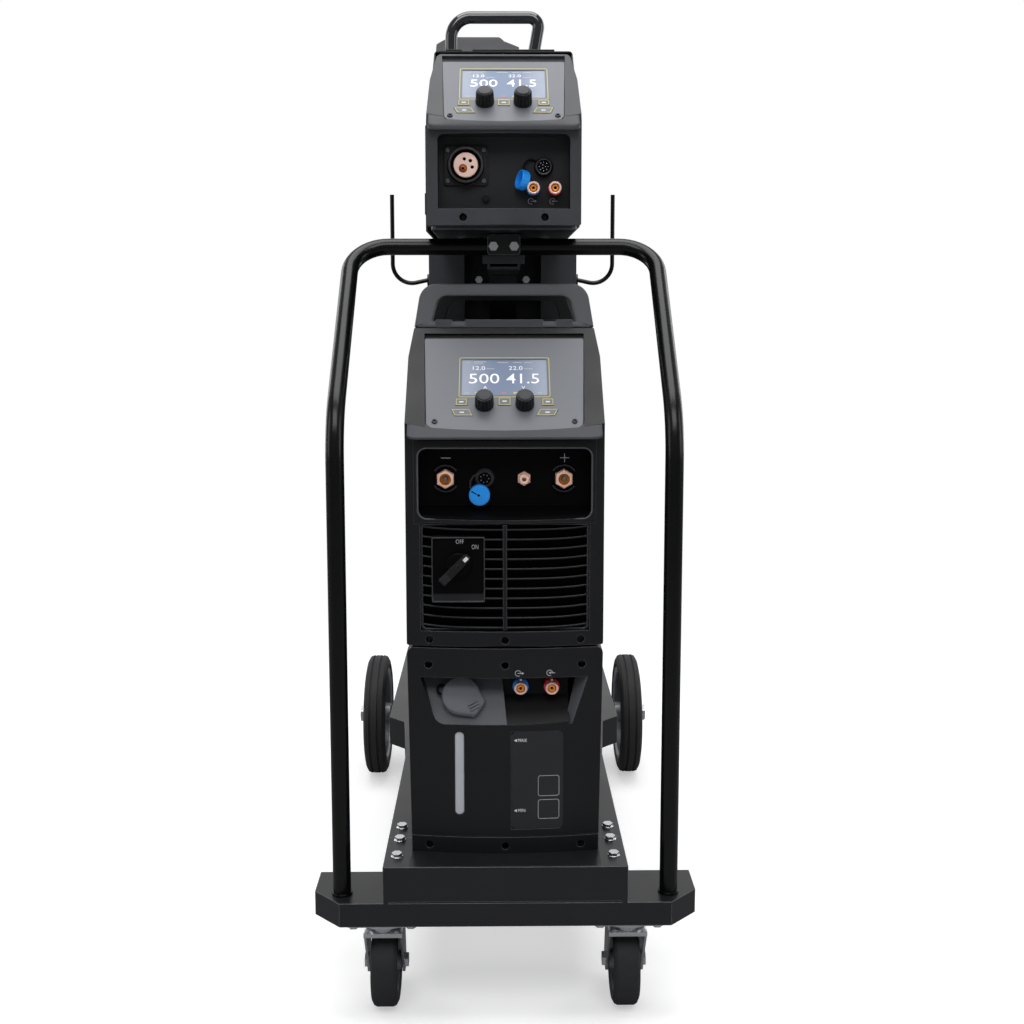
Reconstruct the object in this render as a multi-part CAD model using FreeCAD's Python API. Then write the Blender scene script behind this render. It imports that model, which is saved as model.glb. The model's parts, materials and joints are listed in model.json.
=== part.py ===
import FreeCAD, Part
import math
import os

# Wire welding machine on its cart: cooler, power source and swivelling wire feeder.
# Millimetres. X points right, Y runs from the bumper to the back, Z points up from the floor.
# The model is built with Y = 0 at the bumper's face and saved with its middle at Y = 0.

Vector = FreeCAD.Vector
X_AXIS = Vector(1, 0, 0)
Y_AXIS = Vector(0, 1, 0)
Z_AXIS = Vector(0, 0, 1)

# General
sheet = 3.0
thin_sheet = 2.0
plastic_wall = 3.5
seat_gap = 0.3
shaft_gap = 0.05
cut_over = 5.0

# Cart
cart_length = 1130.0
bumper_width = 536.0
bumper_face_width = 459.0
bumper_corner = 38.0
bumper_depth = 97.0
bumper_height = 34.0
bumper_bottom_z = 154.0
tray_width = 338.0
tray_height = 52.0
pan_clearance = 0.5
pan_drop = 3.0
tray_end_y = 430.0
platform_shoulder_width = 368.0
platform_shoulder_y = 596.0
platform_width = 428.0
platform_wide_y = 624.0
platform_tail = 28.0
bottle_stop_height = 22.0

# Rear wheels
rear_wheel_diameter = 250.0
rear_wheel_width = 46.0
rear_wheel_x = 270.0
rear_axle_y = 983.0
axle_radius = 10.0
rear_hub_length = 52.0
rim_radius = 92.0
rim_width = 36.0
axle_washer = 3.0
axle_nut_height = 9.0
axle_nut_flats = 30.0
bracket_thickness = 8.0
bracket_length = 80.0
axle_tube_radius = 17.0

# Castors
caster_diameter = 125.0
caster_width = 37.5
caster_x = 172.0
caster_trail = 31.0
caster_swivel_y = 48.5
caster_plate_length = 105.0
caster_plate_depth = 85.0
caster_plate_thickness = 4.0
caster_race_height = 8.0
caster_race_radius = 34.0
caster_crown_height = 14.7
caster_kingpin_radius = 6.0
caster_fork_inner = 47.0
caster_leg = 3.5
caster_bolt_radius = 6.0
caster_bolt_flats = 19.0
caster_bolt_head = 4.5
caster_hub_length = 44.0
caster_rim_radius = 46.0
plate_bolt_spacing_x = 80.0
plate_bolt_spacing_y = 60.0

# Column, beam and hoop
column_width = 274.0
column_depth = 80.0
column_gap = 22.0
column_top_z = 1110.0
column_lip = 66.0
column_bolt_spacing = 90.0
column_bolt_z = 1057.0
beam_width = 50.0
beam_height = 45.0
beam_wall = 4.0
end_plate = 6.0
end_plate_width = 120.0
end_plate_height = 77.0
brace_gap = 10.0
brace_drop = 82.0
bottle_radius = 115.0
bottle_gap = 24.0
bottle_seat_radius = 112.0
bottle_seat_height = 2.0
cradle_width = 200.0
cradle_thickness = 8.0
cradle_depth = 58.0
cradle_heights = (560.0, 980.0)
cradle_slack = 2.0
hoop_x = 229.0
hoop_y = 32.0
hoop_tube_radius = 12.5
hoop_tube_wall = 2.5
hoop_bend_z = 800.0
hoop_bend_radius = 120.0
hoop_corner_radius = 55.0
hoop_lean = 44.0
crossbar_z = 1095.0
hoop_foot_radius = 14.5
hoop_foot_height = 3.0
clamp_width = 49.0
clamp_height = 30.0
clamp_thickness = 4.0
clamp_bolt_spacing = 31.0
hook_rod_radius = 4.0
hook_reach = 70.0
hook_bend_radius = 36.0
hook_bottom_z = 1050.0
hook_tip_z = 1214.0
hook_rise = 12.0
hook_foot_radius = 11.0

# Bolts
m8_radius = 4.0
m8_hole = 4.2
m8_flats = 13.0
m8_head = 5.5
tray_bolt_x = 152.0
tray_bolt_rows = (35.0, 88.0, 131.0)

# Machines
machine_front_y = 48.0
machine_width = 274.0
machine_length = 620.0
front_bow = 12.0
rear_bezel_depth = 40.0
screw_recess_radius = 5.5
screw_recess_depth = 5.0

# Cooler
cooler_height = 297.0
cooler_foot_width = 264.0
cooler_front_depth = 50.0
cooler_pocket_bottom = 188.0
cooler_pocket_top = 255.0
filler_pocket_left = -118.0
filler_pocket_right = -14.0
filler_pocket_depth = 45.0
fitting_pocket_left = -6.0
fitting_pocket_right = 92.0
fitting_pocket_depth = 40.0
filler_cap_radius = 28.0
filler_cap_height = 20.0
filler_neck_radius = 20.0
filler_neck_wall = 3.0
filler_neck_rise = 12.0
filler_x = -62.0
fitting_spacing = 44.0
fitting_middle_x = 44.0
fitting_radius = 12.0
slot_x = -64.0
slot_width = 13.0
slot_bottom = 57.0
slot_height = 120.0
bare_plate_x = 45.0
bare_plate_width = 73.5
bare_plate_bottom = 36.0
bare_plate_height = 142.0

# Power source
source_gap = 3.0
source_foot_radius = 12.0
source_foot_x = 105.0
source_foot_y = (170.0, 560.0)
source_panel_z = 298.0
console_lean = 45.0
source_top = 437.0
source_kink = 397.0
source_shoulder_width = 262.0
arch_height = 65.0
arch_width = 184.0
arch_bar = 22.0
arch_depth = 34.0
arch_side = 25.0
bay_width = 240.0
bay_depth = 44.0
source_bay_bottom = 179.0
source_bay_top = 287.0
bay_floor_rise = 13.0
bay_wall = 3.0
grille_width = 234.0
grille_bottom = 21.0
grille_top = 173.0
slat_count = 11
slat_thickness = 3.0
grille_rib = 6.0
weld_socket_spacing = 165.0
socket_line = 230.0
weld_socket_radius = 17.5
weld_socket_depth = 12.0
weld_socket_bore = 6.5
weld_socket_bore_length = 20.0
weld_stem_radius = 10.5
brass_flats = 24.0
control_socket_radius = 11.5
control_socket_length = 10.0
control_socket_x = -28.0
gas_nipple_x = 27.0
dust_cap_radius = 14.5
dust_cap_height = 13.0
dust_cap_drop = 22.0
strap_width = 6.0
strap_thickness = 1.5
switch_x = -64.0
switch_z = 115.0
switch_plate_width = 74.0
switch_plate_height = 88.0
switch_lever_length = 60.0
switch_lever_width = 12.0
switch_disc_radius = 18.0
fan_radius = 82.0
fan_hub_radius = 30.0
fan_depth = 24.0
fan_blades = 5
fan_z = 240.0
fan_shaft_radius = 4.0
board_width = 200.0
board_length = 330.0
board_thickness = 12.0
board_start = 150.0
fin_count = 8
fin_pitch = 14.0
fin_thickness = 3.0
fin_length = 180.0
fin_height = 78.0
transformer_x = 25.0
transformer_width = 70.0
transformer_length = 115.0
transformer_height = 115.0
choke_radius = 38.0
capacitor_radius = 17.0

# Control panels
panel_thickness = 3.5
panel_sink = 1.5
source_panel_width = 216.0
source_panel_top_width = 230.0
source_panel_length = 177.0
source_recess_length = 186.0
feeder_panel_width = 169.0
feeder_panel_top_width = 180.0
feeder_panel_length = 142.0
feeder_recess_length = 155.0
display_width = 120.0
display_height = 67.0
display_thickness = 2.5
knob_radius = 12.8
knob_height = 21.0
knob_shaft_radius = 3.0
knob_shaft_length = 15.0
knob_lobes = 14
key_travel = 0.6
key_rise = 0.8
mat_thickness = 1.2
key_clearance = 0.4
mat_gap = 0.2
mat_margin = 3.0
mat_hole_radius = 9.0

# Wire feeder
feeder_front_y = 152.0
feeder_bottom_z = 1120.0
feeder_length = 563.0
feeder_width = 220.0
feeder_top = 257.0
feeder_shoulder_width = 196.0
feeder_kink = 212.0
feeder_roof = 263.0
feeder_panel_z = 144.0
feeder_bay_width = 188.0
feeder_bay_bottom = 23.0
feeder_bay_top = 127.0
feeder_bay_depth = 38.0
swivel_y = 430.0
swivel_plate_radius = 75.0
swivel_plate_thickness = 6.0
swivel_pin_radius = 15.0
pin_rise = 8.0
swivel_boss_radius = 60.0
feeder_base_width = 208.0
feeder_base_thickness = 5.5
feeder_base_inset = 12.0
middle_wall_x = -2.0
torch_x = -54.5
torch_z = 86.0
torch_flange_width = 63.0
torch_flange_height = 56.0
torch_ring_radius = 26.0
torch_brass_radius = 18.0
torch_stem_radius = 8.0
torch_stem_length = 34.0
torch_bore = 2.5
nose_across = -4.0
nose_drop = 5.0
button_x = -26.0
button_rise = 41.0
button_radius = 5.0
button_stem_radius = 3.5
button_head = 4.0
button_travel = 2.0
feeder_control_x = 57.0
feeder_control_rise = 84.0
hung_cap_across = 33.0
hung_cap_drop = 17.0
feeder_couplings = ((42.0, 24.0), (73.0, 26.0))
feeder_coupling_rise = 53.0
feeder_coupling_radius = 9.5
handle_left_x = -78.0
handle_right_x = 46.0
handle_overhang = 9.0
handle_y = 290.0
handle_tube_radius = 9.0
handle_rise = 52.0
handle_corner = 30.0
handle_tight_corner = 14.0
handle_foot = 3.0
door_wall = 3.0
door_grip = 2.5
feeder_lean = 7.0
door_front_y = 175.0
door_roof_y = 345.0
door_drop = 6.0
hood_radius = 177.0
hinge_x = 34.0
hinge_pin_radius = 3.0
hinge_knuckle_radius = 6.0
hinge_rise = 9.0
hinge_lug = 16.0
hinge_knuckle = 44.0
spool_radius = 150.0
spool_width = 92.0
spool_rear_gap = 20.0
spool_flange = 2.0
spool_hub_radius = 33.0
spool_core_radius = 95.0
wound_radius = 128.0
spool_nut_radius = 36.0
spool_nut_thickness = 5.0
spool_bore_radius = 25.5
spool_gap = 5.0
spool_floor_gap = 8.0
drive_roll_radius = 18.0
drive_roll_width = 12.0
drive_roll_y = 300.0
drive_shaft_radius = 5.0
wire_radius = 0.6
arm_pivot_y = 255.0
arm_pivot_rise = 30.0

# Derived places
pan_width = cooler_foot_width + 2 * pan_clearance
bumper_top_z = bumper_bottom_z + bumper_height
tray_top_z = bumper_top_z + tray_height
pan_z = tray_top_z - pan_drop
machine_end_y = machine_front_y + machine_length
brace_start_y = machine_end_y + brace_gap
cooler_z = pan_z
source_z = cooler_z + cooler_height + source_gap
rear_axle_z = rear_wheel_diameter / 2
caster_axle_z = caster_diameter / 2
caster_axle_y = caster_swivel_y + caster_trail
column_y = machine_end_y + column_gap
column_back_y = column_y + column_depth
bottle_y = column_back_y + bottle_radius + bottle_gap
beam_top_z = column_top_z - sheet
beam_bottom_z = beam_top_z - beam_height
plate_top_z = beam_top_z + swivel_plate_thickness
hoop_lean_rad = math.radians(hoop_lean)
feeder_end_y = feeder_front_y + feeder_length
spool_y = feeder_end_y - spool_radius - spool_rear_gap
hinge_lug_places = (door_roof_y + 30.0, feeder_end_y - 34.0)
hinge_knuckle_places = (door_roof_y + 55.0, feeder_end_y - 85.0)
spool_z = feeder_bottom_z + thin_sheet + spool_floor_gap + spool_radius
spool_x = middle_wall_x - spool_gap - spool_width / 2
wire_x = torch_x + nose_across
wire_z = feeder_bottom_z + torch_z - nose_drop
source_bay_y = machine_front_y + bay_depth
feeder_bay_y = feeder_front_y + feeder_bay_depth


def box(x0, x1, y0, y1, z0, z1):
    """A block between two corners."""
    return Part.makeBox(x1 - x0, y1 - y0, z1 - z0, Vector(x0, y0, z0))


def rod(radius, start, end):
    """A round bar between two points."""
    run = end - start
    return Part.makeCylinder(radius, run.Length, start, run)


def fuse(shapes):
    """One solid out of several that touch."""
    return shapes[0].multiFuse(shapes[1:]).removeSplitter()


def rounded_wire(points, radii):
    """A closed wire in the XY plane through the points, each corner rounded by its radius."""
    count = len(points)
    corners = []
    for i in range(count):
        here = Vector(*points[i], 0)
        before = Vector(*points[i - 1], 0)
        after = Vector(*points[(i + 1) % count], 0)
        radius = radii[i]
        if radius == 0:
            corners.append((here, here, here))
            continue
        to_before = (before - here).normalize()
        to_after = (after - here).normalize()
        half = to_before.getAngle(to_after) / 2
        reach = radius / math.tan(half)
        middle = (to_before + to_after).normalize()
        top = here + middle * (radius / math.sin(half) - radius)
        corners.append((here + to_before * reach, top, here + to_after * reach))
    edges = []
    for i in range(count):
        start, top, end = corners[i]
        if start != end:
            edges.append(Part.Arc(start, top, end).toShape())
        following = corners[(i + 1) % count][0]
        if (following - end).Length > 1e-6:
            edges.append(Part.LineSegment(end, following).toShape())
    return Part.Wire(edges)


PLANES = {
    "x": FreeCAD.Rotation(Y_AXIS, Z_AXIS, X_AXIS, "ZXY"),
    "y": FreeCAD.Rotation(X_AXIS, Z_AXIS, Y_AXIS * -1, "ZXY"),
    "z": FreeCAD.Rotation(),
}


def prism(axis, points, start, end, radii=0.0):
    """An outline swept along an axis. Points are (y, z) for x, (x, z) for y and (x, y) for z."""
    if isinstance(radii, (int, float)):
        radii = [radii] * len(points)
    face = Part.Face(rounded_wire(points, radii))
    face.Placement = FreeCAD.Placement(Vector(), PLANES[axis])
    direction = {"x": X_AXIS, "y": Y_AXIS, "z": Z_AXIS}[axis]
    face.translate(direction * start)
    return face.extrude(direction * (end - start))


def mirrored(points):
    """The points with their mirror images about x = 0, in order round the outline."""
    return points + [(-x, y) for x, y in reversed(points)]


def turned(points, axis_point, axis, angle=360.0):
    """A closed outline of Vectors turned about an axis."""
    wire = Part.makePolygon(points + [points[0]])
    return Part.Face(wire).revolve(axis_point, axis, angle)


def turned_about_x(outline, x, y, z):
    """An outline of (offset, radius) points turned about an axis along X."""
    points = [Vector(x + along, y, z + radius) for along, radius in outline]
    return turned(points, Vector(x, y, z), X_AXIS)


def hexagon(flats, height, start, direction):
    """A six-sided prism from a point along a direction."""
    corner = flats / math.sqrt(3)
    points = [
        Vector(corner * math.cos(math.radians(60 * i)), corner * math.sin(math.radians(60 * i)), 0)
        for i in range(6)
    ]
    prism_shape = Part.Face(Part.makePolygon(points + [points[0]])).extrude(Vector(0, 0, height))
    prism_shape.Placement = FreeCAD.Placement(start, FreeCAD.Rotation(Z_AXIS, direction))
    return prism_shape


def bolt(seat, direction, length, flats=m8_flats, head=m8_head, radius=m8_radius):
    """A hexagon bolt: its head stands on the seat, its shank runs the other way."""
    top = hexagon(flats, head, seat, direction)
    shank = rod(radius, seat - direction * length, seat)
    return top.fuse(shank)


def tube_path(points, radii):
    """An open path of straight runs with tangent arcs at its inner points."""
    edges = []
    last = points[0]
    for i in range(1, len(points) - 1):
        here = points[i]
        to_before = (points[i - 1] - here).normalize()
        to_after = (points[i + 1] - here).normalize()
        half = to_before.getAngle(to_after) / 2
        reach = radii[i - 1] / math.tan(half)
        top = here + (to_before + to_after).normalize() * (radii[i - 1] / math.sin(half) - radii[i - 1])
        start = here + to_before * reach
        end = here + to_after * reach
        edges.append(Part.LineSegment(last, start).toShape())
        edges.append(Part.Arc(start, top, end).toShape())
        last = end
    edges.append(Part.LineSegment(last, points[-1]).toShape())
    return Part.Wire(edges)


def swept_bar(path, radius):
    """A round bar along a path."""
    start = path.Edges[0]
    direction = start.tangentAt(start.FirstParameter)
    ring = Part.Wire(Part.makeCircle(radius, start.valueAt(start.FirstParameter), direction))
    return path.makePipeShell([ring], True, False)


def save(name, shape):
    """Writes one piece, moved so that the cart's middle is the origin."""
    shape = shape.copy()
    shape.translate(Vector(0, -cart_length / 2, 0))
    shape.exportStep(os.path.join("parts", name + ".step"))


# Cart frame

def bumper_plan(inset):
    """The bumper seen from above, made smaller by a wall, open at the back where inset."""
    slant = inset * math.tan(math.radians(22.5))
    back = bumper_depth + (cut_over if inset else 0)
    half = bumper_width / 2 - inset
    face = bumper_face_width / 2 - slant
    return mirrored([(face, inset), (half, bumper_corner + slant), (half, back)])


def tray_run(half_width, y0, y1):
    """A stretch of the tray: folded sides, flanges along the top and a sunken pan between them."""
    outer = box(-half_width, half_width, y0, y1, bumper_top_z, tray_top_z)
    inside = half_width - sheet
    hollow = box(-inside, inside, y0 - cut_over, y1 + cut_over, bumper_top_z - cut_over, tray_top_z - sheet)
    pan_half = pan_width / 2
    floor = box(-pan_half - sheet, pan_half + sheet, y0, y1, pan_z - sheet, tray_top_z)
    sunk = box(-pan_half, pan_half, y0 - cut_over, y1 + cut_over, pan_z, tray_top_z + cut_over)
    return outer.cut(hollow).fuse(floor).cut(sunk)


def bolt_holes(rows):
    """The holes of the tray bolts at the given rows."""
    return [
        rod(m8_hole, Vector(side * tray_bolt_x, y, pan_z - cut_over),
            Vector(side * tray_bolt_x, y, tray_top_z + 1))
        for side in (-1, 1)
        for y in rows
    ]


def caster_bolt_places():
    """The four bolts of each castor plate."""
    return [
        Vector(side * caster_x + i * plate_bolt_spacing_x / 2,
               caster_swivel_y + j * plate_bolt_spacing_y / 2, 0)
        for side in (-1, 1)
        for i in (-1, 1)
        for j in (-1, 1)
    ]


def front_bumper():
    """Folded channel with cut corners, and the front box of the tray on it."""
    channel = prism("z", bumper_plan(0), bumper_bottom_z, bumper_top_z)
    hollow = prism("z", bumper_plan(sheet), bumper_bottom_z + sheet, bumper_top_z - sheet)
    front_box = tray_run(tray_width / 2, 0, bumper_depth)
    front_wall = box(-tray_width / 2, tray_width / 2, 0, sheet, bumper_top_z, tray_top_z)
    holes = bolt_holes([y for y in tray_bolt_rows if y < bumper_depth])
    for place in caster_bolt_places():
        holes.append(rod(m8_hole, place + Z_AXIS * (bumper_bottom_z - 1),
                         place + Z_AXIS * (bumper_bottom_z + sheet + 1)))
    return fuse([channel.cut(hollow), front_box, front_wall]).cut(holes)


def machine_tray():
    """The narrow part of the tray, behind the bumper."""
    holes = bolt_holes([y for y in tray_bolt_rows if y > bumper_depth])
    return tray_run(tray_width / 2, bumper_depth, tray_end_y).cut(holes)


def platform_plan(inset):
    """The bottle platform seen from above."""
    tail = cart_length - (inset if inset else 0)
    start = tray_end_y - (cut_over if inset else 0)
    return mirrored([
        (tray_width / 2 - inset, start),
        (platform_shoulder_width / 2 - inset, platform_shoulder_y),
        (platform_width / 2 - inset, platform_wide_y),
        (platform_width / 2 - inset, tail - platform_tail),
        (platform_width / 2 - platform_tail, tail),
    ])


def axle_bracket(side):
    """A plate that hangs under the platform and holds the axle tube."""
    half = bracket_length / 2
    low = rear_axle_z - axle_tube_radius - 13
    outline = [
        (rear_axle_y - half, tray_top_z - sheet),
        (rear_axle_y - half / 2, low),
        (rear_axle_y + half / 2, low),
        (rear_axle_y + half, tray_top_z - sheet),
    ]
    outer = side * (platform_width / 2 - sheet)
    inner = outer - side * bracket_thickness
    return prism("x", outline, min(outer, inner), max(outer, inner), [0, 15, 15, 0])


def bottle_platform():
    """Wide rear plate with folded edges, bottle stop, axle brackets and axle tube."""
    outer = prism("z", platform_plan(0), bumper_top_z, tray_top_z)
    hollow = prism("z", platform_plan(sheet), bumper_top_z - cut_over, tray_top_z - sheet)
    pan_half = pan_width / 2
    pan_end = machine_end_y + seat_gap * 10
    floor = box(-pan_half - sheet, pan_half + sheet, tray_end_y, pan_end + sheet, pan_z - sheet, tray_top_z)
    sunk = box(-pan_half, pan_half, tray_end_y - cut_over, pan_end, pan_z, tray_top_z + cut_over)
    plate = outer.cut(hollow).fuse(floor).cut(sunk)
    stop_half = platform_width / 2 - platform_tail
    stop = box(-stop_half, stop_half, cart_length - sheet, cart_length, tray_top_z,
               tray_top_z + bottle_stop_height)
    seat = rod(bottle_seat_radius, Vector(0, bottle_y, tray_top_z - 1),
               Vector(0, bottle_y, tray_top_z + bottle_seat_height))
    reach = rear_wheel_x - rear_hub_length / 2 - seat_gap
    left = Vector(-reach, rear_axle_y, rear_axle_z)
    right = Vector(reach, rear_axle_y, rear_axle_z)
    tube = rod(axle_tube_radius, left, right)
    bore = rod(axle_radius + shaft_gap, left - X_AXIS, right + X_AXIS)
    return fuse([plate, stop, seat, axle_bracket(-1), axle_bracket(1), tube]).cut(bore)


def axle_end_x():
    """Where the axle's head, or its washer and nut, start outside the hub."""
    return rear_wheel_x + rear_hub_length / 2 + seat_gap


def rear_axle():
    """Long bolt through both rear wheels, with its head at the right."""
    start = axle_end_x()
    nut_end = start + axle_washer + axle_nut_height
    shank = rod(axle_radius, Vector(-nut_end - 1, rear_axle_y, rear_axle_z),
                Vector(start, rear_axle_y, rear_axle_z))
    collar = rod(axle_radius + 7, Vector(start, rear_axle_y, rear_axle_z),
                 Vector(start + axle_washer, rear_axle_y, rear_axle_z))
    head = hexagon(axle_nut_flats, axle_nut_height + 1,
                   Vector(start + axle_washer, rear_axle_y, rear_axle_z), X_AXIS)
    return fuse([shank, collar, head])


def axle_nut():
    """Washer and nut at the left end of the axle, as one solid."""
    start = Vector(-axle_end_x(), rear_axle_y, rear_axle_z)
    washer = rod(axle_radius + 7, start - X_AXIS * axle_washer, start)
    nut = hexagon(axle_nut_flats, axle_nut_height, start - X_AXIS * axle_washer, X_AXIS * -1)
    bore = rod(axle_radius, start - X_AXIS * 30, start + X_AXIS)
    return washer.fuse(nut).cut(bore)


def column():
    """Folded channel behind the machines, open to the front, with cradles for the gas bottle."""
    half = column_width / 2
    outer = box(-half, half, column_y, column_back_y, tray_top_z, column_top_z)
    inner = box(-half + sheet, half - sheet, column_y + sheet, column_back_y - sheet,
                tray_top_z + sheet, column_top_z - sheet)
    gap_half = half - column_lip
    gap = box(-gap_half, gap_half, column_y - 1, column_y + sheet + 1, tray_top_z + sheet,
              column_top_z - sheet)
    cradles = []
    for height in cradle_heights:
        arm = box(-cradle_width / 2, cradle_width / 2, column_back_y, column_back_y + cradle_depth,
                  height, height + cradle_thickness)
        bottle = rod(bottle_radius + cradle_slack, Vector(0, bottle_y, height - 1),
                     Vector(0, bottle_y, height + cradle_thickness + 1))
        cradles.append(arm.cut(bottle))
    wall_holes = [
        rod(m8_hole, Vector(side * column_bolt_spacing / 2, column_back_y - 20, column_bolt_z),
            Vector(side * column_bolt_spacing / 2, column_back_y + 1, column_bolt_z))
        for side in (-1, 1)
    ]
    channel = outer.cut(inner).cut([gap] + wall_holes)
    return Part.makeCompound([channel] + cradles)


def crossbar_y():
    """Where the leaning hoop brings its crossbar."""
    bend_y = hoop_y + hoop_bend_radius * (1 - math.cos(hoop_lean_rad))
    bend_z = hoop_bend_z + hoop_bend_radius * math.sin(hoop_lean_rad)
    return bend_y + (crossbar_z - bend_z) * math.tan(hoop_lean_rad)


def feeder_beam():
    """Square tube from the column to the hoop, with end plates, brace and the feeder's pivot pin."""
    half = beam_width / 2
    front_y = crossbar_y() + hoop_tube_radius
    back_y = column_back_y - sheet
    beam = box(-half, half, front_y + end_plate, back_y - end_plate, beam_bottom_z, beam_top_z)
    hollow = box(-half + beam_wall, half - beam_wall, front_y, back_y,
                 beam_bottom_z + beam_wall, beam_top_z - beam_wall)
    front_plate = box(-half - 7, half + 7, front_y, front_y + end_plate, beam_bottom_z + 8, beam_top_z + 4)
    plate_half = end_plate_width / 2
    back_plate = box(-plate_half, plate_half, back_y - end_plate, back_y, beam_top_z - end_plate_height,
                     beam_top_z)
    brace_foot = beam_bottom_z - brace_drop
    brace = prism("x", [(brace_start_y, beam_bottom_z + 1), (back_y - end_plate + 1, beam_bottom_z + 1),
                        (back_y - end_plate + 1, brace_foot)], -beam_wall, beam_wall)
    flange = prism("x", [(brace_start_y, beam_bottom_z + 1),
                         (brace_start_y + beam_wall * 2, beam_bottom_z + 1),
                         (back_y - end_plate, brace_foot + beam_wall * 2),
                         (back_y - end_plate, brace_foot)],
                   -half, half)
    foot = box(-half, half, back_y - end_plate, back_y, brace_foot, beam_bottom_z)
    base = Vector(0, swivel_y, beam_top_z)
    swivel = rod(swivel_plate_radius, base, base + Z_AXIS * swivel_plate_thickness)
    pin = rod(swivel_pin_radius, base, Vector(0, swivel_y, feeder_bottom_z + thin_sheet + pin_rise))
    holes = [
        rod(m8_hole, Vector(side * clamp_bolt_spacing / 2, front_y - 1, crossbar_z),
            Vector(side * clamp_bolt_spacing / 2, front_y + end_plate + 1, crossbar_z))
        for side in (-1, 1)
    ]
    holes += [
        rod(m8_hole, Vector(side * column_bolt_spacing / 2, back_y - end_plate - 1, column_bolt_z),
            Vector(side * column_bolt_spacing / 2, back_y + 1, column_bolt_z))
        for side in (-1, 1)
    ]
    return fuse([beam.cut(hollow), front_plate, back_plate, brace, flange, foot, swivel, pin]).cut(holes)


def hoop_route():
    """Corner points of the hoop's centre line, from the left foot to the right one."""
    bend_z = hoop_bend_z + hoop_bend_radius * math.tan(hoop_lean_rad / 2)
    top_y = crossbar_y()
    return [
        Vector(-hoop_x, hoop_y, bumper_top_z),
        Vector(-hoop_x, hoop_y, bend_z),
        Vector(-hoop_x, top_y, crossbar_z),
        Vector(hoop_x, top_y, crossbar_z),
        Vector(hoop_x, hoop_y, bend_z),
        Vector(hoop_x, hoop_y, bumper_top_z),
    ]


def push_hoop():
    """Bent steel tube with a weld collar at each foot."""
    radii = [hoop_bend_radius, hoop_corner_radius, hoop_corner_radius, hoop_bend_radius]
    path = tube_path(hoop_route(), radii)
    outer = swept_bar(path, hoop_tube_radius)
    inner = swept_bar(path, hoop_tube_radius - hoop_tube_wall)
    feet = [
        rod(hoop_foot_radius, Vector(side * hoop_x, hoop_y, bumper_top_z),
            Vector(side * hoop_x, hoop_y, bumper_top_z + hoop_foot_height))
        for side in (-1, 1)
    ]
    tube = outer.multiFuse(feet).cut(inner)
    middle = crossbar_y()
    holes = [
        rod(m8_hole, Vector(side * clamp_bolt_spacing / 2, middle - 20, crossbar_z),
            Vector(side * clamp_bolt_spacing / 2, middle + 20, crossbar_z))
        for side in (-1, 1)
    ]
    return tube.cut(holes)


def clamp_face_y():
    """The front face of the clamp plate."""
    return crossbar_y() - hoop_tube_radius - clamp_thickness


def hoop_clamp():
    """Plate that holds the crossbar against the beam."""
    face = clamp_face_y()
    half = clamp_width / 2
    low = crossbar_z - hoop_tube_radius
    plate = prism("y", [(-half, low), (half, low), (half, low + clamp_height), (-half, low + clamp_height)],
                  face, face + clamp_thickness, 4.0)
    holes = [
        rod(m8_hole, Vector(side * clamp_bolt_spacing / 2, face - 1, crossbar_z),
            Vector(side * clamp_bolt_spacing / 2, face + clamp_thickness + 1, crossbar_z))
        for side in (-1, 1)
    ]
    return plate.cut(holes)


def cable_hook(side):
    """Bent rod on the column's side, on which cables are hung."""
    middle_y = column_y + column_depth / 2
    start_x = column_width / 2
    outer_x = start_x + hook_reach
    rise = math.radians(hook_rise)
    centre = Vector(outer_x - hook_bend_radius, middle_y, hook_bottom_z + hook_bend_radius)
    bend_end = centre + Vector(-math.sin(rise) * hook_bend_radius, 0, -math.cos(rise) * hook_bend_radius)
    bend_start = centre + Vector(hook_bend_radius, 0, 0)
    spread = (math.pi / 2 + rise) / 2
    bend_middle = centre + Vector(math.cos(spread), 0, -math.sin(spread)) * hook_bend_radius
    foot_x = start_x + hook_rod_radius
    foot = Vector(foot_x, middle_y, bend_end.z + (bend_end.x - foot_x) * math.tan(rise))
    path = Part.Wire([
        Part.LineSegment(Vector(outer_x, middle_y, hook_tip_z), bend_start).toShape(),
        Part.Arc(bend_start, bend_middle, bend_end).toShape(),
        Part.LineSegment(bend_end, foot).toShape(),
    ])
    flange = rod(hook_foot_radius, Vector(start_x, middle_y, foot.z), foot + X_AXIS)
    hook = swept_bar(path, hook_rod_radius).fuse(flange)
    if side < 0:
        hook = hook.mirror(Vector(), X_AXIS)
    return hook


def frame_bolts():
    """All hexagon bolts of the cart, and the axle's washer and nut."""
    solids = []
    for side in (-1, 1):
        for y in tray_bolt_rows:
            solids.append(bolt(Vector(side * tray_bolt_x, y, tray_top_z), Z_AXIS, 12.0))
        clamp_seat = Vector(side * clamp_bolt_spacing / 2, clamp_face_y(), crossbar_z)
        solids.append(bolt(clamp_seat, Y_AXIS * -1, clamp_thickness + 2 * hoop_tube_radius + end_plate + 2))
        column_seat = Vector(side * column_bolt_spacing / 2, column_back_y - sheet - end_plate,
                             column_bolt_z)
        solids.append(bolt(column_seat, Y_AXIS * -1, end_plate + sheet + 6))
    for place in caster_bolt_places():
        seat = place + Z_AXIS * (bumper_bottom_z - caster_plate_thickness)
        solids.append(bolt(seat, Z_AXIS * -1, caster_plate_thickness + sheet + 4))
    solids.append(axle_nut())
    return Part.makeCompound(solids)


# Wheels

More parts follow.
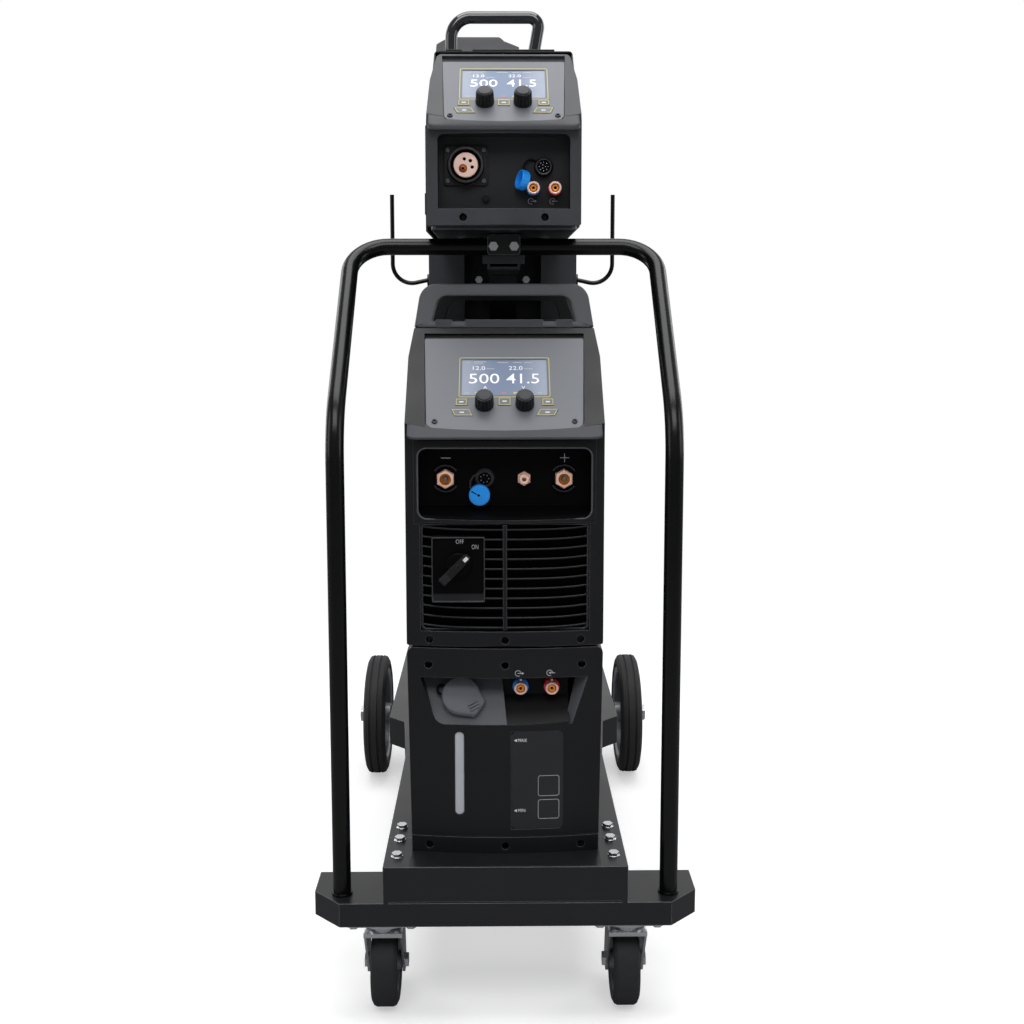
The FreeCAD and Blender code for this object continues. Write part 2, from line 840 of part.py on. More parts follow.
def rear_tyre(side):
    """Solid rubber tyre with three ribs."""
    half = rear_wheel_width / 2
    outer = rear_wheel_diameter / 2
    lip = rim_radius + 6
    rib = rear_wheel_width / 7
    outline = [
        (-rim_width / 2, rim_radius), (rim_width / 2, rim_radius), (rim_width / 2, lip),
        (half - 2, lip + 3),
        (half, lip + 8), (half - 2, outer - 9), (half - 6, outer - 2), (rib * 1.7, outer),
        (rib * 1.5, outer),
        (rib * 1.5, outer - 3.5), (rib * 0.9, outer - 3.5), (rib * 0.9, outer),
    ]
    outline += [(-x, r) for x, r in reversed(outline)][:-2]
    return turned_about_x(outline, side * rear_wheel_x, rear_axle_y, rear_axle_z)


def rear_rim(side):
    """Pressed steel rim with its hub and five holes in its disc."""
    half_hub = rear_hub_length / 2
    half = rim_width / 2
    lip = rim_radius + 6
    bore = axle_radius + shaft_gap
    outline = [
        (half_hub, bore), (half_hub, 22), (2, 24), (2, rim_radius - 4), (half - 1, rim_radius - 4),
        (half + 2.5, rim_radius), (half + 2.5, lip), (half, lip), (half, rim_radius),
    ]
    outline += [(-x, r) for x, r in reversed(outline)]
    rim = turned_about_x(outline, side * rear_wheel_x, rear_axle_y, rear_axle_z)
    centre = Vector(side * rear_wheel_x, rear_axle_y, rear_axle_z)
    holes = []
    for i in range(5):
        angle = math.radians(72 * i + 18)
        spot = centre + Vector(0, math.cos(angle), math.sin(angle)) * 56
        holes.append(rod(13, spot - X_AXIS * 10, spot + X_AXIS * 10))
    return rim.cut(holes)


def caster_plates():
    """Top plates of both castors with their ball races and kingpins."""
    solids = []
    top = bumper_bottom_z
    race_top = top - caster_plate_thickness
    race_bottom = race_top - caster_race_height
    crown_bottom = race_bottom - seat_gap - caster_crown_height
    for side in (-1, 1):
        x = side * caster_x
        centre = Vector(x, caster_swivel_y, 0)
        plate = prism("z", [
            (x - caster_plate_length / 2, caster_swivel_y - caster_plate_depth / 2),
            (x + caster_plate_length / 2, caster_swivel_y - caster_plate_depth / 2),
            (x + caster_plate_length / 2, caster_swivel_y + caster_plate_depth / 2),
            (x - caster_plate_length / 2, caster_swivel_y + caster_plate_depth / 2),
        ], race_top, top, 10.0)
        race = rod(caster_race_radius, centre + Z_AXIS * race_bottom, centre + Z_AXIS * race_top)
        pin = rod(caster_kingpin_radius, centre + Z_AXIS * (crown_bottom - seat_gap),
                  centre + Z_AXIS * race_top)
        head = rod(caster_kingpin_radius + 3, centre + Z_AXIS * (crown_bottom - seat_gap - 4),
                   centre + Z_AXIS * (crown_bottom - seat_gap))
        holes = [
            rod(m8_hole, place + Z_AXIS * (race_top - 1), place + Z_AXIS * (top + 1))
            for place in caster_bolt_places()
            if place.x * side > 0
        ]
        solids.append(fuse([plate, race, pin, head]).cut(holes))
    return Part.makeCompound(solids)


def caster_fork(side):
    """Pressed fork with its crown, hanging on the kingpin."""
    x = side * caster_x
    crown_top = bumper_bottom_z - caster_plate_thickness - caster_race_height - seat_gap
    crown_bottom = crown_top - caster_crown_height
    plate_top = crown_bottom + 6
    half = caster_fork_inner / 2 + caster_leg
    centre = Vector(x, caster_swivel_y, 0)
    crown = Part.makeCone(27, 31, crown_top - plate_top, centre + Z_AXIS * plate_top, Z_AXIS)
    bridge = box(x - half, x + half, caster_swivel_y - 28, caster_swivel_y + 30, crown_bottom, plate_top)
    leg_outline = [
        (caster_swivel_y - 28, plate_top), (caster_axle_y - 17, caster_axle_z + 2),
        (caster_axle_y - 11, caster_axle_z - 14), (caster_axle_y + 11, caster_axle_z - 14),
        (caster_axle_y + 16, caster_axle_z + 4), (caster_swivel_y + 30, plate_top),
    ]
    legs = []
    for leg_side in (-1, 1):
        inner = x + leg_side * caster_fork_inner / 2
        outer = x + leg_side * half
        legs.append(prism("x", leg_outline, min(inner, outer), max(inner, outer), [0, 8, 8, 8, 8, 0]))
    pin_hole = rod(caster_kingpin_radius + shaft_gap, centre + Z_AXIS * (crown_bottom - 1),
                   centre + Z_AXIS * (crown_top + 1))
    bolt_hole = rod(caster_bolt_radius, Vector(x - half - 1, caster_axle_y, caster_axle_z),
                    Vector(x + half + 1, caster_axle_y, caster_axle_z))
    return fuse([crown, bridge] + legs).cut([pin_hole, bolt_hole])


def caster_axle(side):
    """Bolt and nut that hold the castor wheel in its fork."""
    x = side * caster_x
    half = caster_fork_inner / 2 + caster_leg
    left = Vector(x - half, caster_axle_y, caster_axle_z)
    right = Vector(x + half, caster_axle_y, caster_axle_z)
    head = hexagon(caster_bolt_flats, caster_bolt_head, right, X_AXIS)
    nut = hexagon(caster_bolt_flats, caster_bolt_head, left, X_AXIS * -1)
    return fuse([rod(caster_bolt_radius, left, right), head, nut])


def caster_tyre(side):
    """Rubber tyre with rounded shoulders."""
    half = caster_width / 2
    outer = caster_diameter / 2
    outline = [
        (half - 3, caster_rim_radius), (half, caster_rim_radius + 4), (half, outer - 7.5),
        (half - 3, outer - 2),
        (half - 7, outer),
    ]
    outline += [(-x, r) for x, r in reversed(outline)]
    return turned_about_x(outline, side * caster_x, caster_axle_y, caster_axle_z)


def caster_hub(side):
    """Hub with a thin disc and the rim that carries the tyre."""
    half_hub = caster_hub_length / 2
    half = caster_width / 2 - 3
    bore = caster_bolt_radius + shaft_gap
    outline = [
        (half_hub, bore), (half_hub, 13), (4, 14), (4, caster_rim_radius - 6),
        (half, caster_rim_radius - 5),
        (half, caster_rim_radius),
    ]
    outline += [(-x, r) for x, r in reversed(outline)]
    return turned_about_x(outline, side * caster_x, caster_axle_y, caster_axle_z)


# Shared forms of the machines

def bowed_plan(front_y, back_y, half_width):
    """A solid as high as the cart whose front face bows out in the middle."""
    side_y = front_y + front_bow
    arc = Part.Arc(Vector(-half_width, side_y, 0), Vector(0, front_y, 0),
                   Vector(half_width, side_y, 0)).toShape()
    lines = [
        Part.LineSegment(Vector(half_width, side_y, 0), Vector(half_width, back_y, 0)).toShape(),
        Part.LineSegment(Vector(half_width, back_y, 0), Vector(-half_width, back_y, 0)).toShape(),
        Part.LineSegment(Vector(-half_width, back_y, 0), Vector(-half_width, side_y, 0)).toShape(),
    ]
    return Part.Face(Part.Wire([arc] + lines)).extrude(Vector(0, 0, 2000))


def screw_recesses(places, front_y):
    """Blind round recesses in a front face, at (x, z) places."""
    return [
        rod(screw_recess_radius, Vector(x, front_y - 1, z),
            Vector(x, front_y + front_bow + screw_recess_depth, z))
        for x, z in places
    ]


class Console:
    """A sloping control panel: its place, its size and where its knobs and keys sit."""

    def __init__(self, base_y, base_z, width, top_width, length, recess, knobs, keys, display_s, screws):
        self.base = Vector(0, base_y, base_z)
        self.width = width
        self.top_width = top_width
        self.length = length
        self.recess = recess
        self.knobs = knobs
        self.keys = keys
        self.display_s = display_s
        self.screws = screws

    def place(self, shape):
        """Moves a shape from the panel's own axes: across, up the slope, out of the face."""
        turn = FreeCAD.Rotation(X_AXIS, 90.0 - console_lean)
        shape.Placement = FreeCAD.Placement(self.base, turn).multiply(shape.Placement)
        return shape

    def outline(self, grow, length):
        """The panel's outline, wider at the top, with rounded lower corners."""
        half = self.width / 2 + grow
        spread = (self.top_width - self.width) / 2 * length / self.length
        points = [(-half, -grow), (half, -grow), (half + spread, length), (-half - spread, length)]
        return Part.Face(rounded_wire(points, [11, 11, 0, 0]))

    def slab(self, grow, length, low, high):
        """A plate with the panel's outline between two depths."""
        plate = self.outline(grow, length)
        plate.translate(Vector(0, 0, low))
        return self.place(plate.extrude(Vector(0, 0, high - low)))

    def pad(self, x0, x1, s0, s1, low, high):
        """A block in the panel's axes."""
        return self.place(box(x0, x1, s0, s1, low, high))

    def post(self, radius, x, s, low, high):
        """A round post in the panel's axes."""
        return self.place(Part.makeCylinder(radius, high - low, Vector(x, s, low)))

    def key_shapes(self, grow, low, high):
        """The five keys: three blocks and two slanted ones."""
        shapes = []
        for points in self.keys:
            middle_x = sum(p[0] for p in points) / len(points)
            middle_s = sum(p[1] for p in points) / len(points)
            wide = [
                (x + math.copysign(grow, x - middle_x), s + math.copysign(grow, s - middle_s))
                for x, s in points
            ]
            face = Part.Face(Part.makePolygon([Vector(x, s, low) for x, s in wide + wide[:1]]))
            shapes.append(self.place(face.extrude(Vector(0, 0, high - low))))
        return shapes


def key_block(x0, x1, s0, s1):
    """Corner points of a rectangular key."""
    return [(x0, s0), (x1, s0), (x1, s1), (x0, s1)]


def console_keys(side_x, side_s, slant_s, middle_s):
    """Outlines of the five keys of a panel."""
    keys = [key_block(-8.5, 8.5, middle_s - 7, middle_s + 7)]
    for side in (-1, 1):
        x0, x1 = sorted((side * (side_x - 8), side * (side_x + 8)))
        keys.append(key_block(x0, x1, side_s - 6, side_s + 6))
        inner = side * (side_x - 14)
        outer = side * (side_x + 14)
        low_outer = outer - side * 5
        points = [(low_outer, slant_s - 6), (inner - side * 2, slant_s - 6),
                  (inner + side * 3, slant_s + 6),
                  (outer, slant_s + 6)]
        if side < 0:
            points = points[::-1]
        keys.append(points)
    return keys


def source_console():
    """The power source's panel."""
    return Console(
        machine_front_y, source_z + source_panel_z, source_panel_width, source_panel_top_width,
        source_panel_length, source_recess_length, [(-28, 51), (28, 51)],
        console_keys(60, 56, 37, 57), 69.0, [(-96, 21), (96, 21)],
    )


def feeder_console():
    """The wire feeder's panel."""
    return Console(
        feeder_front_y, feeder_bottom_z + feeder_panel_z, feeder_panel_width, feeder_panel_top_width,
        feeder_panel_length, feeder_recess_length, [(-27, 43), (27, 43)],
        console_keys(57, 43, 25, 43), 55.0, [(-76, 13), (76, 13)],
    )


def console_recess(console):
    """The recess that the panel sits in."""
    return console.slab(seat_gap, console.recess, -panel_thickness - panel_sink, 60.0)


def control_panel(console):
    """Front plate with its display window, key openings and knob shafts."""
    top = -panel_sink
    bottom = top - panel_thickness
    plate = console.slab(0, console.length, bottom, top)
    low = console.display_s
    window = console.pad(-display_width / 2, display_width / 2, low, low + display_height,
                         bottom - 1, top + 1)
    openings = console.key_shapes(key_clearance, bottom - 1, top + 1)
    pocket = mat_shape(console, key_clearance, bottom - 1,
                       bottom + mat_thickness + key_travel + 2 * mat_gap)
    rims = [console.post(7.5, x, s, bottom, bottom + 2.4) for x, s in console.knobs]
    shaft_top = top + knob_shaft_length
    shafts = [console.post(knob_shaft_radius, x, s, bottom, shaft_top) for x, s in console.knobs]
    screws = [console.post(3.2, x, s, top - 1.5, top + 1) for x, s in console.screws]
    body = plate.cut([window, pocket] + openings + screws)
    return fuse([body] + rims + shafts)


def mat_shape(console, grow, low, high):
    """The outline of the keypad mat, with room round the knob shafts."""
    xs = [p[0] for key in console.keys for p in key]
    ss = [p[1] for key in console.keys for p in key]
    margin = mat_margin + grow
    mat = console.pad(min(xs) - margin, max(xs) + margin, min(ss) - margin, max(ss) + margin, low, high)
    holes = [console.post(mat_hole_radius - grow, x, s, low - 1, high + 1) for x, s in console.knobs]
    return mat.cut(holes)


def keypad(console):
    """Rubber mat behind the panel with five keys that stand through it."""
    top = -panel_sink
    bottom = top - panel_thickness
    mat_top = bottom + mat_thickness + key_travel + mat_gap
    mat = mat_shape(console, 0, mat_top - mat_thickness, mat_top)
    keys = console.key_shapes(0, mat_top - mat_thickness, top + key_rise)
    return fuse([mat] + keys)


def display(console):
    """Screen module behind the window."""
    top = -panel_sink - 1.0
    low = console.display_s
    return console.pad(-display_width / 2, display_width / 2, low, low + display_height,
                       top - display_thickness, top)


def knob(console, index):
    """Ribbed knob on its shaft."""
    x, s = console.knobs[index]
    low = -panel_sink + 0.5
    points = []
    for i in range(2 * knob_lobes):
        radius = knob_radius if i % 2 else knob_radius - 1.2
        angle = math.pi * i / knob_lobes
        points.append(Vector(x + radius * math.cos(angle), s + radius * math.sin(angle), low))
    skirt = Part.Face(Part.makePolygon(points + points[:1])).extrude(Vector(0, 0, knob_height - 3))
    cap = Part.makeCone(knob_radius - 1.2, knob_radius - 2.5, 3, Vector(x, s, low + knob_height - 3))
    bore = Part.makeCylinder(knob_shaft_radius + shaft_gap, knob_shaft_length, Vector(x, s, low - 0.1))
    return console.place(skirt.fuse(cap).cut(bore))


def handle_opening(z, y0, y1):
    """The hole under a handle arch."""
    top = z + arch_height - arch_bar
    half = source_shoulder_width / 2 - arch_side
    points = [(-half, z + 8), (half, z + 8), (half - 9, top), (-half + 9, top)]
    return prism("y", points, y0, y1, [3, 3, 20, 20])


def machine_silhouette(z0, kink, top, arch):
    """The machine seen from the front: upright sides, a kink, the shoulders and the handle arch."""
    half = machine_width / 2
    shoulder = source_shoulder_width / 2
    points = [(half, z0), (half, z0 + kink), (shoulder, z0 + top)]
    radii = [3.0, 20.0, 0.0]
    if arch:
        points += [(shoulder - 18, z0 + top + arch_height - 14), (arch_width / 2, z0 + top + arch_height)]
        radii = [3.0, 20.0, 30.0, 20.0, 12.0]
    return mirrored(points), radii + radii[::-1]


# Cooler

def cooler_outline(inset):
    """The cooler seen from the front, a little wider at its top."""
    return mirrored([
        (cooler_foot_width / 2 - inset, cooler_z + inset),
        (machine_width / 2 - inset, cooler_z + cooler_height - inset),
    ])


def filler_frame():
    """A point on the filler pocket's slope and the direction out of it."""
    run = filler_pocket_depth
    rise = cooler_pocket_top - cooler_pocket_bottom
    slope = math.hypot(run, rise)
    middle = Vector(filler_x, machine_front_y + run / 2,
                    cooler_z + (cooler_pocket_bottom + cooler_pocket_top) / 2)
    return middle, Vector(0, -rise / slope, run / slope)


def filler_pocket(grow):
    """The wedge cut out of the front for the filler cap."""
    low = cooler_z + cooler_pocket_bottom - grow
    high = cooler_z + cooler_pocket_top + grow
    y0 = machine_front_y
    points = [(y0 - cut_over, low), (y0, low), (y0 + filler_pocket_depth + grow, high),
              (y0 - cut_over, high)]
    return prism("x", points, filler_pocket_left - grow, filler_pocket_right + grow)


def fitting_pocket(grow):
    """The recess behind the coolant couplings, with its sloping floor."""
    low = cooler_z + cooler_pocket_bottom - grow
    high = cooler_z + cooler_pocket_top + grow
    y0 = machine_front_y
    back = y0 + fitting_pocket_depth + grow
    rise = low + 32
    points = [(y0 - cut_over, low), (y0, low), (back, rise), (back, high), (y0 - cut_over, high)]
    return prism("x", points, fitting_pocket_left - grow, fitting_pocket_right + grow)


def cooler_front():
    """Moulded front with its pockets, sight slot and screw recesses."""
    back_y = machine_front_y + cooler_front_depth
    silhouette = prism("y", cooler_outline(0), machine_front_y, back_y, [4, 10, 10, 4])
    body = silhouette.common(bowed_plan(machine_front_y, back_y, machine_width / 2))
    cavity = prism("y", cooler_outline(plastic_wall + 14), machine_front_y + front_bow + plastic_wall,
                   back_y + 1)
    pockets = filler_pocket(plastic_wall).fuse(fitting_pocket(plastic_wall)).common(body)
    middle, out = filler_frame()
    neck_hole = rod(filler_neck_radius + shaft_gap, middle - out * 20, middle + out * 20)
    slot_low = cooler_z + slot_bottom
    slot = prism("y", [
        (slot_x - slot_width / 2, slot_low), (slot_x + slot_width / 2, slot_low),
        (slot_x + slot_width / 2, slot_low + slot_height),
        (slot_x - slot_width / 2, slot_low + slot_height),
    ], machine_front_y - 1, back_y, 6.0)
    plate_half = bare_plate_width / 2
    plate_low = cooler_z + bare_plate_bottom
    plate = box(bare_plate_x - plate_half, bare_plate_x + plate_half, machine_front_y - 1,
                machine_front_y + 4,
                plate_low, plate_low + bare_plate_height)
    groove = box(-machine_width, machine_width, machine_front_y - 1, machine_front_y + front_bow + 1,
                 cooler_z + 24, cooler_z + 25.5)
    groove = groove.cut(bowed_plan(machine_front_y + 1.5, back_y, machine_width / 2))
    screw_places = [(x, cooler_z + z) for x in (-107, 0, 107) for z in (11.5, cooler_height - 24)]
    body = body.cut(cavity).fuse(pockets)
    cuts = [filler_pocket(0), fitting_pocket(0), neck_hole, slot, plate, groove]
    return body.cut(cuts + screw_recesses(screw_places, machine_front_y))


def cooler_housing():
    """Sheet cover and floor of the cooler, with the air slots in its back."""
    front_y = machine_front_y + cooler_front_depth
    outer = prism("y", cooler_outline(0), front_y, machine_end_y)
    inner = prism("y", cooler_outline(thin_sheet), front_y - 1, machine_end_y - thin_sheet)
    slots = [
        box(-90, 90, machine_end_y - 5, machine_end_y + 1, cooler_z + z, cooler_z + z + 9)
        for z in range(60, 250, 24)
    ]
    side_slots = [
        box(-machine_width, machine_width, y, y + 10, cooler_z + 70, cooler_z + 230)
        for y in range(int(front_y) + 300, int(front_y) + 480, 26)
    ]
    return outer.cut([inner] + slots + side_slots)


def coolant_tank():
    """Tank with its filler neck and the bulge that fills the sight slot."""
    low = cooler_z + thin_sheet
    top = cooler_z + cooler_pocket_bottom - plastic_wall - 4
    front = machine_front_y + front_bow + plastic_wall + 2
    body = box(filler_pocket_left + 8, -8, front, machine_front_y + 330, low + 16, top)
    foot = box(filler_pocket_left + 12, -12, machine_front_y + cooler_front_depth + 10,
               machine_front_y + 320, low, low + 16)
    middle, out = filler_frame()
    neck_end = middle + out * filler_neck_rise
    depth = (neck_end.z - top) / out.z + 25
    neck = rod(filler_neck_radius, neck_end - out * depth, neck_end)
    bore = rod(filler_neck_radius - filler_neck_wall, neck_end - out * (depth - 12), neck_end + out)
    slot_low = cooler_z + slot_bottom + seat_gap
    bulge_half = slot_width / 2 - seat_gap
    bulge = prism("y", [
        (slot_x - bulge_half, slot_low), (slot_x + bulge_half, slot_low),
        (slot_x + bulge_half, slot_low + slot_height - 2 * seat_gap),
        (slot_x - bulge_half, slot_low + slot_height - 2 * seat_gap),
    ], machine_front_y + 4, front + 1, 5.5)
    return fuse([body, foot, neck, bulge]).cut(bore)


def coolant_pump():
    """Pump head on its motor, bolted to the cooler's floor."""
    low = cooler_z + thin_sheet
    x = 65.0
    z = low + 60
    motor = rod(42, Vector(x, machine_front_y + 180, z), Vector(x, machine_front_y + 330, z))
    head = rod(30, Vector(x, machine_front_y + 140, z), Vector(x, machine_front_y + 180, z))
    inlet = rod(9, Vector(x, machine_front_y + 115, z), Vector(x, machine_front_y + 141, z))
    outlet = rod(9, Vector(x, machine_front_y + 160, z), Vector(x, machine_front_y + 160, z + 50))
    foot = box(x - 40, x + 40, machine_front_y + 195, machine_front_y + 315, low, z - 30)
    return fuse([motor, head, inlet, outlet, foot])


def filler_cap():
    """Ribbed cap over the filler neck, with its finger tab."""
    middle, out = filler_frame()
    seat = middle + out * seat_gap
    count = 12
    turn = FreeCAD.Rotation(Z_AXIS, out)
    points = []
    for i in range(2 * count):
        radius = filler_cap_radius if i % 2 else filler_cap_radius - 1.5
        angle = math.pi * i / count
        points.append(Vector(radius * math.cos(angle), radius * math.sin(angle), 0))
    skirt = Part.Face(Part.makePolygon(points + points[:1])).extrude(Vector(0, 0, filler_cap_height - 4))
    crown = Part.makeCone(filler_cap_radius - 1.5, filler_cap_radius - 6, 4,
                          Vector(0, 0, filler_cap_height - 4))
    tab = box(filler_cap_radius - 6, filler_cap_radius + 7, -9, 9, 0, filler_cap_height - 6)
    tab.rotate(Vector(), Z_AXIS, -35)
    bore = Part.makeCylinder(filler_neck_radius + shaft_gap, filler_neck_rise + seat_gap,
                             Vector(0, 0, -0.01))
    cap = fuse([skirt, crown, tab]).cut(bore)
    cap.Placement = FreeCAD.Placement(seat, turn)
    return cap


def coupling(x, back_y, z, length, radius):
    """Quick coupling: a collar on the wall and a brass nose with its bore."""
    wall = Vector(x, back_y, z)
    out = Y_AXIS * -1
    collar = rod(radius, wall, wall + out * length * 0.6)
    nose = rod(radius - 1.5, wall + out * length * 0.6, wall + out * length)
    bore = rod(radius * 0.45, wall + out * 3, wall + out * (length + 1))
    return collar.fuse(nose).cut(bore)


def coolant_fittings():
    """The two coolant couplings of the cooler."""
    back = machine_front_y + fitting_pocket_depth
    z = cooler_z + cooler_pocket_top - 20
    return Part.makeCompound([
        coupling(fitting_middle_x + side * fitting_spacing / 2, back, z, 28.0, fitting_radius)
        for side in (-1, 1)
    ])


# Power source

def source_back_edge():
    """The line along which the front bezel meets the housing, in (y, z)."""
    return [
        (machine_front_y + 52, source_z), (machine_front_y + 52, source_z + source_panel_z - 38),
        (machine_front_y + 192, source_z + source_top - 12),
        (machine_front_y + 192, source_z + source_top + 100),
    ]


def source_front_form():
    """The whole front of the power source as one block, with its handle arch."""
    y0 = machine_front_y
    slope_y = y0 + (source_top - source_panel_z) * math.tan(math.radians(console_lean))
    arch_y = slope_y + 2
    top = source_z + source_top
    edge = source_back_edge()
    profile = [
        (y0, source_z), (y0, source_z + source_panel_z), (slope_y, top), (arch_y, top + arch_height),
        (arch_y + arch_depth, top + arch_height), (arch_y + arch_depth + 3, top - 12),
    ] + [edge[2], edge[1], edge[0]]
    radii = [2.0, 8.0, 0.0, 8.0, 8.0, 0.0, 0.0, 0.0, 0.0]
    silhouette, corners = machine_silhouette(source_z, source_kink, source_top, True)
    half = machine_width / 2
    body = prism("x", profile, -half, half, radii)
    body = body.common(prism("y", silhouette, y0, y0 + 300, corners))
    return body.common(bowed_plan(y0, y0 + 300, half))


def source_handle():
    """Handle arch, a closed ring on top of the front moulding."""
    top = source_z + source_top
    above = box(-machine_width, machine_width, 0, column_y, top, top + 2 * arch_height)
    return source_front_form().common(above).cut(handle_opening(top, machine_front_y, column_y))


def source_bay():
    """Black insert that lines the connector bay, with the holes of the weld sockets."""
    y0 = machine_front_y
    bay = bay_shape(y0, source_z, bay_width, source_bay_bottom, source_bay_top, bay_depth, 0)
    lining = bay_shape(y0, source_z, bay_width, source_bay_bottom, source_bay_top, bay_depth, bay_wall)
    stems = [
        rod(weld_stem_radius + shaft_gap, Vector(side * weld_socket_spacing / 2, source_bay_y - 1,
                                                 source_z + socket_line),
            Vector(side * weld_socket_spacing / 2, source_bay_y + 9, source_z + socket_line))
        for side in (-1, 1)
    ]
    return lining.common(source_front_form()).cut([bay] + stems)


def source_bezel():
    """Moulded front with panel slope and the openings for connector bay and grille."""
    y0 = machine_front_y
    slope_y = y0 + (source_top - source_panel_z) * math.tan(math.radians(console_lean))
    top = source_z + source_top
    half = machine_width / 2
    body = source_front_form().common(box(-half, half, 0, column_y, source_z, top))
    wall = plastic_wall
    inner_front = y0 + front_bow + wall
    cavity_profile = [
        (inner_front, source_z + grille_bottom - 3), (inner_front, source_z + source_panel_z - 8),
        (slope_y, top - 19), (y0 + 250, top - 19), (y0 + 250, source_z + grille_bottom - 3),
    ]
    cavity = prism("x", cavity_profile, -half + wall, half - wall)
    taper = prism("y", [(-half + wall, 0), (half - wall, 0), (half - wall, source_z + source_kink),
                        (source_shoulder_width / 2 - wall - 2, top),
                        (-source_shoulder_width / 2 + wall + 2, top),
                        (-half + wall, source_z + source_kink)], y0, y0 + 300)
    cavity = cavity.common(taper)
    panel_bed = source_console().slab(8.0, source_recess_length + 3, -panel_sink - panel_thickness - 3.0,
                                      -0.5)
    lining = bay_shape(y0, source_z, bay_width, source_bay_bottom, source_bay_top, bay_depth, bay_wall)
    solids = fuse([body.cut(cavity), panel_bed.common(body)])
    opening = box(-grille_width / 2, grille_width / 2, y0 - 1, inner_front + 1,
                  source_z + grille_bottom, source_z + grille_top)
    screws = screw_recesses([(x, source_z + 9) for x in (-105, 0, 105)], y0)
    return solids.cut([lining, console_recess(source_console()), opening] + screws)


def bay_shape(y0, z0, width, bottom, top, depth, wall):
    """A connector bay with a floor that falls to the front."""
    half = width / 2 + wall
    low = z0 + bottom - wall
    points = [
        (y0 - cut_over, low), (y0 + depth + wall, low + bay_floor_rise),
        (y0 + depth + wall, z0 + top + wall),
        (y0 - cut_over, z0 + top + wall),
    ]
    return prism("x", points, -half, half)


def louvre_grille():
    """Frame, centre rib and sloping slats that follow the bowed front."""
    half = grille_width / 2 - seat_gap
    low = source_z + grille_bottom + seat_gap
    high = source_z + grille_top - seat_gap
    y0 = machine_front_y + 1
    back = machine_front_y + front_bow + 10
    outer = box(-half, half, y0, back, low, high)
    inner = box(-half + 3, half - 3, y0 - 1, back + 1, low + 3, high - 3)
    pieces = [outer.cut(inner), box(-grille_rib / 2, grille_rib / 2, y0, back, low, high)]
    pitch = (high - low) / slat_count
    for i in range(slat_count):
        z = low + pitch * (i + 0.5)
        points = [(y0, z - 4), (back, z + 2), (back, z + 2 + slat_thickness), (y0, z - 4 + slat_thickness)]
        pieces.append(prism("x", points, -half + 1, half - 1))
    grille = fuse(pieces).common(bowed_plan(y0, back, machine_width / 2))
    plate_x0 = switch_x - switch_plate_width / 2 - seat_gap
    plate_x1 = switch_x + switch_plate_width / 2 + seat_gap
    plate_z = source_z + switch_z - switch_plate_height / 2 - seat_gap
    hole = box(plate_x0, plate_x1, y0 - 5, back + 5, plate_z, plate_z + switch_plate_height + 2 * seat_gap)
    return grille.cut(hole)


def switch_plate():
    """Plate of the power switch with the switch body behind it."""
    half = switch_plate_width / 2
    z = source_z + switch_z
    low = z - switch_plate_height / 2
    high = z + switch_plate_height / 2
    y0 = machine_front_y
    outline = [(switch_x - half, low), (switch_x + half, low + 14), (switch_x + half, high),
               (switch_x - half, high)]
    plate = prism("y", outline, y0, y0 + 4, 3.0)
    sides = prism("y", outline, y0 + 4, y0 + front_bow + 9, 3.0)
    inner = prism("y", [(switch_x - half + 3, low + 4), (switch_x + half - 3, low + 17),
                        (switch_x + half - 3, high - 3), (switch_x - half + 3, high - 3)], y0 + 4, y0 + 60)
    body = box(switch_x - 24, switch_x + 24, y0 + 4, y0 + 60, z - 24, z + 24)
    shaft = rod(5, Vector(switch_x, y0 - 8, z), Vector(switch_x, y0 + 1, z))
    return fuse([plate, sides.cut(inner), body, shaft])


def power_switch():
    """Turning lever of the power switch, pointing to the on mark."""
    y0 = machine_front_y - seat_gap
    z = source_z + switch_z
    disc = rod(switch_disc_radius, Vector(switch_x, y0 - 4, z), Vector(switch_x, y0, z))
    half = switch_lever_length / 2
    width = switch_lever_width / 2
    lever = prism("y", [(-width, -half), (width, -half), (width - 1, half), (-width + 1, half)],
                  y0 - 12, y0 - 4, 3.0)
    lever.rotate(Vector(), Y_AXIS, 45)
    lever.translate(Vector(switch_x, 0, z))
    bore = rod(5 + shaft_gap, Vector(switch_x, y0 - 8, z), Vector(switch_x, y0 + 1, z))
    return disc.fuse(lever).cut(bore)


def weld_socket(x, back_y, z):
    """Plastic collar with a six-sided brass insert and its bore."""
    wall = Vector(x, back_y, z)
    out = Y_AXIS * -1
    collar = rod(weld_socket_radius, wall, wall + out * weld_socket_depth)
    insert = hexagon(brass_flats, weld_socket_depth + 3, wall, out)
    bore = rod(weld_socket_bore, wall + out * (weld_socket_depth + 3 - weld_socket_bore_length),
               wall + out * 30)
    back = rod(weld_stem_radius, wall + Y_AXIS * 14, wall)
    ring = collar.cut(insert)
    core = insert.fuse(back).cut(bore)
    return [ring, core]


def control_socket(x, back_y, z):
    """Round plug socket with a keyed insert."""
    wall = Vector(x, back_y, z)
    out = Y_AXIS * -1
    shell = rod(control_socket_radius, wall, wall + out * control_socket_length)
    well = rod(control_socket_radius - 2.5, wall + out * 3, wall + out * 11)
    insert = rod(control_socket_radius - 5, wall + out * 2, wall + out * 8)
    return shell.cut(well).fuse(insert)


def strap_between(start_x, start_z, end_x, end_z, y):
    """Flat strap on a wall between two points."""
    run_x = end_x - start_x
    run_z = end_z - start_z
    length = math.hypot(run_x, run_z)
    strap = box(-strap_width / 2, strap_width / 2, y - strap_thickness, y, 0, length)
    strap.rotate(Vector(), Y_AXIS, math.degrees(math.atan2(run_x, run_z)))
    strap.translate(Vector(start_x, 0, start_z))
    return strap


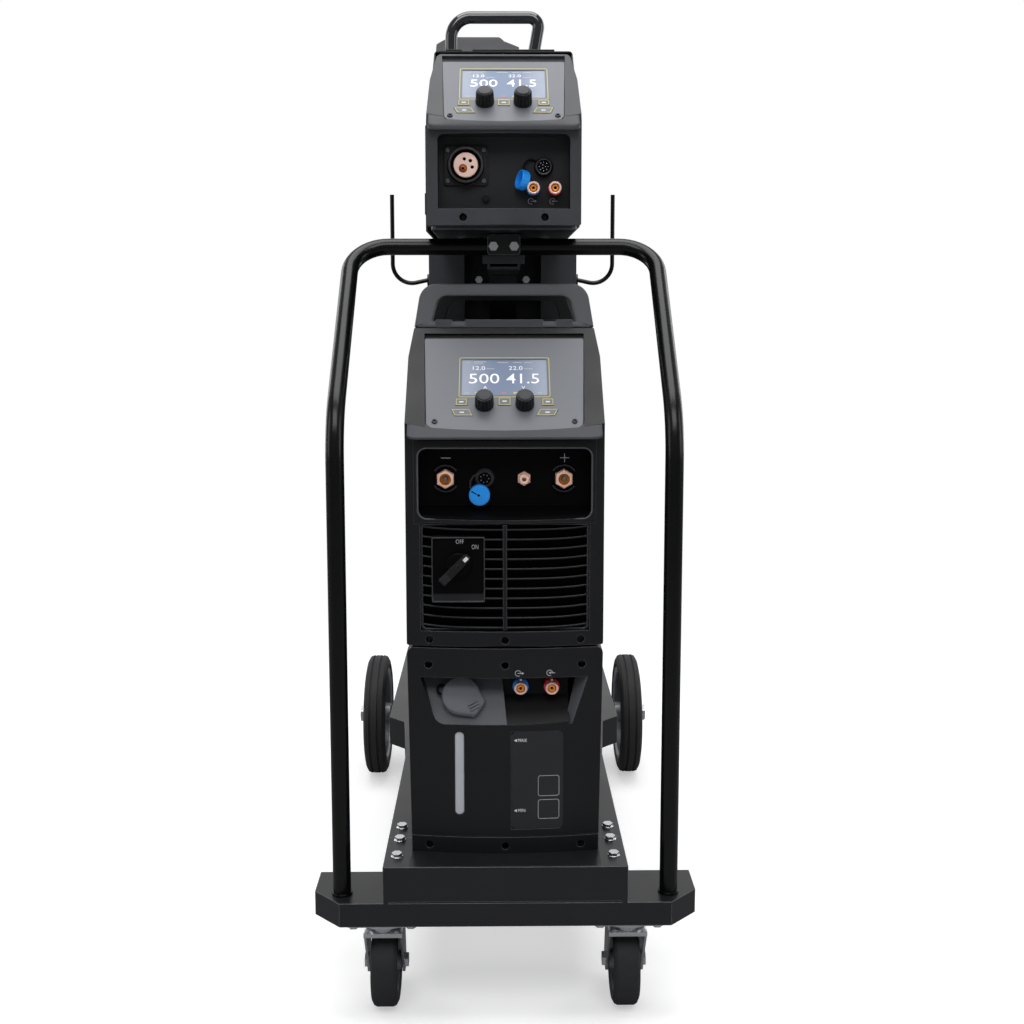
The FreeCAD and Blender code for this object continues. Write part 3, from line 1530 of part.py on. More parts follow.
def dust_cap(x, z, socket_x, socket_z, back_y, facing, stand_off):
    """Cap on its moulded strap, hanging from the ring round its socket."""
    strap_y = back_y - seat_gap
    ring_centre = Vector(socket_x, strap_y, socket_z)
    ring = rod(control_socket_radius + 2.5, ring_centre, ring_centre - Y_AXIS * strap_thickness)
    hole = rod(control_socket_radius + shaft_gap, ring_centre + Y_AXIS, ring_centre - Y_AXIS * 5)
    facing = Vector(*facing).normalize()
    depth = dust_cap_radius * math.sqrt(1 - facing.y ** 2) + dust_cap_height / 2 * abs(facing.y)
    centre = Vector(x, strap_y - stand_off - depth, z)
    half = facing * (dust_cap_height / 2)
    body = rod(dust_cap_radius, centre - half, centre + half)
    well = rod(dust_cap_radius - 2.5, centre - half * 0.7, centre + half * 1.1)
    neck = rod(strap_width / 2, Vector(x, strap_y, z), Vector(x, centre.y, z))
    strap = strap_between(socket_x, socket_z, x, z, strap_y)
    return fuse([ring, strap, body.cut(well), neck.cut(well)]).cut(hole)


def source_sockets():
    """Sockets in the bay: two for the weld cables, one for control, a gas nipple, and the dust cap."""
    back = source_bay_y
    z = source_z + socket_line
    solids = []
    for side in (-1, 1):
        solids += weld_socket(side * weld_socket_spacing / 2, back, z)
    solids.append(control_socket(control_socket_x, back, z))
    nipple = hexagon(17, 8, Vector(gas_nipple_x, back, z), Y_AXIS * -1)
    pipe = rod(5, Vector(gas_nipple_x, back - 20, z), Vector(gas_nipple_x, back - 7, z))
    bore = rod(2.5, Vector(gas_nipple_x, back - 21, z), Vector(gas_nipple_x, back - 2, z))
    solids.append(nipple.fuse(pipe).cut(bore))
    cap_place = (control_socket_x - 6, z - dust_cap_drop, control_socket_x, z, back)
    solids.append(dust_cap(*cap_place, (0, -1, 0), control_socket_length + 1))
    return Part.makeCompound(solids)


def source_housing():
    """Sheet cover and floor of the power source, with side slots."""
    edge = source_back_edge()
    back = machine_end_y - rear_bezel_depth
    roof = source_z + source_top - 12
    profile = [edge[0], edge[1], edge[2], (back, roof), (back, source_z)]
    inner_profile = [
        (edge[0][0] - 9, edge[0][1] + thin_sheet), (edge[1][0] - 9, edge[1][1] - 4),
        (edge[2][0] - 9, roof - thin_sheet),
        (back + 1, roof - thin_sheet), (back + 1, source_z + thin_sheet),
    ]
    half = machine_width / 2
    silhouette, corners = machine_silhouette(source_z, source_kink, source_top, False)
    outer = prism("x", profile, -half, half).common(prism("y", silhouette, 0, cart_length, corners))
    inner_points = mirrored([
        (half - thin_sheet, source_z), (half - thin_sheet, source_z + source_kink),
        (source_shoulder_width / 2 - thin_sheet, source_z + source_top),
    ])
    inner = prism("x", inner_profile, -half, half).common(prism("y", inner_points, 0, cart_length))
    slots = []
    for row in range(2):
        for i in range(7):
            y = machine_front_y + 300 + 32 * i
            z = source_z + 90 + 130 * row
            slots.append(box(-machine_width, machine_width, y, y + 12, z, z + 90))
    feet = [
        rod(source_foot_radius, Vector(side * source_foot_x, y, source_z - source_gap),
            Vector(side * source_foot_x, y, source_z + thin_sheet))
        for side in (-1, 1)
        for y in source_foot_y
    ]
    return outer.cut([inner] + slots).multiFuse(feet)


def rear_bezel():
    """Moulded back with handle arch, air grille, fan bracket and the inlets for mains, gas and leads."""
    y1 = machine_end_y
    y0 = y1 - rear_bezel_depth
    silhouette, corners = machine_silhouette(source_z, source_kink, source_top, True)
    body = prism("y", silhouette, y0, y1, corners)
    half = machine_width / 2
    inner_points = mirrored([
        (half - plastic_wall, source_z + 6), (half - plastic_wall, source_z + source_kink),
        (source_shoulder_width / 2 - plastic_wall - 2, source_z + source_top - 14),
    ])
    body = body.cut(prism("y", inner_points, y0 - 1, y1 - plastic_wall))
    cuts = [handle_opening(source_z + source_top, y0 - 1, y1 + 1)]
    fan_middle = source_z + fan_z
    for i in range(9):
        z = fan_middle - 76 + 18 * i
        reach = math.sqrt(max(fan_radius ** 2 - (z + 4 - fan_middle) ** 2, 0))
        cuts.append(box(-reach, reach, y1 - 10, y1 + 1, z, z + 9))
    body = body.cut(cuts)
    motor = rod(fan_hub_radius - 2, Vector(0, y0 + 12, fan_middle),
                Vector(0, y1 - plastic_wall + 1, fan_middle))
    shaft = rod(fan_shaft_radius, Vector(0, y0 - fan_depth + 8, fan_middle), Vector(0, y0 + 13, fan_middle))
    gland = rod(15, Vector(-85, y1 - 1, source_z + 70), Vector(-85, y1 + 18, source_z + 70))
    gland_nut = hexagon(34, 8, Vector(-85, y1 - 1, source_z + 70), Y_AXIS)
    gland_bore = rod(8, Vector(-85, y1 - 5, source_z + 70), Vector(-85, y1 + 20, source_z + 70))
    lead_socket = rod(17, Vector(0, y1 - 1, source_z + 70), Vector(0, y1 + 10, source_z + 70))
    lead_bore = rod(6.5, Vector(0, y1 - 2, source_z + 70), Vector(0, y1 + 12, source_z + 70))
    plug = rod(12, Vector(75, y1 - 1, source_z + 70), Vector(75, y1 + 9, source_z + 70))
    solid = fuse([body, motor, shaft, gland, gland_nut, lead_socket, plug])
    return solid.cut([gland_bore, lead_bore])


def cooling_fan():
    """Five-bladed fan on its shaft."""
    z = source_z + fan_z
    front = machine_end_y - rear_bezel_depth - fan_depth
    hub = rod(fan_hub_radius, Vector(0, front, z), Vector(0, front + fan_depth, z))
    bore = rod(fan_shaft_radius + shaft_gap, Vector(0, front + 5, z), Vector(0, front + fan_depth + 1, z))
    blades = []
    for i in range(fan_blades):
        blade = box(-17, 17, -1, 1, fan_hub_radius - 4, fan_radius - 4)
        blade.rotate(Vector(), Z_AXIS, 32)
        blade.rotate(Vector(), Y_AXIS, 360 * i / fan_blades)
        blade.translate(Vector(0, front + fan_depth / 2, z))
        blades.append(blade)
    return fuse([hub] + blades).cut(bore)


def inverter_block():
    """Power module: finned heat sink on its board, with transformer and choke."""
    low = source_z + thin_sheet
    start = machine_front_y + board_start
    end = start + board_length
    top = low + board_thickness
    base = box(-board_width / 2, board_width / 2, start, end, low, top)
    fins = [
        box(-board_width / 2 + fin_pitch * i, -board_width / 2 + fin_pitch * i + fin_thickness,
            start + fin_thickness, start + fin_length, top - 1, top + fin_height)
        for i in range(fin_count)
    ]
    transformer = box(transformer_x, transformer_x + transformer_width, start + fin_pitch,
                      start + transformer_length,
                      top - 1, top + transformer_height)
    choke_y = end - choke_radius - fin_pitch
    choke_x = transformer_x + choke_radius
    choke = rod(choke_radius, Vector(choke_x, choke_y, top - 1),
                Vector(choke_x, choke_y, top + transformer_height))
    capacitors = [
        rod(capacitor_radius, Vector(x, choke_y, top - 1), Vector(x, choke_y, top + fin_height))
        for x in (-board_width / 2 + 1.5 * capacitor_radius, -board_width / 2 + 4 * capacitor_radius)
    ]
    return fuse([base, transformer, choke] + fins + capacitors)


# Wire feeder

def feeder_silhouette(inset):
    """The feeder seen from the front."""
    half = feeder_width / 2 - inset
    shoulder = feeder_shoulder_width / 2 - inset
    z0 = feeder_bottom_z
    return mirrored([(half, z0 + inset), (half, z0 + feeder_panel_z), (half - 3, z0 + feeder_kink),
                     (shoulder, z0 + feeder_top - inset)])


def feeder_back_edge():
    """The line along which the feeder's bezel meets its housing, in (y, z)."""
    y0 = feeder_front_y
    z0 = feeder_bottom_z
    return [(y0 + 46, z0), (y0 + 46, z0 + feeder_panel_z - 10), (y0 + 122, z0 + feeder_top)]


def feeder_bezel():
    """Moulded front of the feeder with panel slope and connector bay."""
    y0 = feeder_front_y
    z0 = feeder_bottom_z
    slope_y = y0 + (feeder_top - feeder_panel_z) * math.tan(math.radians(console_lean))
    edge = feeder_back_edge()
    profile = [(y0, z0), (y0, z0 + feeder_panel_z), (slope_y, z0 + feeder_top), edge[2], edge[1], edge[0]]
    half = feeder_width / 2
    body = prism("x", profile, -half, half, [2, 6, 3, 0, 0, 0])
    body = body.common(prism("y", feeder_silhouette(0), y0, y0 + 200, [3, 0, 30, 9, 9, 30, 0, 3]))
    body = body.common(bowed_plan(y0, y0 + 200, half))
    wall = plastic_wall
    inner_front = y0 + front_bow + wall
    cavity_profile = [
        (inner_front, z0 + wall), (inner_front, z0 + feeder_panel_z - 8),
        (slope_y + 2, z0 + feeder_top - 14),
        (y0 + 200, z0 + feeder_top - 14), (y0 + 200, z0 + wall),
    ]
    cavity = prism("x", cavity_profile, -half, half).common(prism("y", feeder_silhouette(wall), y0,
                                                                  y0 + 200))
    console = feeder_console()
    panel_bed = console.slab(6.0, feeder_recess_length + 3, -panel_sink - panel_thickness - 3.0, -0.5)
    bay = bay_block(y0, z0, 0)
    bay_box = bay_block(y0, z0, bay_wall)
    strip = box(-half, half, y0, inner_front + 1, z0, z0 + feeder_bay_bottom)
    solids = fuse([body.cut(cavity), bay_box.common(body), panel_bed.common(body), strip.common(body)])
    screws = screw_recesses([(x, z0 + 11) for x in (-58, 58)], y0)
    stem_hole = rod(torch_stem_radius + shaft_gap, Vector(wire_x, feeder_bay_y - 1, wire_z),
                    Vector(wire_x, feeder_bay_y + 9, wire_z))
    return solids.cut([bay, stem_hole, button_hole(), console_recess(console)] + screws)


def bay_block(y0, z0, wall):
    """The feeder's connector bay."""
    half = feeder_bay_width / 2 + wall
    low = z0 + feeder_bay_bottom - (wall if wall else 0)
    high = z0 + feeder_bay_top + wall
    return prism("y", [(-half, low), (half, low), (half, high), (-half, high)],
                 y0 - cut_over, y0 + feeder_bay_depth + wall, [0, 0, 9, 9])


def torch_socket():
    """Flange, collar and brass face of the torch connector, with its wire tube."""
    back = feeder_bay_y
    centre_z = feeder_bottom_z + torch_z
    wall = Vector(torch_x, back, centre_z)
    wire = Vector(wire_x, back, wire_z)
    out = Y_AXIS * -1
    half_x = torch_flange_width / 2
    half_z = torch_flange_height / 2
    flange = prism("y", [
        (torch_x - half_x, centre_z - half_z), (torch_x + half_x, centre_z - half_z),
        (torch_x + half_x, centre_z + half_z), (torch_x - half_x, centre_z + half_z),
    ], back - 4, back, 5.0)
    collar = rod(torch_ring_radius, wall, wall + out * 16)
    well = rod(torch_brass_radius + 1.5, wall + out * 5, wall + out * 17)
    seat = rod(torch_brass_radius, wall - out, wall + out * 6)
    screws = [
        rod(2.5, wall + Vector(i * 26, 0, j * 22) + out * 4, wall + Vector(i * 26, 0, j * 22) + out * 6)
        for i in (-1, 1)
        for j in (-1, 1)
    ]
    shell = flange.fuse(collar).cut([well, seat]).multiFuse(screws)
    face = rod(torch_brass_radius, wall, wall + out * 12)
    nose = rod(torch_brass_radius * 0.3, wire + out * 11, wire + out * 16)
    stem = rod(torch_stem_radius, wire + out, wire - out * torch_stem_length)
    bore = rod(torch_bore, wire - out * (torch_stem_length + 1), wire + out * 17)
    pins = [
        rod(2, wall + Vector(dx, 0, dz) + out * 8, wall + Vector(dx, 0, dz) + out * 13)
        for dx, dz in ((-2, 9), (7, 6), (9, -3))
    ]
    core = fuse([face, nose, stem]).cut([bore] + pins)
    return Part.makeCompound([shell, core])


def feeder_fittings():
    """Control socket with its cap, and the two coolant couplings."""
    back = feeder_bay_y
    z0 = feeder_bottom_z
    solids = [
        control_socket(feeder_control_x, back, z0 + feeder_control_rise),
        dust_cap(feeder_control_x - hung_cap_across, z0 + feeder_control_rise - hung_cap_drop,
                 feeder_control_x,
                 z0 + feeder_control_rise, back, (-1, -0.35, 0.3), 0.0),
    ]
    for x, length in feeder_couplings:
        solids.append(coupling(x, back, z0 + feeder_coupling_rise, length, feeder_coupling_radius))
    return Part.makeCompound(solids)


def gas_button():
    """Small sprung push button for gas test and wire inching, with its snap collar."""
    start = Vector(button_x, feeder_bay_y - button_travel - seat_gap, feeder_bottom_z + button_rise)
    head = rod(button_radius, start - Y_AXIS * button_head, start)
    collar_start = Vector(start.x, feeder_bay_y + bay_wall + seat_gap, start.z)
    stem = rod(button_stem_radius, start - Y_AXIS, collar_start + Y_AXIS * 2)
    collar = rod(button_radius, collar_start, collar_start + Y_AXIS * 2)
    return fuse([head, stem, collar])


def button_hole():
    """The hole that guides the gas test button."""
    start = Vector(button_x, feeder_bay_y - 1, feeder_bottom_z + button_rise)
    return rod(button_stem_radius + shaft_gap, start, start + Y_AXIS * (bay_wall + 2))


def feeder_base():
    """Steel base plate of the feeder with the boss that turns on the pivot pin."""
    top = feeder_bottom_z
    half = feeder_base_width / 2
    plate = prism("z", [
        (-half, feeder_front_y + feeder_base_inset), (half, feeder_front_y + feeder_base_inset),
        (half, feeder_end_y - feeder_base_inset), (-half, feeder_end_y - feeder_base_inset),
    ], top - feeder_base_thickness, top, 12.0)
    boss = rod(swivel_boss_radius, Vector(0, swivel_y, plate_top_z + seat_gap), Vector(0, swivel_y, top))
    bore = rod(swivel_pin_radius + shaft_gap, Vector(0, swivel_y, plate_top_z),
               Vector(0, swivel_y, top + 1))
    return plate.fuse(boss).cut(bore)


def hinge_z():
    """Height of the door hinge above the roof."""
    return feeder_bottom_z + feeder_roof + hinge_rise


def feeder_housing():
    """Sheet body of the feeder: floor, roof, right side, back and middle wall; the left side is open."""
    z0 = feeder_bottom_z
    roof = z0 + feeder_roof
    half = feeder_width / 2
    edge = feeder_back_edge()
    profile = [edge[0], edge[1], edge[2], (edge[2][0], roof), (feeder_end_y, roof), (feeder_end_y, z0)]
    silhouette = mirrored([(half, z0), (half, z0 + feeder_panel_z), (half - feeder_lean, roof)])
    inner_silhouette = mirrored([
        (half - thin_sheet, z0 + thin_sheet), (half - thin_sheet, z0 + feeder_panel_z),
        (half - feeder_lean - thin_sheet, roof - thin_sheet),
    ])
    outer = prism("x", profile, -half, half).common(prism("y", silhouette, 0, cart_length,
                                                          [0, 0, 6, 6, 0, 0]))
    inner = prism("y", inner_silhouette, 0, feeder_end_y - thin_sheet)
    shell = outer.cut(inner)
    wall = prism("x", [
        (edge[0][0] + 1, z0 + 1), (edge[1][0] + 1, edge[1][1]), (edge[2][0] + 1, edge[2][1] - 1),
        (edge[2][0] + 2, roof - 1), (feeder_end_y - 1, roof - 1), (feeder_end_y - 1, z0 + 1),
    ], middle_wall_x, middle_wall_x + thin_sheet)
    rim = 12.0
    side_opening = box(-half - 1, -half + rim, door_front_y + 40, feeder_end_y - rim, z0 + 9,
                       z0 + feeder_panel_z - 6)
    rear_opening = box(-half - 1, -half + 30, door_roof_y + 8, feeder_end_y - rim, z0 + 9, roof + 1)
    roof_opening = box(-half - 1, hinge_x - 10, door_roof_y + 8, feeder_end_y - rim, roof - 5, roof + 1)
    pin_room = rod(swivel_pin_radius + 5, Vector(0, swivel_y, z0 - 1),
                   Vector(0, swivel_y, z0 + pin_rise + 6))
    spindle_start = Vector(middle_wall_x + 1, spool_y, spool_z)
    spindle_end_x = spool_x - spool_width / 2 - seat_gap
    nut_start = Vector(spindle_end_x, spool_y, spool_z)
    spindle = rod(spool_bore_radius - shaft_gap, spindle_start, nut_start)
    nut = rod(spool_nut_radius, nut_start, nut_start - X_AXIS * spool_nut_thickness)
    roll_z = wire_z - drive_roll_radius
    motor_hole = rod(14.0, Vector(middle_wall_x - 5, drive_roll_y, roll_z),
                     Vector(middle_wall_x + 5, drive_roll_y, roll_z))
    lugs = []
    pin_z = hinge_z()
    for y in hinge_lug_places:
        lugs.append(box(hinge_x - hinge_knuckle_radius, hinge_x + hinge_knuckle_radius, y, y + hinge_lug,
                        roof - 1, pin_z))
        lugs.append(rod(hinge_knuckle_radius, Vector(hinge_x, y, pin_z),
                        Vector(hinge_x, y + hinge_lug, pin_z)))
    pin = rod(hinge_pin_radius, Vector(hinge_x, hinge_lug_places[0] + 1, pin_z),
              Vector(hinge_x, hinge_lug_places[1] + 1, pin_z))
    body = fuse([shell, wall]).cut([side_opening, rear_opening, roof_opening])
    return fuse([body, spindle, nut, pin] + lugs).cut([motor_hole, pin_room])


def hump(grow):
    """The round hood over the spool, made smaller by a wall."""
    radius = hood_radius - grow
    drum = rod(radius, Vector(-feeder_width / 2, spool_y, spool_z), Vector(hinge_x, spool_y, spool_z))
    left = -feeder_width / 2 + 2 + grow
    right = hinge_x - hinge_knuckle_radius - 2 - grow
    top = spool_z + radius
    roof = feeder_bottom_z + feeder_roof
    outline = [
        (left, roof - 60), (right, roof - 60), (right, top - 34), (right - 24, top - 20),
        (right - 36, top + 1),
        (left + 32, top + 1), (left + 10, top - 18), (left, top - 28),
    ]
    return drum.common(prism("y", outline, 0, cart_length))


def feeder_door():
    """Side door and roof hood in one moulding, turning on the hinge along the roof."""
    z0 = feeder_bottom_z
    roof = z0 + feeder_roof
    inner_x = -feeder_width / 2 - seat_gap
    outer_x = inner_x - door_wall
    low = z0 - door_drop
    end_y = feeder_end_y - 4
    lid_z = roof + seat_gap
    side = box(outer_x, inner_x, door_front_y + 25, end_y, low, z0 + feeder_panel_z)
    lean = prism("y", [
        (outer_x, z0 + feeder_panel_z - 1), (inner_x, z0 + feeder_panel_z - 1),
        (inner_x + feeder_lean, lid_z),
        (inner_x + feeder_lean, lid_z + door_wall), (outer_x + feeder_lean, lid_z + door_wall),
    ], door_roof_y, end_y)
    lid_right = hinge_x - hinge_knuckle_radius - 2
    lid = box(inner_x + feeder_lean - 1, lid_right, door_roof_y, end_y, lid_z, lid_z + door_wall)
    hood = hump(0).common(box(outer_x, hinge_x, 0, cart_length, lid_z, lid_z + 2 * hood_radius))
    pin_z = hinge_z()
    knuckles = []
    for y in hinge_knuckle_places:
        start = Vector(hinge_x, y, pin_z)
        knuckles.append(rod(hinge_knuckle_radius, start, start + Y_AXIS * hinge_knuckle))
        knuckles.append(box(lid_right - 4, hinge_x, y, y + hinge_knuckle, roof + 1.0,
                            roof + 1.0 + door_wall))
    pin_bore = rod(hinge_pin_radius + shaft_gap, Vector(hinge_x, hinge_lug_places[0], pin_z),
                   Vector(hinge_x, hinge_lug_places[1], pin_z))
    grips = [
        box(outer_x - door_grip, outer_x + 1, y, y + 42, z0 + 20, z0 + 50)
        for y in (door_front_y + 45, end_y - 90)
    ]
    return fuse([side, lean, lid, hood] + knuckles + grips).cut([hump(door_wall), pin_bore])


def feeder_handle():
    """Bent tube with its foot plates on the roof."""
    roof = feeder_bottom_z + feeder_roof
    bar_z = roof + handle_rise
    path = tube_path([
        Vector(handle_left_x, handle_y, roof + 1), Vector(handle_left_x, handle_y, bar_z),
        Vector(handle_right_x + handle_overhang, handle_y, bar_z),
        Vector(handle_right_x, handle_y, roof + 1),
    ], [handle_corner, handle_tight_corner])
    bar = swept_bar(path, handle_tube_radius)
    bar = bar.common(box(-feeder_width, feeder_width, 0, cart_length, roof, bar_z + 100))
    left_foot = box(handle_left_x - 8, handle_left_x + 16, handle_y - 14, handle_y + 20, roof,
                    roof + handle_foot)
    right_foot = box(handle_right_x - 92, handle_right_x + 30, handle_y - 14, handle_y + 20, roof,
                     roof + handle_foot)
    return fuse([bar, left_foot, right_foot])


def wire_spool():
    """Open spool: hub, thin web, the wound wire as one ring and the two side rings."""
    half = spool_width / 2
    hub = [(half, spool_bore_radius), (half, spool_hub_radius), (1.5, spool_hub_radius),
           (1.5, spool_core_radius),
           (half - spool_flange, spool_core_radius)]
    rim = [(half - spool_flange, wound_radius), (half - spool_flange, spool_radius), (half, spool_radius),
           (half, spool_core_radius - 4), (half - spool_flange - 1, spool_core_radius - 4)]
    outline = hub[:4] + [(half - spool_flange - 1, spool_core_radius), rim[4], rim[3], rim[2], rim[1],
                         rim[0]]
    outline += [(-x, r) for x, r in reversed(outline)]
    return turned_about_x(outline, spool_x, spool_y, spool_z)


def wire_drive():
    """Drive plate, wire guides, roll shaft and motor."""
    wall = middle_wall_x
    plate = box(wall - 9, wall, drive_roll_y - 70, drive_roll_y + 45, wire_z - 52, wire_z + 52)
    shaft_z = wire_z - drive_roll_radius - wire_radius
    shaft = rod(drive_shaft_radius, Vector(wall - 8, drive_roll_y, shaft_z),
                Vector(wire_x - 10, drive_roll_y, shaft_z))
    coupling_rod = rod(12, Vector(wall - 1, drive_roll_y, shaft_z), Vector(wall + 6, drive_roll_y, shaft_z))
    motor = rod(31, Vector(wall + 5, drive_roll_y, shaft_z), Vector(wall + 95, drive_roll_y, shaft_z))
    guide_in = rod(4, Vector(wire_x, drive_roll_y + 22, wire_z), Vector(wire_x, drive_roll_y + 44, wire_z))
    guide_out_end = feeder_bay_y + torch_stem_length
    guide_out = rod(4, Vector(wire_x, guide_out_end, wire_z), Vector(wire_x, drive_roll_y - 20, wire_z))
    arms = [
        box(wire_x - 4, wall - 8, drive_roll_y + 26, drive_roll_y + 40, wire_z - 4, wire_z + 4),
        box(wire_x - 4, wall - 8, drive_roll_y - 44, drive_roll_y - 30, wire_z - 4, wire_z + 4),
    ]
    arm_pin = rod(4, Vector(wall - 8, arm_pivot_y, wire_z + arm_pivot_rise),
                  Vector(wire_x - 8, arm_pivot_y, wire_z + arm_pivot_rise))
    bores = [rod(1.2, Vector(wire_x, guide_out_end - 1, wire_z), Vector(wire_x, drive_roll_y + 50, wire_z))]
    return fuse([plate, shaft, coupling_rod, motor, guide_in, guide_out, arm_pin] + arms).cut(bores)


def drive_roll():
    """Driven roll with its wire groove."""
    half = drive_roll_width / 2
    outline = [
        (half, drive_shaft_radius + shaft_gap), (half, drive_roll_radius), (1.2, drive_roll_radius),
        (0, drive_roll_radius - wire_radius), (-1.2, drive_roll_radius), (-half, drive_roll_radius),
        (-half, drive_shaft_radius + shaft_gap),
    ]
    return turned_about_x(outline, wire_x, drive_roll_y, wire_z - drive_roll_radius - wire_radius)


def pressure_arm():
    """Arm with the counter roll and the pressure handle."""
    pivot_z = wire_z + arm_pivot_rise
    roll_z = wire_z + drive_roll_radius + wire_radius
    x0 = wire_x + 8
    x1 = wire_x + 14
    outline = [
        (arm_pivot_y - 9, pivot_z - 8), (drive_roll_y, roll_z - 10), (drive_roll_y + 34, roll_z + 2),
        (drive_roll_y + 34, roll_z + 16), (arm_pivot_y - 9, pivot_z + 9),
    ]
    arm = prism("x", outline, x0, x1, 4.0)
    barrel = rod(9, Vector(wire_x - 6, arm_pivot_y, pivot_z), Vector(x1, arm_pivot_y, pivot_z))
    axle = rod(5, Vector(wire_x - 7, drive_roll_y, roll_z), Vector(x0 + 1, drive_roll_y, roll_z))
    half = drive_roll_width / 2
    roll = rod(drive_roll_radius, Vector(wire_x - half, drive_roll_y, roll_z),
               Vector(wire_x + half, drive_roll_y, roll_z))
    grip_stem = rod(4, Vector(x0 + 3, drive_roll_y + 28, roll_z + 10),
                    Vector(x0 + 3, drive_roll_y + 28, roll_z + 30))
    grip = rod(9, Vector(x0 + 3, drive_roll_y + 28, roll_z + 28),
               Vector(x0 + 3, drive_roll_y + 28, roll_z + 58))
    bore = rod(4 + shaft_gap, Vector(wire_x - 20, arm_pivot_y, pivot_z),
               Vector(x1 + 1, arm_pivot_y, pivot_z))
    return fuse([arm, barrel, axle, roll, grip_stem, grip]).cut(bore)


def main():
    """Builds and writes every piece."""
    os.makedirs("parts", exist_ok=True)
    save("front_bumper", front_bumper())
    save("machine_tray", machine_tray())
    save("bottle_platform", bottle_platform())
    save("rear_axle", rear_axle())
    save("column", column())
    save("feeder_beam", feeder_beam())
    save("push_hoop", push_hoop())
    save("hoop_clamp", hoop_clamp())
    save("cable_hooks", Part.makeCompound([cable_hook(-1), cable_hook(1)]))
    save("frame_bolts", frame_bolts())
    save("caster_plates", caster_plates())
    for name, side in (("left", -1), ("right", 1)):
        save("caster_fork_" + name, Part.makeCompound([caster_fork(side), caster_axle(side)]))
        save("caster_tyre_" + name, caster_tyre(side))
        save("caster_hub_" + name, caster_hub(side))
        save("rear_tyre_" + name, rear_tyre(side))
        save("rear_rim_" + name, rear_rim(side))
    save("cooler_housing", cooler_housing())
    save("cooler_front", cooler_front())
    save("coolant_tank", coolant_tank())
    save("coolant_pump", coolant_pump())
    save("filler_cap", filler_cap())
    save("coolant_fittings", coolant_fittings())
    save("source_housing", source_housing())
    save("source_bezel", source_bezel())
    save("source_bay", source_bay())
    save("source_handle", source_handle())
    save("louvre_grille", louvre_grille())
    save("switch_plate", switch_plate())
    save("power_switch", power_switch())
    save("source_sockets", source_sockets())
    save("rear_bezel", rear_bezel())
    save("cooling_fan", cooling_fan())
    save("inverter_block", inverter_block())
    for prefix, console in (("source", source_console()), ("feeder", feeder_console())):
        save(prefix + "_panel", control_panel(console))
        save(prefix + "_display", display(console))
        save(prefix + "_keypad", keypad(console))
        save(prefix + "_knob_left", knob(console, 0))
        save(prefix + "_knob_right", knob(console, 1))
    save("feeder_base", feeder_base())
    save("feeder_housing", feeder_housing())
    save("feeder_bezel", feeder_bezel())
    save("torch_socket", torch_socket())
    save("feeder_fittings", feeder_fittings())
    save("gas_button", gas_button())
    save("feeder_handle", feeder_handle())
    save("feeder_door", feeder_door())
    save("wire_spool", wire_spool())
    save("wire_drive", wire_drive())
    save("drive_roll", drive_roll())
    save("pressure_arm", pressure_arm())


main()
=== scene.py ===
import json
import logging
import math
from collections.abc import Callable, Sequence
from dataclasses import dataclass, field, replace
from enum import Enum

import bmesh
import bpy
from mathutils import Matrix, Vector

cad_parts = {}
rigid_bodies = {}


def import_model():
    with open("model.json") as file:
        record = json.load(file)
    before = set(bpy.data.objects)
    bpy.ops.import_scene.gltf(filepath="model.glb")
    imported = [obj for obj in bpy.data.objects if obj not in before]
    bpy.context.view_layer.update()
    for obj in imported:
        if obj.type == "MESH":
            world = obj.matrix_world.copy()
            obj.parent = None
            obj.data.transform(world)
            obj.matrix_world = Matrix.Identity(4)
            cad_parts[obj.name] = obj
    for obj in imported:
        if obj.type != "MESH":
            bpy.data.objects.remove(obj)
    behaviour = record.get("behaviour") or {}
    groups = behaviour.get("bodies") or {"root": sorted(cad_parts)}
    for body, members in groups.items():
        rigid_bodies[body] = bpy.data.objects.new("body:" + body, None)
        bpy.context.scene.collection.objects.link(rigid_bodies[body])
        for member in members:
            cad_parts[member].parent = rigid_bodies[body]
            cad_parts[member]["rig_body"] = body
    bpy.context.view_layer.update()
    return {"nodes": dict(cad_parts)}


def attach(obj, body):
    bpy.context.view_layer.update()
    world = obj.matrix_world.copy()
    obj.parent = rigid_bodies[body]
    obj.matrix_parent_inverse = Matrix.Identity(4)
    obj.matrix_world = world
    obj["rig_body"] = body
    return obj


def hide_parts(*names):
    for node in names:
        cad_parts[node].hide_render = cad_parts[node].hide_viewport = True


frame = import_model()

# Wire welding machine on its cart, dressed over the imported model. Lengths here are millimetres,
# with Y counted from the bumper's face, and at() turns them into the frame's metres.

LOG = logging.getLogger("welder")
MIDDLE_Y = 565.0
MILLI = 1000.0
FRONT = (0.0, -1.0, 0.0)

Point = tuple[float, float]
Place = tuple[float, float, float]
Level = tuple[Sequence[Point], float]
Rule = Callable[[Vector, Vector], int]
Value = float | tuple | bpy.types.NodeSocket


def at(x: float, y: float, z: float) -> Vector:
    """A place of the machine in the frame's metres."""
    return Vector((x, y - MIDDLE_Y, z)) / MILLI


def srgb(code: str) -> tuple[float, float, float, float]:
    """Turns a hex colour into linear values.

    Args:
        code: a colour such as "#2b2c30".

    Returns:
        Linear red, green, blue and an alpha of 1.
    """
    parts = [int(code[i:i + 2], 16) / 255.0 for i in (1, 3, 5)]
    linear = [p / 12.92 if p <= 0.04045 else ((p + 0.055) / 1.055) ** 2.4 for p in parts]
    return (linear[0], linear[1], linear[2], 1.0)


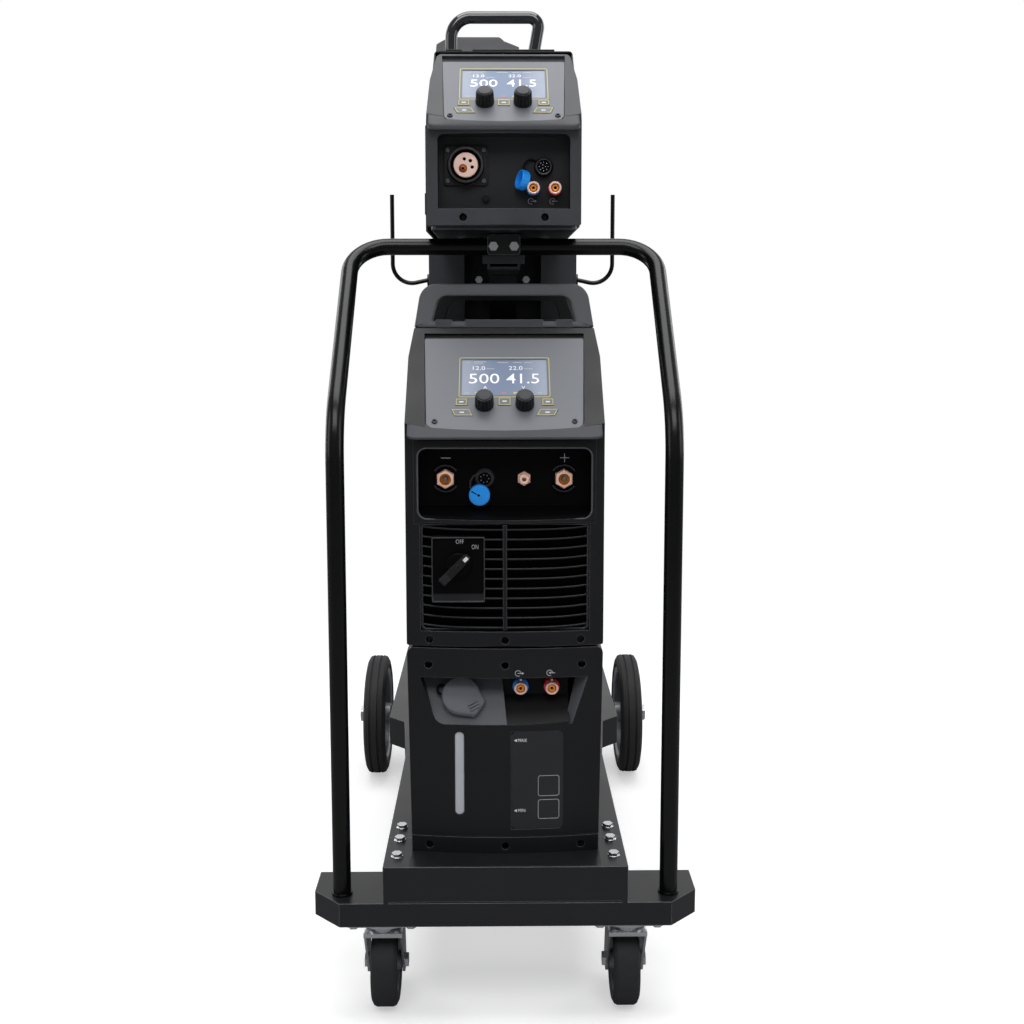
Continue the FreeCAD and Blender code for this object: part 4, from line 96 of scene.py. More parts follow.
def add_node(tree: bpy.types.NodeTree, kind: str, inputs: dict | None = None, **settings: object) -> bpy.types.Node:
    """Adds a node with its settings and its inputs.

    Args:
        tree: the tree that gets the node.
        kind: the node's type name.
        inputs: values or sockets by input name or number.
        settings: the node's own properties.

    Returns:
        The new node.
    """
    node = tree.nodes.new(kind)
    for key, value in settings.items():
        setattr(node, key, value)
    for key, value in (inputs or {}).items():
        if isinstance(value, bpy.types.NodeSocket):
            tree.links.new(value, node.inputs[key])
        else:
            node.inputs[key].default_value = value
    return node


def facing(origin: Vector, outward: Sequence[float]) -> Matrix:
    """Axes for a small piece that stands on a surface.

    Args:
        origin: the foot of the piece, in metres.
        outward: the direction of its own Z.

    Returns:
        A matrix from the piece's millimetres to the frame's metres.
    """
    out = Vector(outward).normalized()
    across = Vector((1, 0, 0)) if abs(out.x) < 0.9 else Vector((0, 1, 0))
    up = out.cross(across).normalized()
    across = up.cross(out)
    axes = Matrix((across, up, out)).transposed().to_4x4()
    return Matrix.Translation(origin) @ axes @ Matrix.Scale(1 / MILLI, 4)


def linked(name: str, data: bpy.types.ID) -> bpy.types.Object:
    """A new object with its data, linked to the scene.

    Args:
        name: the object's name.
        data: its mesh, letters, lamp or camera.

    Returns:
        The object.
    """
    made = bpy.data.objects.new(name, data)
    bpy.context.scene.collection.objects.link(made)
    return made


def evaluated(holder: bpy.types.Object) -> bpy.types.Mesh:
    """The plain mesh that an object's modifiers or letters make; the object goes.

    Args:
        holder: the object.

    Returns:
        Its mesh with everything applied.
    """
    depsgraph = bpy.context.evaluated_depsgraph_get()
    made = bpy.data.meshes.new_from_object(holder.evaluated_get(depsgraph), depsgraph=depsgraph)
    bpy.data.objects.remove(holder)
    return made


def emptied(owner: bpy.types.Material | bpy.types.World) -> bpy.types.NodeTree:
    """The tree of a material or a world, without a node in it.

    Args:
        owner: the material or the world.

    Returns:
        The empty tree.
    """
    owner.use_nodes = True
    owner.node_tree.nodes.clear()
    return owner.node_tree


def maths(tree: bpy.types.NodeTree, operation: str, *values: Value) -> bpy.types.NodeSocket:
    """The result of one sum, from numbers or sockets.

    Args:
        tree: the tree that gets the node.
        operation: the node's operation.
        values: numbers or sockets in the node's order.

    Returns:
        The socket of the result.
    """
    return add_node(tree, "ShaderNodeMath", dict(enumerate(values)), operation=operation).outputs[0]


def ranged(tree: bpy.types.NodeTree, value: bpy.types.NodeSocket, low: float, high: float, to_low: float = 0.0,
           to_high: float = 1.0, kind: str = "LINEAR") -> bpy.types.NodeSocket:
    """A value mapped from one range to another.

    Args:
        tree: the tree that gets the node.
        value: the socket of the value.
        low: where the first range starts.
        high: where it ends.
        to_low: where the second range starts.
        to_high: where it ends.
        kind: the node's interpolation.

    Returns:
        The socket of the mapped value.
    """
    return add_node(tree, "ShaderNodeMapRange", {
        "Value": value, "From Min": low, "From Max": high, "To Min": to_low, "To Max": to_high},
        interpolation_type=kind).outputs[0]


def blended(tree: bpy.types.NodeTree, share: Value, first: Value, second: Value) -> bpy.types.NodeSocket:
    """Two colours mixed by a share.

    Args:
        tree: the tree that gets the node.
        share: the second colour's share.
        first: the colour at 0.
        second: the colour at 1.

    Returns:
        The socket of the mixed colour.
    """
    return add_node(tree, "ShaderNodeMix", {0: share, 6: first, 7: second}, data_type="RGBA").outputs[2]


def ahead(x: float, y: float, z: float) -> Matrix:
    """Axes at a place in millimetres that face the front."""
    return facing(at(x, y, z), FRONT)


def spun(axes: Matrix, degrees: float, reach: float = 0.0) -> Matrix:
    """Axes turned about their Z, then moved along their new X.

    Args:
        axes: the axes to start from.
        degrees: the turn about Z.
        reach: the move along X.

    Returns:
        The new axes.
    """
    return axes @ Matrix.Rotation(math.radians(degrees), 4, "Z") @ Matrix.Translation((reach, 0, 0))


def polar(radius: float, degrees: Sequence[float]) -> list[Point]:
    """Points on a circle at the given angles.

    Args:
        radius: the circle's radius.
        degrees: the angles from X.

    Returns:
        One point for each angle.
    """
    return [(radius * math.cos(math.radians(a)), radius * math.sin(math.radians(a))) for a in degrees]


# Finishes

class Grain(Enum):
    """How a surface was made, which decides the pattern on it."""

    PEEL = "the soft orange peel of powder coat"
    SPARK = "the fine pits of a spark-eroded mould"
    PLATED = "the faint cells of zinc plating"
    BRUSHED = "the lines of a turned or drawn metal"
    DUSTY = "the dull, slightly dusty skin of rubber"
    SMOOTH = "a polished mould or a printed foil"


class Skin:
    """What a face is made of."""

    name: str

    def material(self) -> bpy.types.Material:
        """Builds the material once and hands out the same one after that.

        Returns:
            The material with its nodes.
        """
        known = bpy.data.materials.get(self.name)
        if not known:
            known = bpy.data.materials.new(self.name)
            self.paint(emptied(known))
        return known

    def paint(self, tree: bpy.types.NodeTree) -> None:
        """Builds the nodes; each kind of skin has its own."""
        raise NotImplementedError


@dataclass(frozen=True)
class Finish(Skin):
    """A material with its colour, gloss and grain."""

    name: str
    colour: str
    roughness: float = 0.5
    metallic: float = 0.0
    grain: Grain = Grain.SPARK
    grain_mm: float = 1.0
    depth_mm: float = 0.02
    mottle: float = 0.08
    edge_mm: float = 0.8
    specular: float = 0.5
    # Share and colour of a painted highlight mixed into the base colour along the edges
    rim: float = 0.0
    edge_highlight_colour: str = "#8a8d92"
    cloud_mm: float = 70.0

    def paint(self, tree: bpy.types.NodeTree) -> None:
        """Builds the nodes: clouded colour and gloss, soft edges and the grain's bump.

        Args:
            tree: the material's tree.
        """
        place = add_node(tree, "ShaderNodeTexCoord").outputs["Object"]
        height = self.pattern(tree, place)
        cloud = add_node(tree, "ShaderNodeTexNoise", {
            "Vector": place, "Scale": MILLI / self.cloud_mm, "Detail": 3.0}).outputs["Fac"]
        half = self.mottle / 2
        shade = ranged(tree, cloud, 0.3, 0.7, 1.0 - self.mottle, 1.0 + self.mottle)
        fine = ranged(tree, height, 0.2, 0.8, 1.0 - half, 1.0 + half)
        colour = add_node(tree, "ShaderNodeVectorMath", {
            0: srgb(self.colour)[:3], "Scale": maths(tree, "MULTIPLY", shade, fine)}, operation="SCALE").outputs[0]
        gloss = ranged(tree, cloud, 0.3, 0.7, self.roughness * 0.92, min(1.0, self.roughness * 1.08))
        edge = add_node(tree, "ShaderNodeBevel", {"Radius": self.edge_mm / MILLI}, samples=4).outputs[0]
        bump = add_node(tree, "ShaderNodeBump", {
            "Height": height, "Distance": self.depth_mm / MILLI, "Strength": 1.0, "Normal": edge})
        # Where rim is set, the base colour gets a painted highlight along the edges
        surface = add_node(tree, "ShaderNodeBsdfPrincipled", {
            "Base Color": self.painted_edge_highlight(tree, colour, edge) if self.rim else colour, "Roughness": gloss,
            "Metallic": self.metallic, "Specular IOR Level": self.specular, "Normal": bump.outputs[0]})
        add_node(tree, "ShaderNodeOutputMaterial", {"Surface": surface.outputs[0]})

    def painted_edge_highlight(self, tree: bpy.types.NodeTree, colour: bpy.types.NodeSocket,
             edge: bpy.types.NodeSocket) -> bpy.types.NodeSocket:
        """A painted highlight: a lighter colour on the edges, which stands in for the light that their rounding
        catches.

        Args:
            tree: the material's tree.
            colour: the socket of the colour elsewhere.
            edge: the socket of the rounded normal.

        Returns:
            The socket of the mixed colour.
        """
        face = add_node(tree, "ShaderNodeNewGeometry").outputs["Normal"]
        same = add_node(tree, "ShaderNodeVectorMath", {0: edge, 1: face}, operation="DOT_PRODUCT").outputs["Value"]
        return blended(tree, ranged(tree, same, 0.995, 0.8, 0.0, self.rim), colour, srgb(self.edge_highlight_colour))

    def pattern(self, tree: bpy.types.NodeTree, place: bpy.types.NodeSocket) -> bpy.types.NodeSocket:
        """The grain's height, from 0 to 1.

        Args:
            tree: the material's tree.
            place: the coordinates to draw it on.

        Returns:
            The socket that carries the height.
        """
        scale = MILLI / self.grain_mm
        if self.grain is Grain.PLATED:
            return add_node(tree, "ShaderNodeTexVoronoi", {
                "Vector": place, "Scale": scale, "Randomness": 1.0}).outputs["Distance"]
        if self.grain is Grain.SPARK:
            pits = add_node(tree, "ShaderNodeTexVoronoi", {"Vector": place, "Scale": scale}, feature="SMOOTH_F1")
            grit = add_node(tree, "ShaderNodeTexNoise", {"Vector": place, "Scale": scale * 1.7, "Detail": 2.0})
            return maths(tree, "MULTIPLY", pits.outputs["Distance"], grit.outputs["Fac"])
        detail = {Grain.PEEL: 1.0, Grain.BRUSHED: 4.0, Grain.DUSTY: 6.0}.get(self.grain, 2.0)
        return add_node(tree, "ShaderNodeTexNoise", {"Vector": place, "Scale": scale, "Detail": detail}).outputs["Fac"]


@dataclass(frozen=True)
class Screen(Skin):
    """The liquid crystal window: pale at both ends, bluer in the middle."""

    name: str = "liquid crystal display behind clear foil"
    ends: str = "#98a0b1"
    middle: str = "#6d7d99"
    half_width: float = 60.0
    cloud_mm: float = 9.0

    def paint(self, tree: bpy.types.NodeTree) -> None:
        """Builds the window's nodes.

        Args:
            tree: the material's tree.
        """
        where = add_node(tree, "ShaderNodeTexCoord").outputs["Object"]
        across = maths(tree, "ABSOLUTE", add_node(tree, "ShaderNodeSeparateXYZ", {0: where}).outputs["X"])
        share = ranged(tree, across, 0.012, self.half_width / MILLI, kind="SMOOTHSTEP")
        cloud = add_node(tree, "ShaderNodeTexNoise", {
            "Vector": where, "Scale": MILLI / self.cloud_mm, "Detail": 2.0}).outputs["Fac"]
        level = maths(tree, "MULTIPLY_ADD", share, 0.85, maths(tree, "MULTIPLY", cloud, 0.12))
        surface = add_node(tree, "ShaderNodeBsdfPrincipled", {
            "Base Color": blended(tree, level, srgb(self.middle), srgb(self.ends)), "Roughness": 0.4,
            "Specular IOR Level": 0.3, "IOR": 1.49})
        add_node(tree, "ShaderNodeOutputMaterial", {"Surface": surface.outputs[0]})


# Powder coated steel tube and plate: near black, satin, with a soft peel that breaks up long highlights
POWDER = Finish("powder coated steel", "#191a1d", 0.33, grain=Grain.PEEL, grain_mm=2.4, edge_mm=1.4, specular=0.42,
                rim=1.0)
# The hoop's tube is darker between its highlights
TUBE = Finish("powder coated tube", "#060708", 0.24, grain=Grain.PEEL, grain_mm=3.0, depth_mm=0.012, edge_mm=0.6,
              specular=0.34)
# The column stands in bounced light and reads greyer
COLUMN = Finish("powder coated column", "#3a3c41", 0.36, grain=Grain.PEEL, grain_mm=2.4, edge_mm=0.9, specular=0.45,
                rim=0.4)
# The feeder's handle is enamelled and polished, with bright lights along it
POLISHED = Finish("polished black enamel", "#1b1c1f", 0.1, grain=Grain.PEEL, grain_mm=4.0, depth_mm=0.01, edge_mm=0.6,
                  specular=1.0)
# Powder coated housing sheet: a little greyer and duller than the frame
SHEET = Finish("powder coated housing sheet", "#1a1b1e", 0.42, grain=Grain.PEEL, grain_mm=1.8, depth_mm=0.012,
               edge_mm=0.7, specular=0.36, rim=0.45)
# Moulded ABS of the fronts: graphite, with a fine spark texture that spreads the light
MOULDED = Finish("moulded graphite abs", "#141518", 0.45, grain_mm=1.1, depth_mm=0.03, edge_mm=1.2, specular=0.36,
                 rim=0.5)
# The same where a piece lies flush in another and its border isn't seen
BORDERLESS = {"edge_mm": 0.05, "rim": 0.0}
FLUSH = replace(MOULDED, name="moulded graphite abs without border", **BORDERLESS)
# The source's arch, the same moulding painted lighter for the light it catches, the most of its front
MOULDED_ARCH_PAINTED_LIT = replace(MOULDED, name="moulded abs, arch painted lit", colour="#44464b", roughness=0.5, rim=0.4)
# The slope below the source's panel: the same moulding painted lighter, to charcoal, for the light that falls on it
MOULDED_SLOPE_PAINTED_LIT = replace(MOULDED_ARCH_PAINTED_LIT, name="moulded charcoal abs", colour="#34363b", edge_mm=1.0)
# The cheeks beside the source's panel are a shade darker than the slope below it
MOULDED_CHEEK = replace(MOULDED_SLOPE_PAINTED_LIT, name="moulded cheek abs", colour="#141518")
# The feeder's front is a slate grey
MOULDED_SLATE = replace(MOULDED_SLOPE_PAINTED_LIT, name="moulded feeder abs", colour="#3a3c40", roughness=0.48, specular=0.34,
                        rim=0.35)
# The filler pocket's slope, the cheeks by it and the bead round the bay: the same moulding painted lightest, for the
# light that falls on them
MOULDED_PAINTED_LIT = replace(MOULDED_SLOPE_PAINTED_LIT, name="moulded slate abs", colour="#4d4f55", specular=0.35, rim=0.25)
# The brows lie flush on the slopes; the source's brow keeps the slope's painted light
BROW_SLOPE_PAINTED_LIT = replace(MOULDED_SLOPE_PAINTED_LIT, name="moulded charcoal abs without border", **BORDERLESS)
BROW_SLATE = replace(MOULDED_SLATE, name="moulded feeder abs without border", **BORDERLESS)
# The inside of the feeder's bay, part of the same moulding as its front, painted dark grey as shade in the recess
FEEDER_BAY_PAINTED_SHADE = Finish("moulded feeder bay painted shade", "#26272a", depth_mm=0.03, specular=0.25)
# Black moulded nylon in the bays, which swallows light; the same black is painted as shade in the bores and hole
# bottoms of fittings and on the sheets behind the slots
BLACK_AND_PAINTED_SHADE = replace(FEEDER_BAY_PAINTED_SHADE, name="moulded black nylon and painted shade", colour="#040405", specular=0.1)
# The fitting pocket, part of the same moulded front, painted near black as shade, with a little light left on its floor
POCKET_PAINTED_SHADE = replace(FEEDER_BAY_PAINTED_SHADE, name="moulded front, fitting pocket painted shade", colour="#0b0b0d", specular=0.22)
# The glass filled shell of the door and its hood, greyer and duller
DOOR = Finish("moulded glass filled nylon", "#26272b", 0.55, grain_mm=1.3, depth_mm=0.03, edge_mm=1.0, specular=0.3)
# Slats: polished a little by the mould, so that their noses catch a thin line of light
LOUVRE = Finish("moulded black abs slats", "#0e0f11", 0.38, depth_mm=0.01, edge_mm=0.4, specular=0.4)
# The soft rubbery cap, a shade lighter than its pocket
CAP_GREY = Finish("moulded rubbery cap", "#5d5f65", 0.62, grain_mm=0.9, depth_mm=0.03, edge_mm=0.9, specular=0.3,
                  rim=0.25)
# Lever and flanges: black with a slight sheen that shows their edges
LEVER_BLACK = Finish("moulded black polyamide", "#141416", 0.4, grain_mm=0.8, edge_mm=0.6, specular=0.4, rim=0.4)
# Dark grey rings round the sockets
RIM_GREY = Finish("dark grey socket ring", "#2c2d31", 0.42, grain_mm=0.7, edge_mm=0.4, rim=0.3)
# Gloss black plastic of knob skirts
GLOSS_BLACK = Finish("gloss black plastic", "#0a0a0c", 0.26, grain=Grain.SMOOTH, grain_mm=6.0, depth_mm=0.01,
                     edge_mm=0.5, rim=0.5)
# Soft grey cap of the knobs
KNOB_GREY = Finish("moulded grey knob cap", "#2f3034", 0.48, grain_mm=0.7, edge_mm=0.5, specular=0.35)
# Printed polycarbonate foil on the panels: even mid grey, fine matt texture
FOIL = Finish("printed panel foil", "#696c72", 0.45, grain=Grain.SMOOTH, grain_mm=0.6, depth_mm=0.006, mottle=0.03,
              edge_mm=0.4, specular=0.35)
# Pale yellow screen print round the display and the keys
INK_YELLOW = Finish("pale yellow print", "#b5ae6b", grain=Grain.SMOOTH, grain_mm=2.0, depth_mm=0.002, mottle=0.03,
                    edge_mm=0.1)
# White screen print
INK_WHITE = replace(INK_YELLOW, name="white print", colour="#d9dadc")
# Grey screen print of the small marks
INK_DIM = replace(INK_YELLOW, name="grey print", colour="#a9abaf")
# Bright figures of the display
INK_LIT = replace(INK_YELLOW, name="white display segments", colour="#f4f5f7", roughness=0.4, depth_mm=0.001,
                  mottle=0.04)
# Yellow and pink marks at the foot of the display
INK_AMBER = replace(INK_YELLOW, name="amber print", colour="#d9c25c", depth_mm=0.001, mottle=0.08)
INK_PINK = replace(INK_AMBER, name="pink print", colour="#b8707f")
# Bright zinc plating: silver with faint cells and strong contrast
ZINC = Finish("bright zinc plated steel", "#d6d8db", 0.18, 1.0, Grain.PLATED, 2.6, mottle=0.1, edge_mm=0.6)
# Stainless contact pins
STAINLESS = Finish("stainless screw steel", "#9a9ca1", 0.28, 1.0, Grain.BRUSHED, 1.5, 0.004, edge_mm=0.3)
# Dull zinc of the flange's screws
DULL_ZINC = Finish("dull zinc plated screw", "#6d6f73", 0.34, 0.8, Grain.PLATED, depth_mm=0.01, edge_mm=0.3)
# Blackened screws
BLACKED = replace(DULL_ZINC, name="blackened screw steel", colour="#2b2c2f", roughness=0.32, grain_mm=1.2)
# Turned brass inside the weld sockets
BRASS = Finish("turned brass", "#e89a40", 0.34, 0.7, Grain.BRUSHED, 0.8, 0.004, edge_mm=0.4)
# Gold coloured nose of the couplings
GOLD = replace(BRASS, name="yellow chromated brass", colour="#f5a53c", roughness=0.3, metallic=0.4, edge_mm=0.3)
# The six-sided sockets have a pink, freshly cut copper tone
COPPER_PINK = replace(BRASS, name="tinned copper alloy", colour="#ffcfba", roughness=0.38, metallic=0.2, mottle=0.1,
                      edge_mm=0.5)
# The torch connector's disc is paler, almost white
SOCKET_PINK = replace(BRASS, name="silver plated copper disc", colour="#ffd9cb", roughness=0.38, metallic=0.3,
                      grain_mm=0.9, mottle=0.1)
# Copper nose of the wire guide, darker and brown
COPPER_NOSE = replace(BRASS, name="oxidised copper", colour="#b9683c", roughness=0.36, depth_mm=0.006, mottle=0.14,
                      edge_mm=0.3)
# Nickelled lip of the couplings
NICKEL = Finish("nickel plated brass", "#ffd6cb", 0.3, 0.2, Grain.PLATED, 1.4, 0.004, edge_mm=0.4)
# Natural rubber of the castor tyres: black, dull
RUBBER = Finish("black wheel rubber", "#1f2023", 0.68, 0.0, Grain.DUSTY, 3.0, 0.06, 0.16, 1.2)
# Solid tyres of the large wheels, a little paler with bloom
TYRE = Finish("solid tyre rubber", "#1f1f22", 0.7, 0.0, Grain.DUSTY, 4.0, 0.08, 0.18, 1.5)
# Moulded polyamide hub
HUB = Finish("moulded grey polyamide", "#6d7076", grain_mm=1.2, depth_mm=0.03)
# Pressed rim with silver lacquer
RIM = Finish("silver lacquered rim", "#8d9095", 0.38, 0.6, Grain.PEEL, 2.0, 0.015)
# Polypropylene caps and collars: strong blue and soft red, waxy
BLUE = Finish("blue polypropylene", "#1795f5", 0.42, grain_mm=0.9, mottle=0.05, edge_mm=0.6)
RED = replace(BLUE, name="red polypropylene", colour="#e22c3a")
# Milky polyethylene of the tank behind the sight slot
TANK = Finish("natural polyethylene", "#b3b6bd", 0.5, 0.0, Grain.DUSTY, 8.0, 0.03, 0.05, 0.6)
# Cast and cut aluminium inside
ALUMINIUM = Finish("cast aluminium", "#a9abb0", 0.42, 1.0, Grain.PLATED, 1.6, 0.03, edge_mm=0.5)
# Copper coated welding wire
COPPER_WIRE = Finish("copper coated wire", "#c98a5e", 0.3, 1.0, Grain.BRUSHED, depth_mm=0.01, edge_mm=0.2)
# Satin plate where the photograph has a label: a shade lighter than the front
PLATE = Finish("satin lacquered plate", "#27282c", 0.4, grain=Grain.PEEL, grain_mm=1.6, depth_mm=0.008, edge_mm=0.4,
               specular=0.35)
SCREEN = Screen()


# Making meshes

def shaded(mesh: bpy.types.Mesh, sharp: float = 30.0) -> bpy.types.Mesh:
    """Smooth shading with sharp edges, and normals that follow the large faces.

    Args:
        mesh: the mesh to shade.
        sharp: degrees above which an edge stays sharp.

    Returns:
        The shaded mesh.
    """
    mesh.shade_smooth()
    mesh.set_sharp_from_angle(angle=math.radians(sharp))
    holder = linked("holder", mesh)
    holder.modifiers.new("weigh", "WEIGHTED_NORMAL").keep_sharp = True
    made = evaluated(holder)
    bpy.data.meshes.remove(mesh)
    return made


def put(name: str, mesh: bpy.types.Mesh, body: str, skins: Sequence[Skin],
        nodes: Sequence[str] = ()) -> bpy.types.Object:
    """Makes a mesh a piece of the machine.

    Args:
        name: the piece's name.
        mesh: its mesh, already in place.
        body: the body that it rides on.
        skins: its finishes, in the order of its material numbers.
        nodes: the CAD nodes that it stands for.

    Returns:
        The piece.
    """
    numbers = [0] * len(mesh.polygons)
    mesh.polygons.foreach_get("material_index", numbers)
    mesh.materials.clear()
    for skin in skins:
        mesh.materials.append(skin.material())
    mesh.polygons.foreach_set("material_index", [min(n, len(skins) - 1) for n in numbers])
    piece = linked(name, mesh)
    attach(piece, body)
    if nodes:
        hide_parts(*nodes)
    LOG.info("%s rides on %s, %d faces", name, body, len(mesh.polygons))
    return piece


def cut_away(mesh: bpy.types.Mesh, tools: Sequence[bpy.types.Mesh]) -> bpy.types.Mesh:
    """Takes solids away from a closed mesh.

    Args:
        mesh: the mesh that is cut.
        tools: the solids that are taken away.

    Returns:
        The mesh that is left.
    """
    blank = linked("blank", mesh)
    holders = [linked("tool", tool) for tool in tools]
    for holder in holders:
        step = blank.modifiers.new("cut", "BOOLEAN")
        step.operation = "DIFFERENCE"
        step.solver = "EXACT"
        step.object = holder
    made = evaluated(blank)
    for holder in holders:
        bpy.data.objects.remove(holder)
    return made


def carried(node: str, *skins: Skin, rule: Rule | None = None, sharp: float = 30.0,
            cutters: Sequence[bpy.types.Mesh] = ()) -> bpy.types.Object:
    """A merged and smoothly shaded copy of a CAD node that stands for it.

    Args:
        node: the node's name.
        skins: its finishes.
        rule: tells the finish of a face from its middle in millimetres and its normal.
        sharp: degrees above which an edge stays sharp.
        cutters: solids to take away from it.

    Returns:
        The piece.
    """
    source = frame["nodes"][node]
    work = bmesh.new()
    work.from_mesh(source.data)
    bmesh.ops.remove_doubles(work, verts=work.verts, dist=1e-6)
    work.verts.ensure_lookup_table()
    work.verts.index_update()
    points = [v.co.copy() for v in work.verts]
    faces = [[v.index for v in f.verts] for f in work.faces]
    work.free()
    mesh = bpy.data.meshes.new(node + "_skin")
    mesh.from_pydata(points, [], faces)
    mesh.update()
    if cutters:
        mesh = cut_away(mesh, cutters)
    if rule:
        for face in mesh.polygons:
            middle = face.center * MILLI + Vector((0.0, MIDDLE_Y, 0.0))
            face.material_index = rule(middle, face.normal)
    mesh = shaded(mesh, sharp)
    return put(node + "_skin", mesh, source["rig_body"], skins, [node])


def carried_plain(**skins: Skin) -> None:
    """Carries CAD nodes over that wear one finish each.

    Args:
        skins: the finish by the node's name.
    """
    for node, skin in skins.items():
        carried(node, skin)


@dataclass(frozen=True)
class BowedFront:
    """A moulded front that bows out in its middle."""

    face_y: float
    half_width: float
    bow: float = 12.0

    def spot(self, x: float, z: float, depth: float = 0.0) -> Vector:
        """A place on the front, or behind it by a depth."""
        return at(x, self.face_y + self.bow * (x / self.half_width) ** 2 + depth, z)

    def loop(self, outline: Sequence[Point], depth: float) -> list[Vector]:
        """An outline laid on the front at a depth."""
        return [self.spot(x, z, depth) for x, z in outline]


MACHINE_FRONT = BowedFront(48.0, 137.0)
FEEDER_FRONT = BowedFront(152.0, 110.0)


class Stock:
    """Gathers solids of one piece, each with the number of its finish."""

    def __init__(self) -> None:
        """Starts with no solid."""
        self.mesh = bmesh.new()

    def ring_of(self, points: Sequence[Vector]) -> list[bmesh.types.BMVert]:
        """Adds one loop of corners."""
        return [self.mesh.verts.new(p) for p in points]

    def skin(self, faces: Sequence[Sequence[bmesh.types.BMVert]], number: int) -> None:
        """Adds faces with one finish and points them outwards.

        Args:
            faces: the corner lists.
            number: the finish's number.
        """
        made = [self.mesh.faces.new(corners) for corners in faces if len(set(corners)) > 2]
        for face in made:
            face.material_index = number
        bmesh.ops.recalc_face_normals(self.mesh, faces=made)

    def wrap(self, loops: Sequence[Sequence[Vector]], number: int = 0, closed: bool = False, ends: bool = True) -> None:
        """Joins loops of as many corners into one skin.

        Args:
            loops: the loops, in metres.
            number: the finish's number.
            closed: whether the last loop joins the first.
            ends: whether the first and the last loop are filled, if they don't join.
        """
        rings = [self.ring_of(loop) for loop in loops]
        count = len(rings[0])
        pairs = list(zip(rings, rings[1:])) + ([(rings[-1], rings[0])] if closed else [])
        faces = [[here[i], here[(i + 1) % count], there[(i + 1) % count], there[i]]
                 for here, there in pairs for i in range(count)]
        if ends and not closed:
            faces += [rings[0][::-1], rings[-1]]
        self.skin(faces, number)

    def prism(self, outline: Sequence[Point], low: float, high: float, axes: Matrix, number: int = 0) -> None:
        """A block with the given outline.

        Args:
            outline: its corners across the axes.
            low: its lower end along the axes' Z.
            high: its upper end.
            axes: the matrix of its axes.
            number: the finish's number.
        """
        self.stack([(outline, low), (outline, high)], axes, number)

    def stack(self, levels: Sequence[Level], axes: Matrix, number: int = 0, closed: bool = False,
              ends: bool = True) -> None:
        """A skin through outlines at their heights.

        Args:
            levels: each outline with its height along the axes' Z.
            axes: the matrix of its axes.
            number: the finish's number.
            closed: whether the last outline joins the first, as in a frame.
            ends: whether the first and the last outline are filled.
        """
        self.wrap([[axes @ Vector((x, y, z)) for x, y in outline] for outline, z in levels], number, closed, ends)

    def moulded(self, front: BowedFront, levels: Sequence[Level], number: int = 0, closed: bool = False,
                ends: bool = True) -> None:
        """A skin through outlines laid on a bowed front at their depths.

        Args:
            front: the bowed front.
            levels: each outline with its depth.
            number: the finish's number.
            closed: whether the last outline joins the first.
            ends: whether the first and the last outline are filled.
        """
        self.wrap([front.loop(outline, depth) for outline, depth in levels], number, closed, ends)

    def block(self, low: Place, high: Place, number: int = 0) -> None:
        """An upright block between two corners in millimetres."""
        floor = box_outline(low[0], high[0], low[1], high[1])
        self.wrap([[at(x, y, z) for x, y in floor] for z in (low[2], high[2])], number)

    def band(self, outer: Sequence[Point], inner: Sequence[Point], low: float, high: float, axes: Matrix,
             number: int = 0) -> None:
        """A closed frame between two loops with as many corners.

        Args:
            outer: the outer loop.
            inner: the inner loop.
            low: its lower end.
            high: its upper end.
            axes: the matrix of its axes.
            number: the finish's number.
        """
        self.stack([(outer, low), (outer, high), (inner, high), (inner, low)], axes, number, closed=True)

    def turned(self, profile: Sequence[Point], axes: Matrix, segments: int = 40,
               numbers: Sequence[int] = (0,), sweep: float = 360.0) -> None:
        """A turned solid from a profile of radius and height.

        Args:
            profile: radius and height pairs; a radius of 0 closes the end.
            axes: the matrix of its axes, turned about Z.
            segments: corners round the axis.
            numbers: the finish of each stretch; the last one goes on.
            sweep: degrees of the turn.
        """
        whole = sweep >= 360.0
        count = segments if whole else segments + 1
        turns = [math.radians(sweep) * i / segments for i in range(count)]
        loops = []
        for radius, height in profile:
            if radius <= 0:
                loops.append([self.mesh.verts.new(axes @ Vector((0, 0, height)))] * count)
            else:
                loops.append(self.ring_of([axes @ Vector((radius * math.cos(t), radius * math.sin(t), height))
                                           for t in turns]))
        groups: dict[int, list] = {}
        for k, (here, there) in enumerate(zip(loops, loops[1:])):
            for i in range(segments):
                j = (i + 1) % count
                corners = dict.fromkeys((here[i], here[j], there[j], there[i]))
                groups.setdefault(numbers[min(k, len(numbers) - 1)], []).append(list(corners))
        made = []
        for number, group in groups.items():
            for corners in group:
                made.append(self.mesh.faces.new(corners))
                made[-1].material_index = number
        bmesh.ops.recalc_face_normals(self.mesh, faces=made)

    def pins(self, axes: Matrix, count: int, reach: float, profile: Sequence[Point], number: int) -> None:
        """Small turned pins at even steps round a circle.

        Args:
            axes: the circle's axes.
            count: how many pins.
            reach: the circle's radius.
            profile: radius and height pairs of one pin.
            number: the finish's number.
        """
        for k in range(count):
            self.turned(profile, spun(axes, 360.0 * k / count, reach), 10, [number])

    def rod(self, points: Sequence[Vector], radius: float, number: int = 0, sides: int = 10) -> None:
        """A round bar along points in metres, closed at both ends.

        Args:
            points: the middle line.
            radius: its radius in millimetres.
            number: the finish's number.
            sides: corners round it.
        """
        loops = []
        across = Vector((0, 0, 1))
        turns = [2 * math.pi * k / sides for k in range(sides)]
        for i, point in enumerate(points):
            ahead = (points[min(i + 1, len(points) - 1)] - points[max(i - 1, 0)]).normalized()
            side = ahead.cross(across)
            if side.length < 1e-3:
                side = ahead.cross(Vector((0, 1, 0)))
            side.normalize()
            across = side.cross(ahead).normalized()
            loops.append([point + (side * math.cos(t) + across * math.sin(t)) * radius / MILLI for t in turns])
        self.wrap(loops, number)

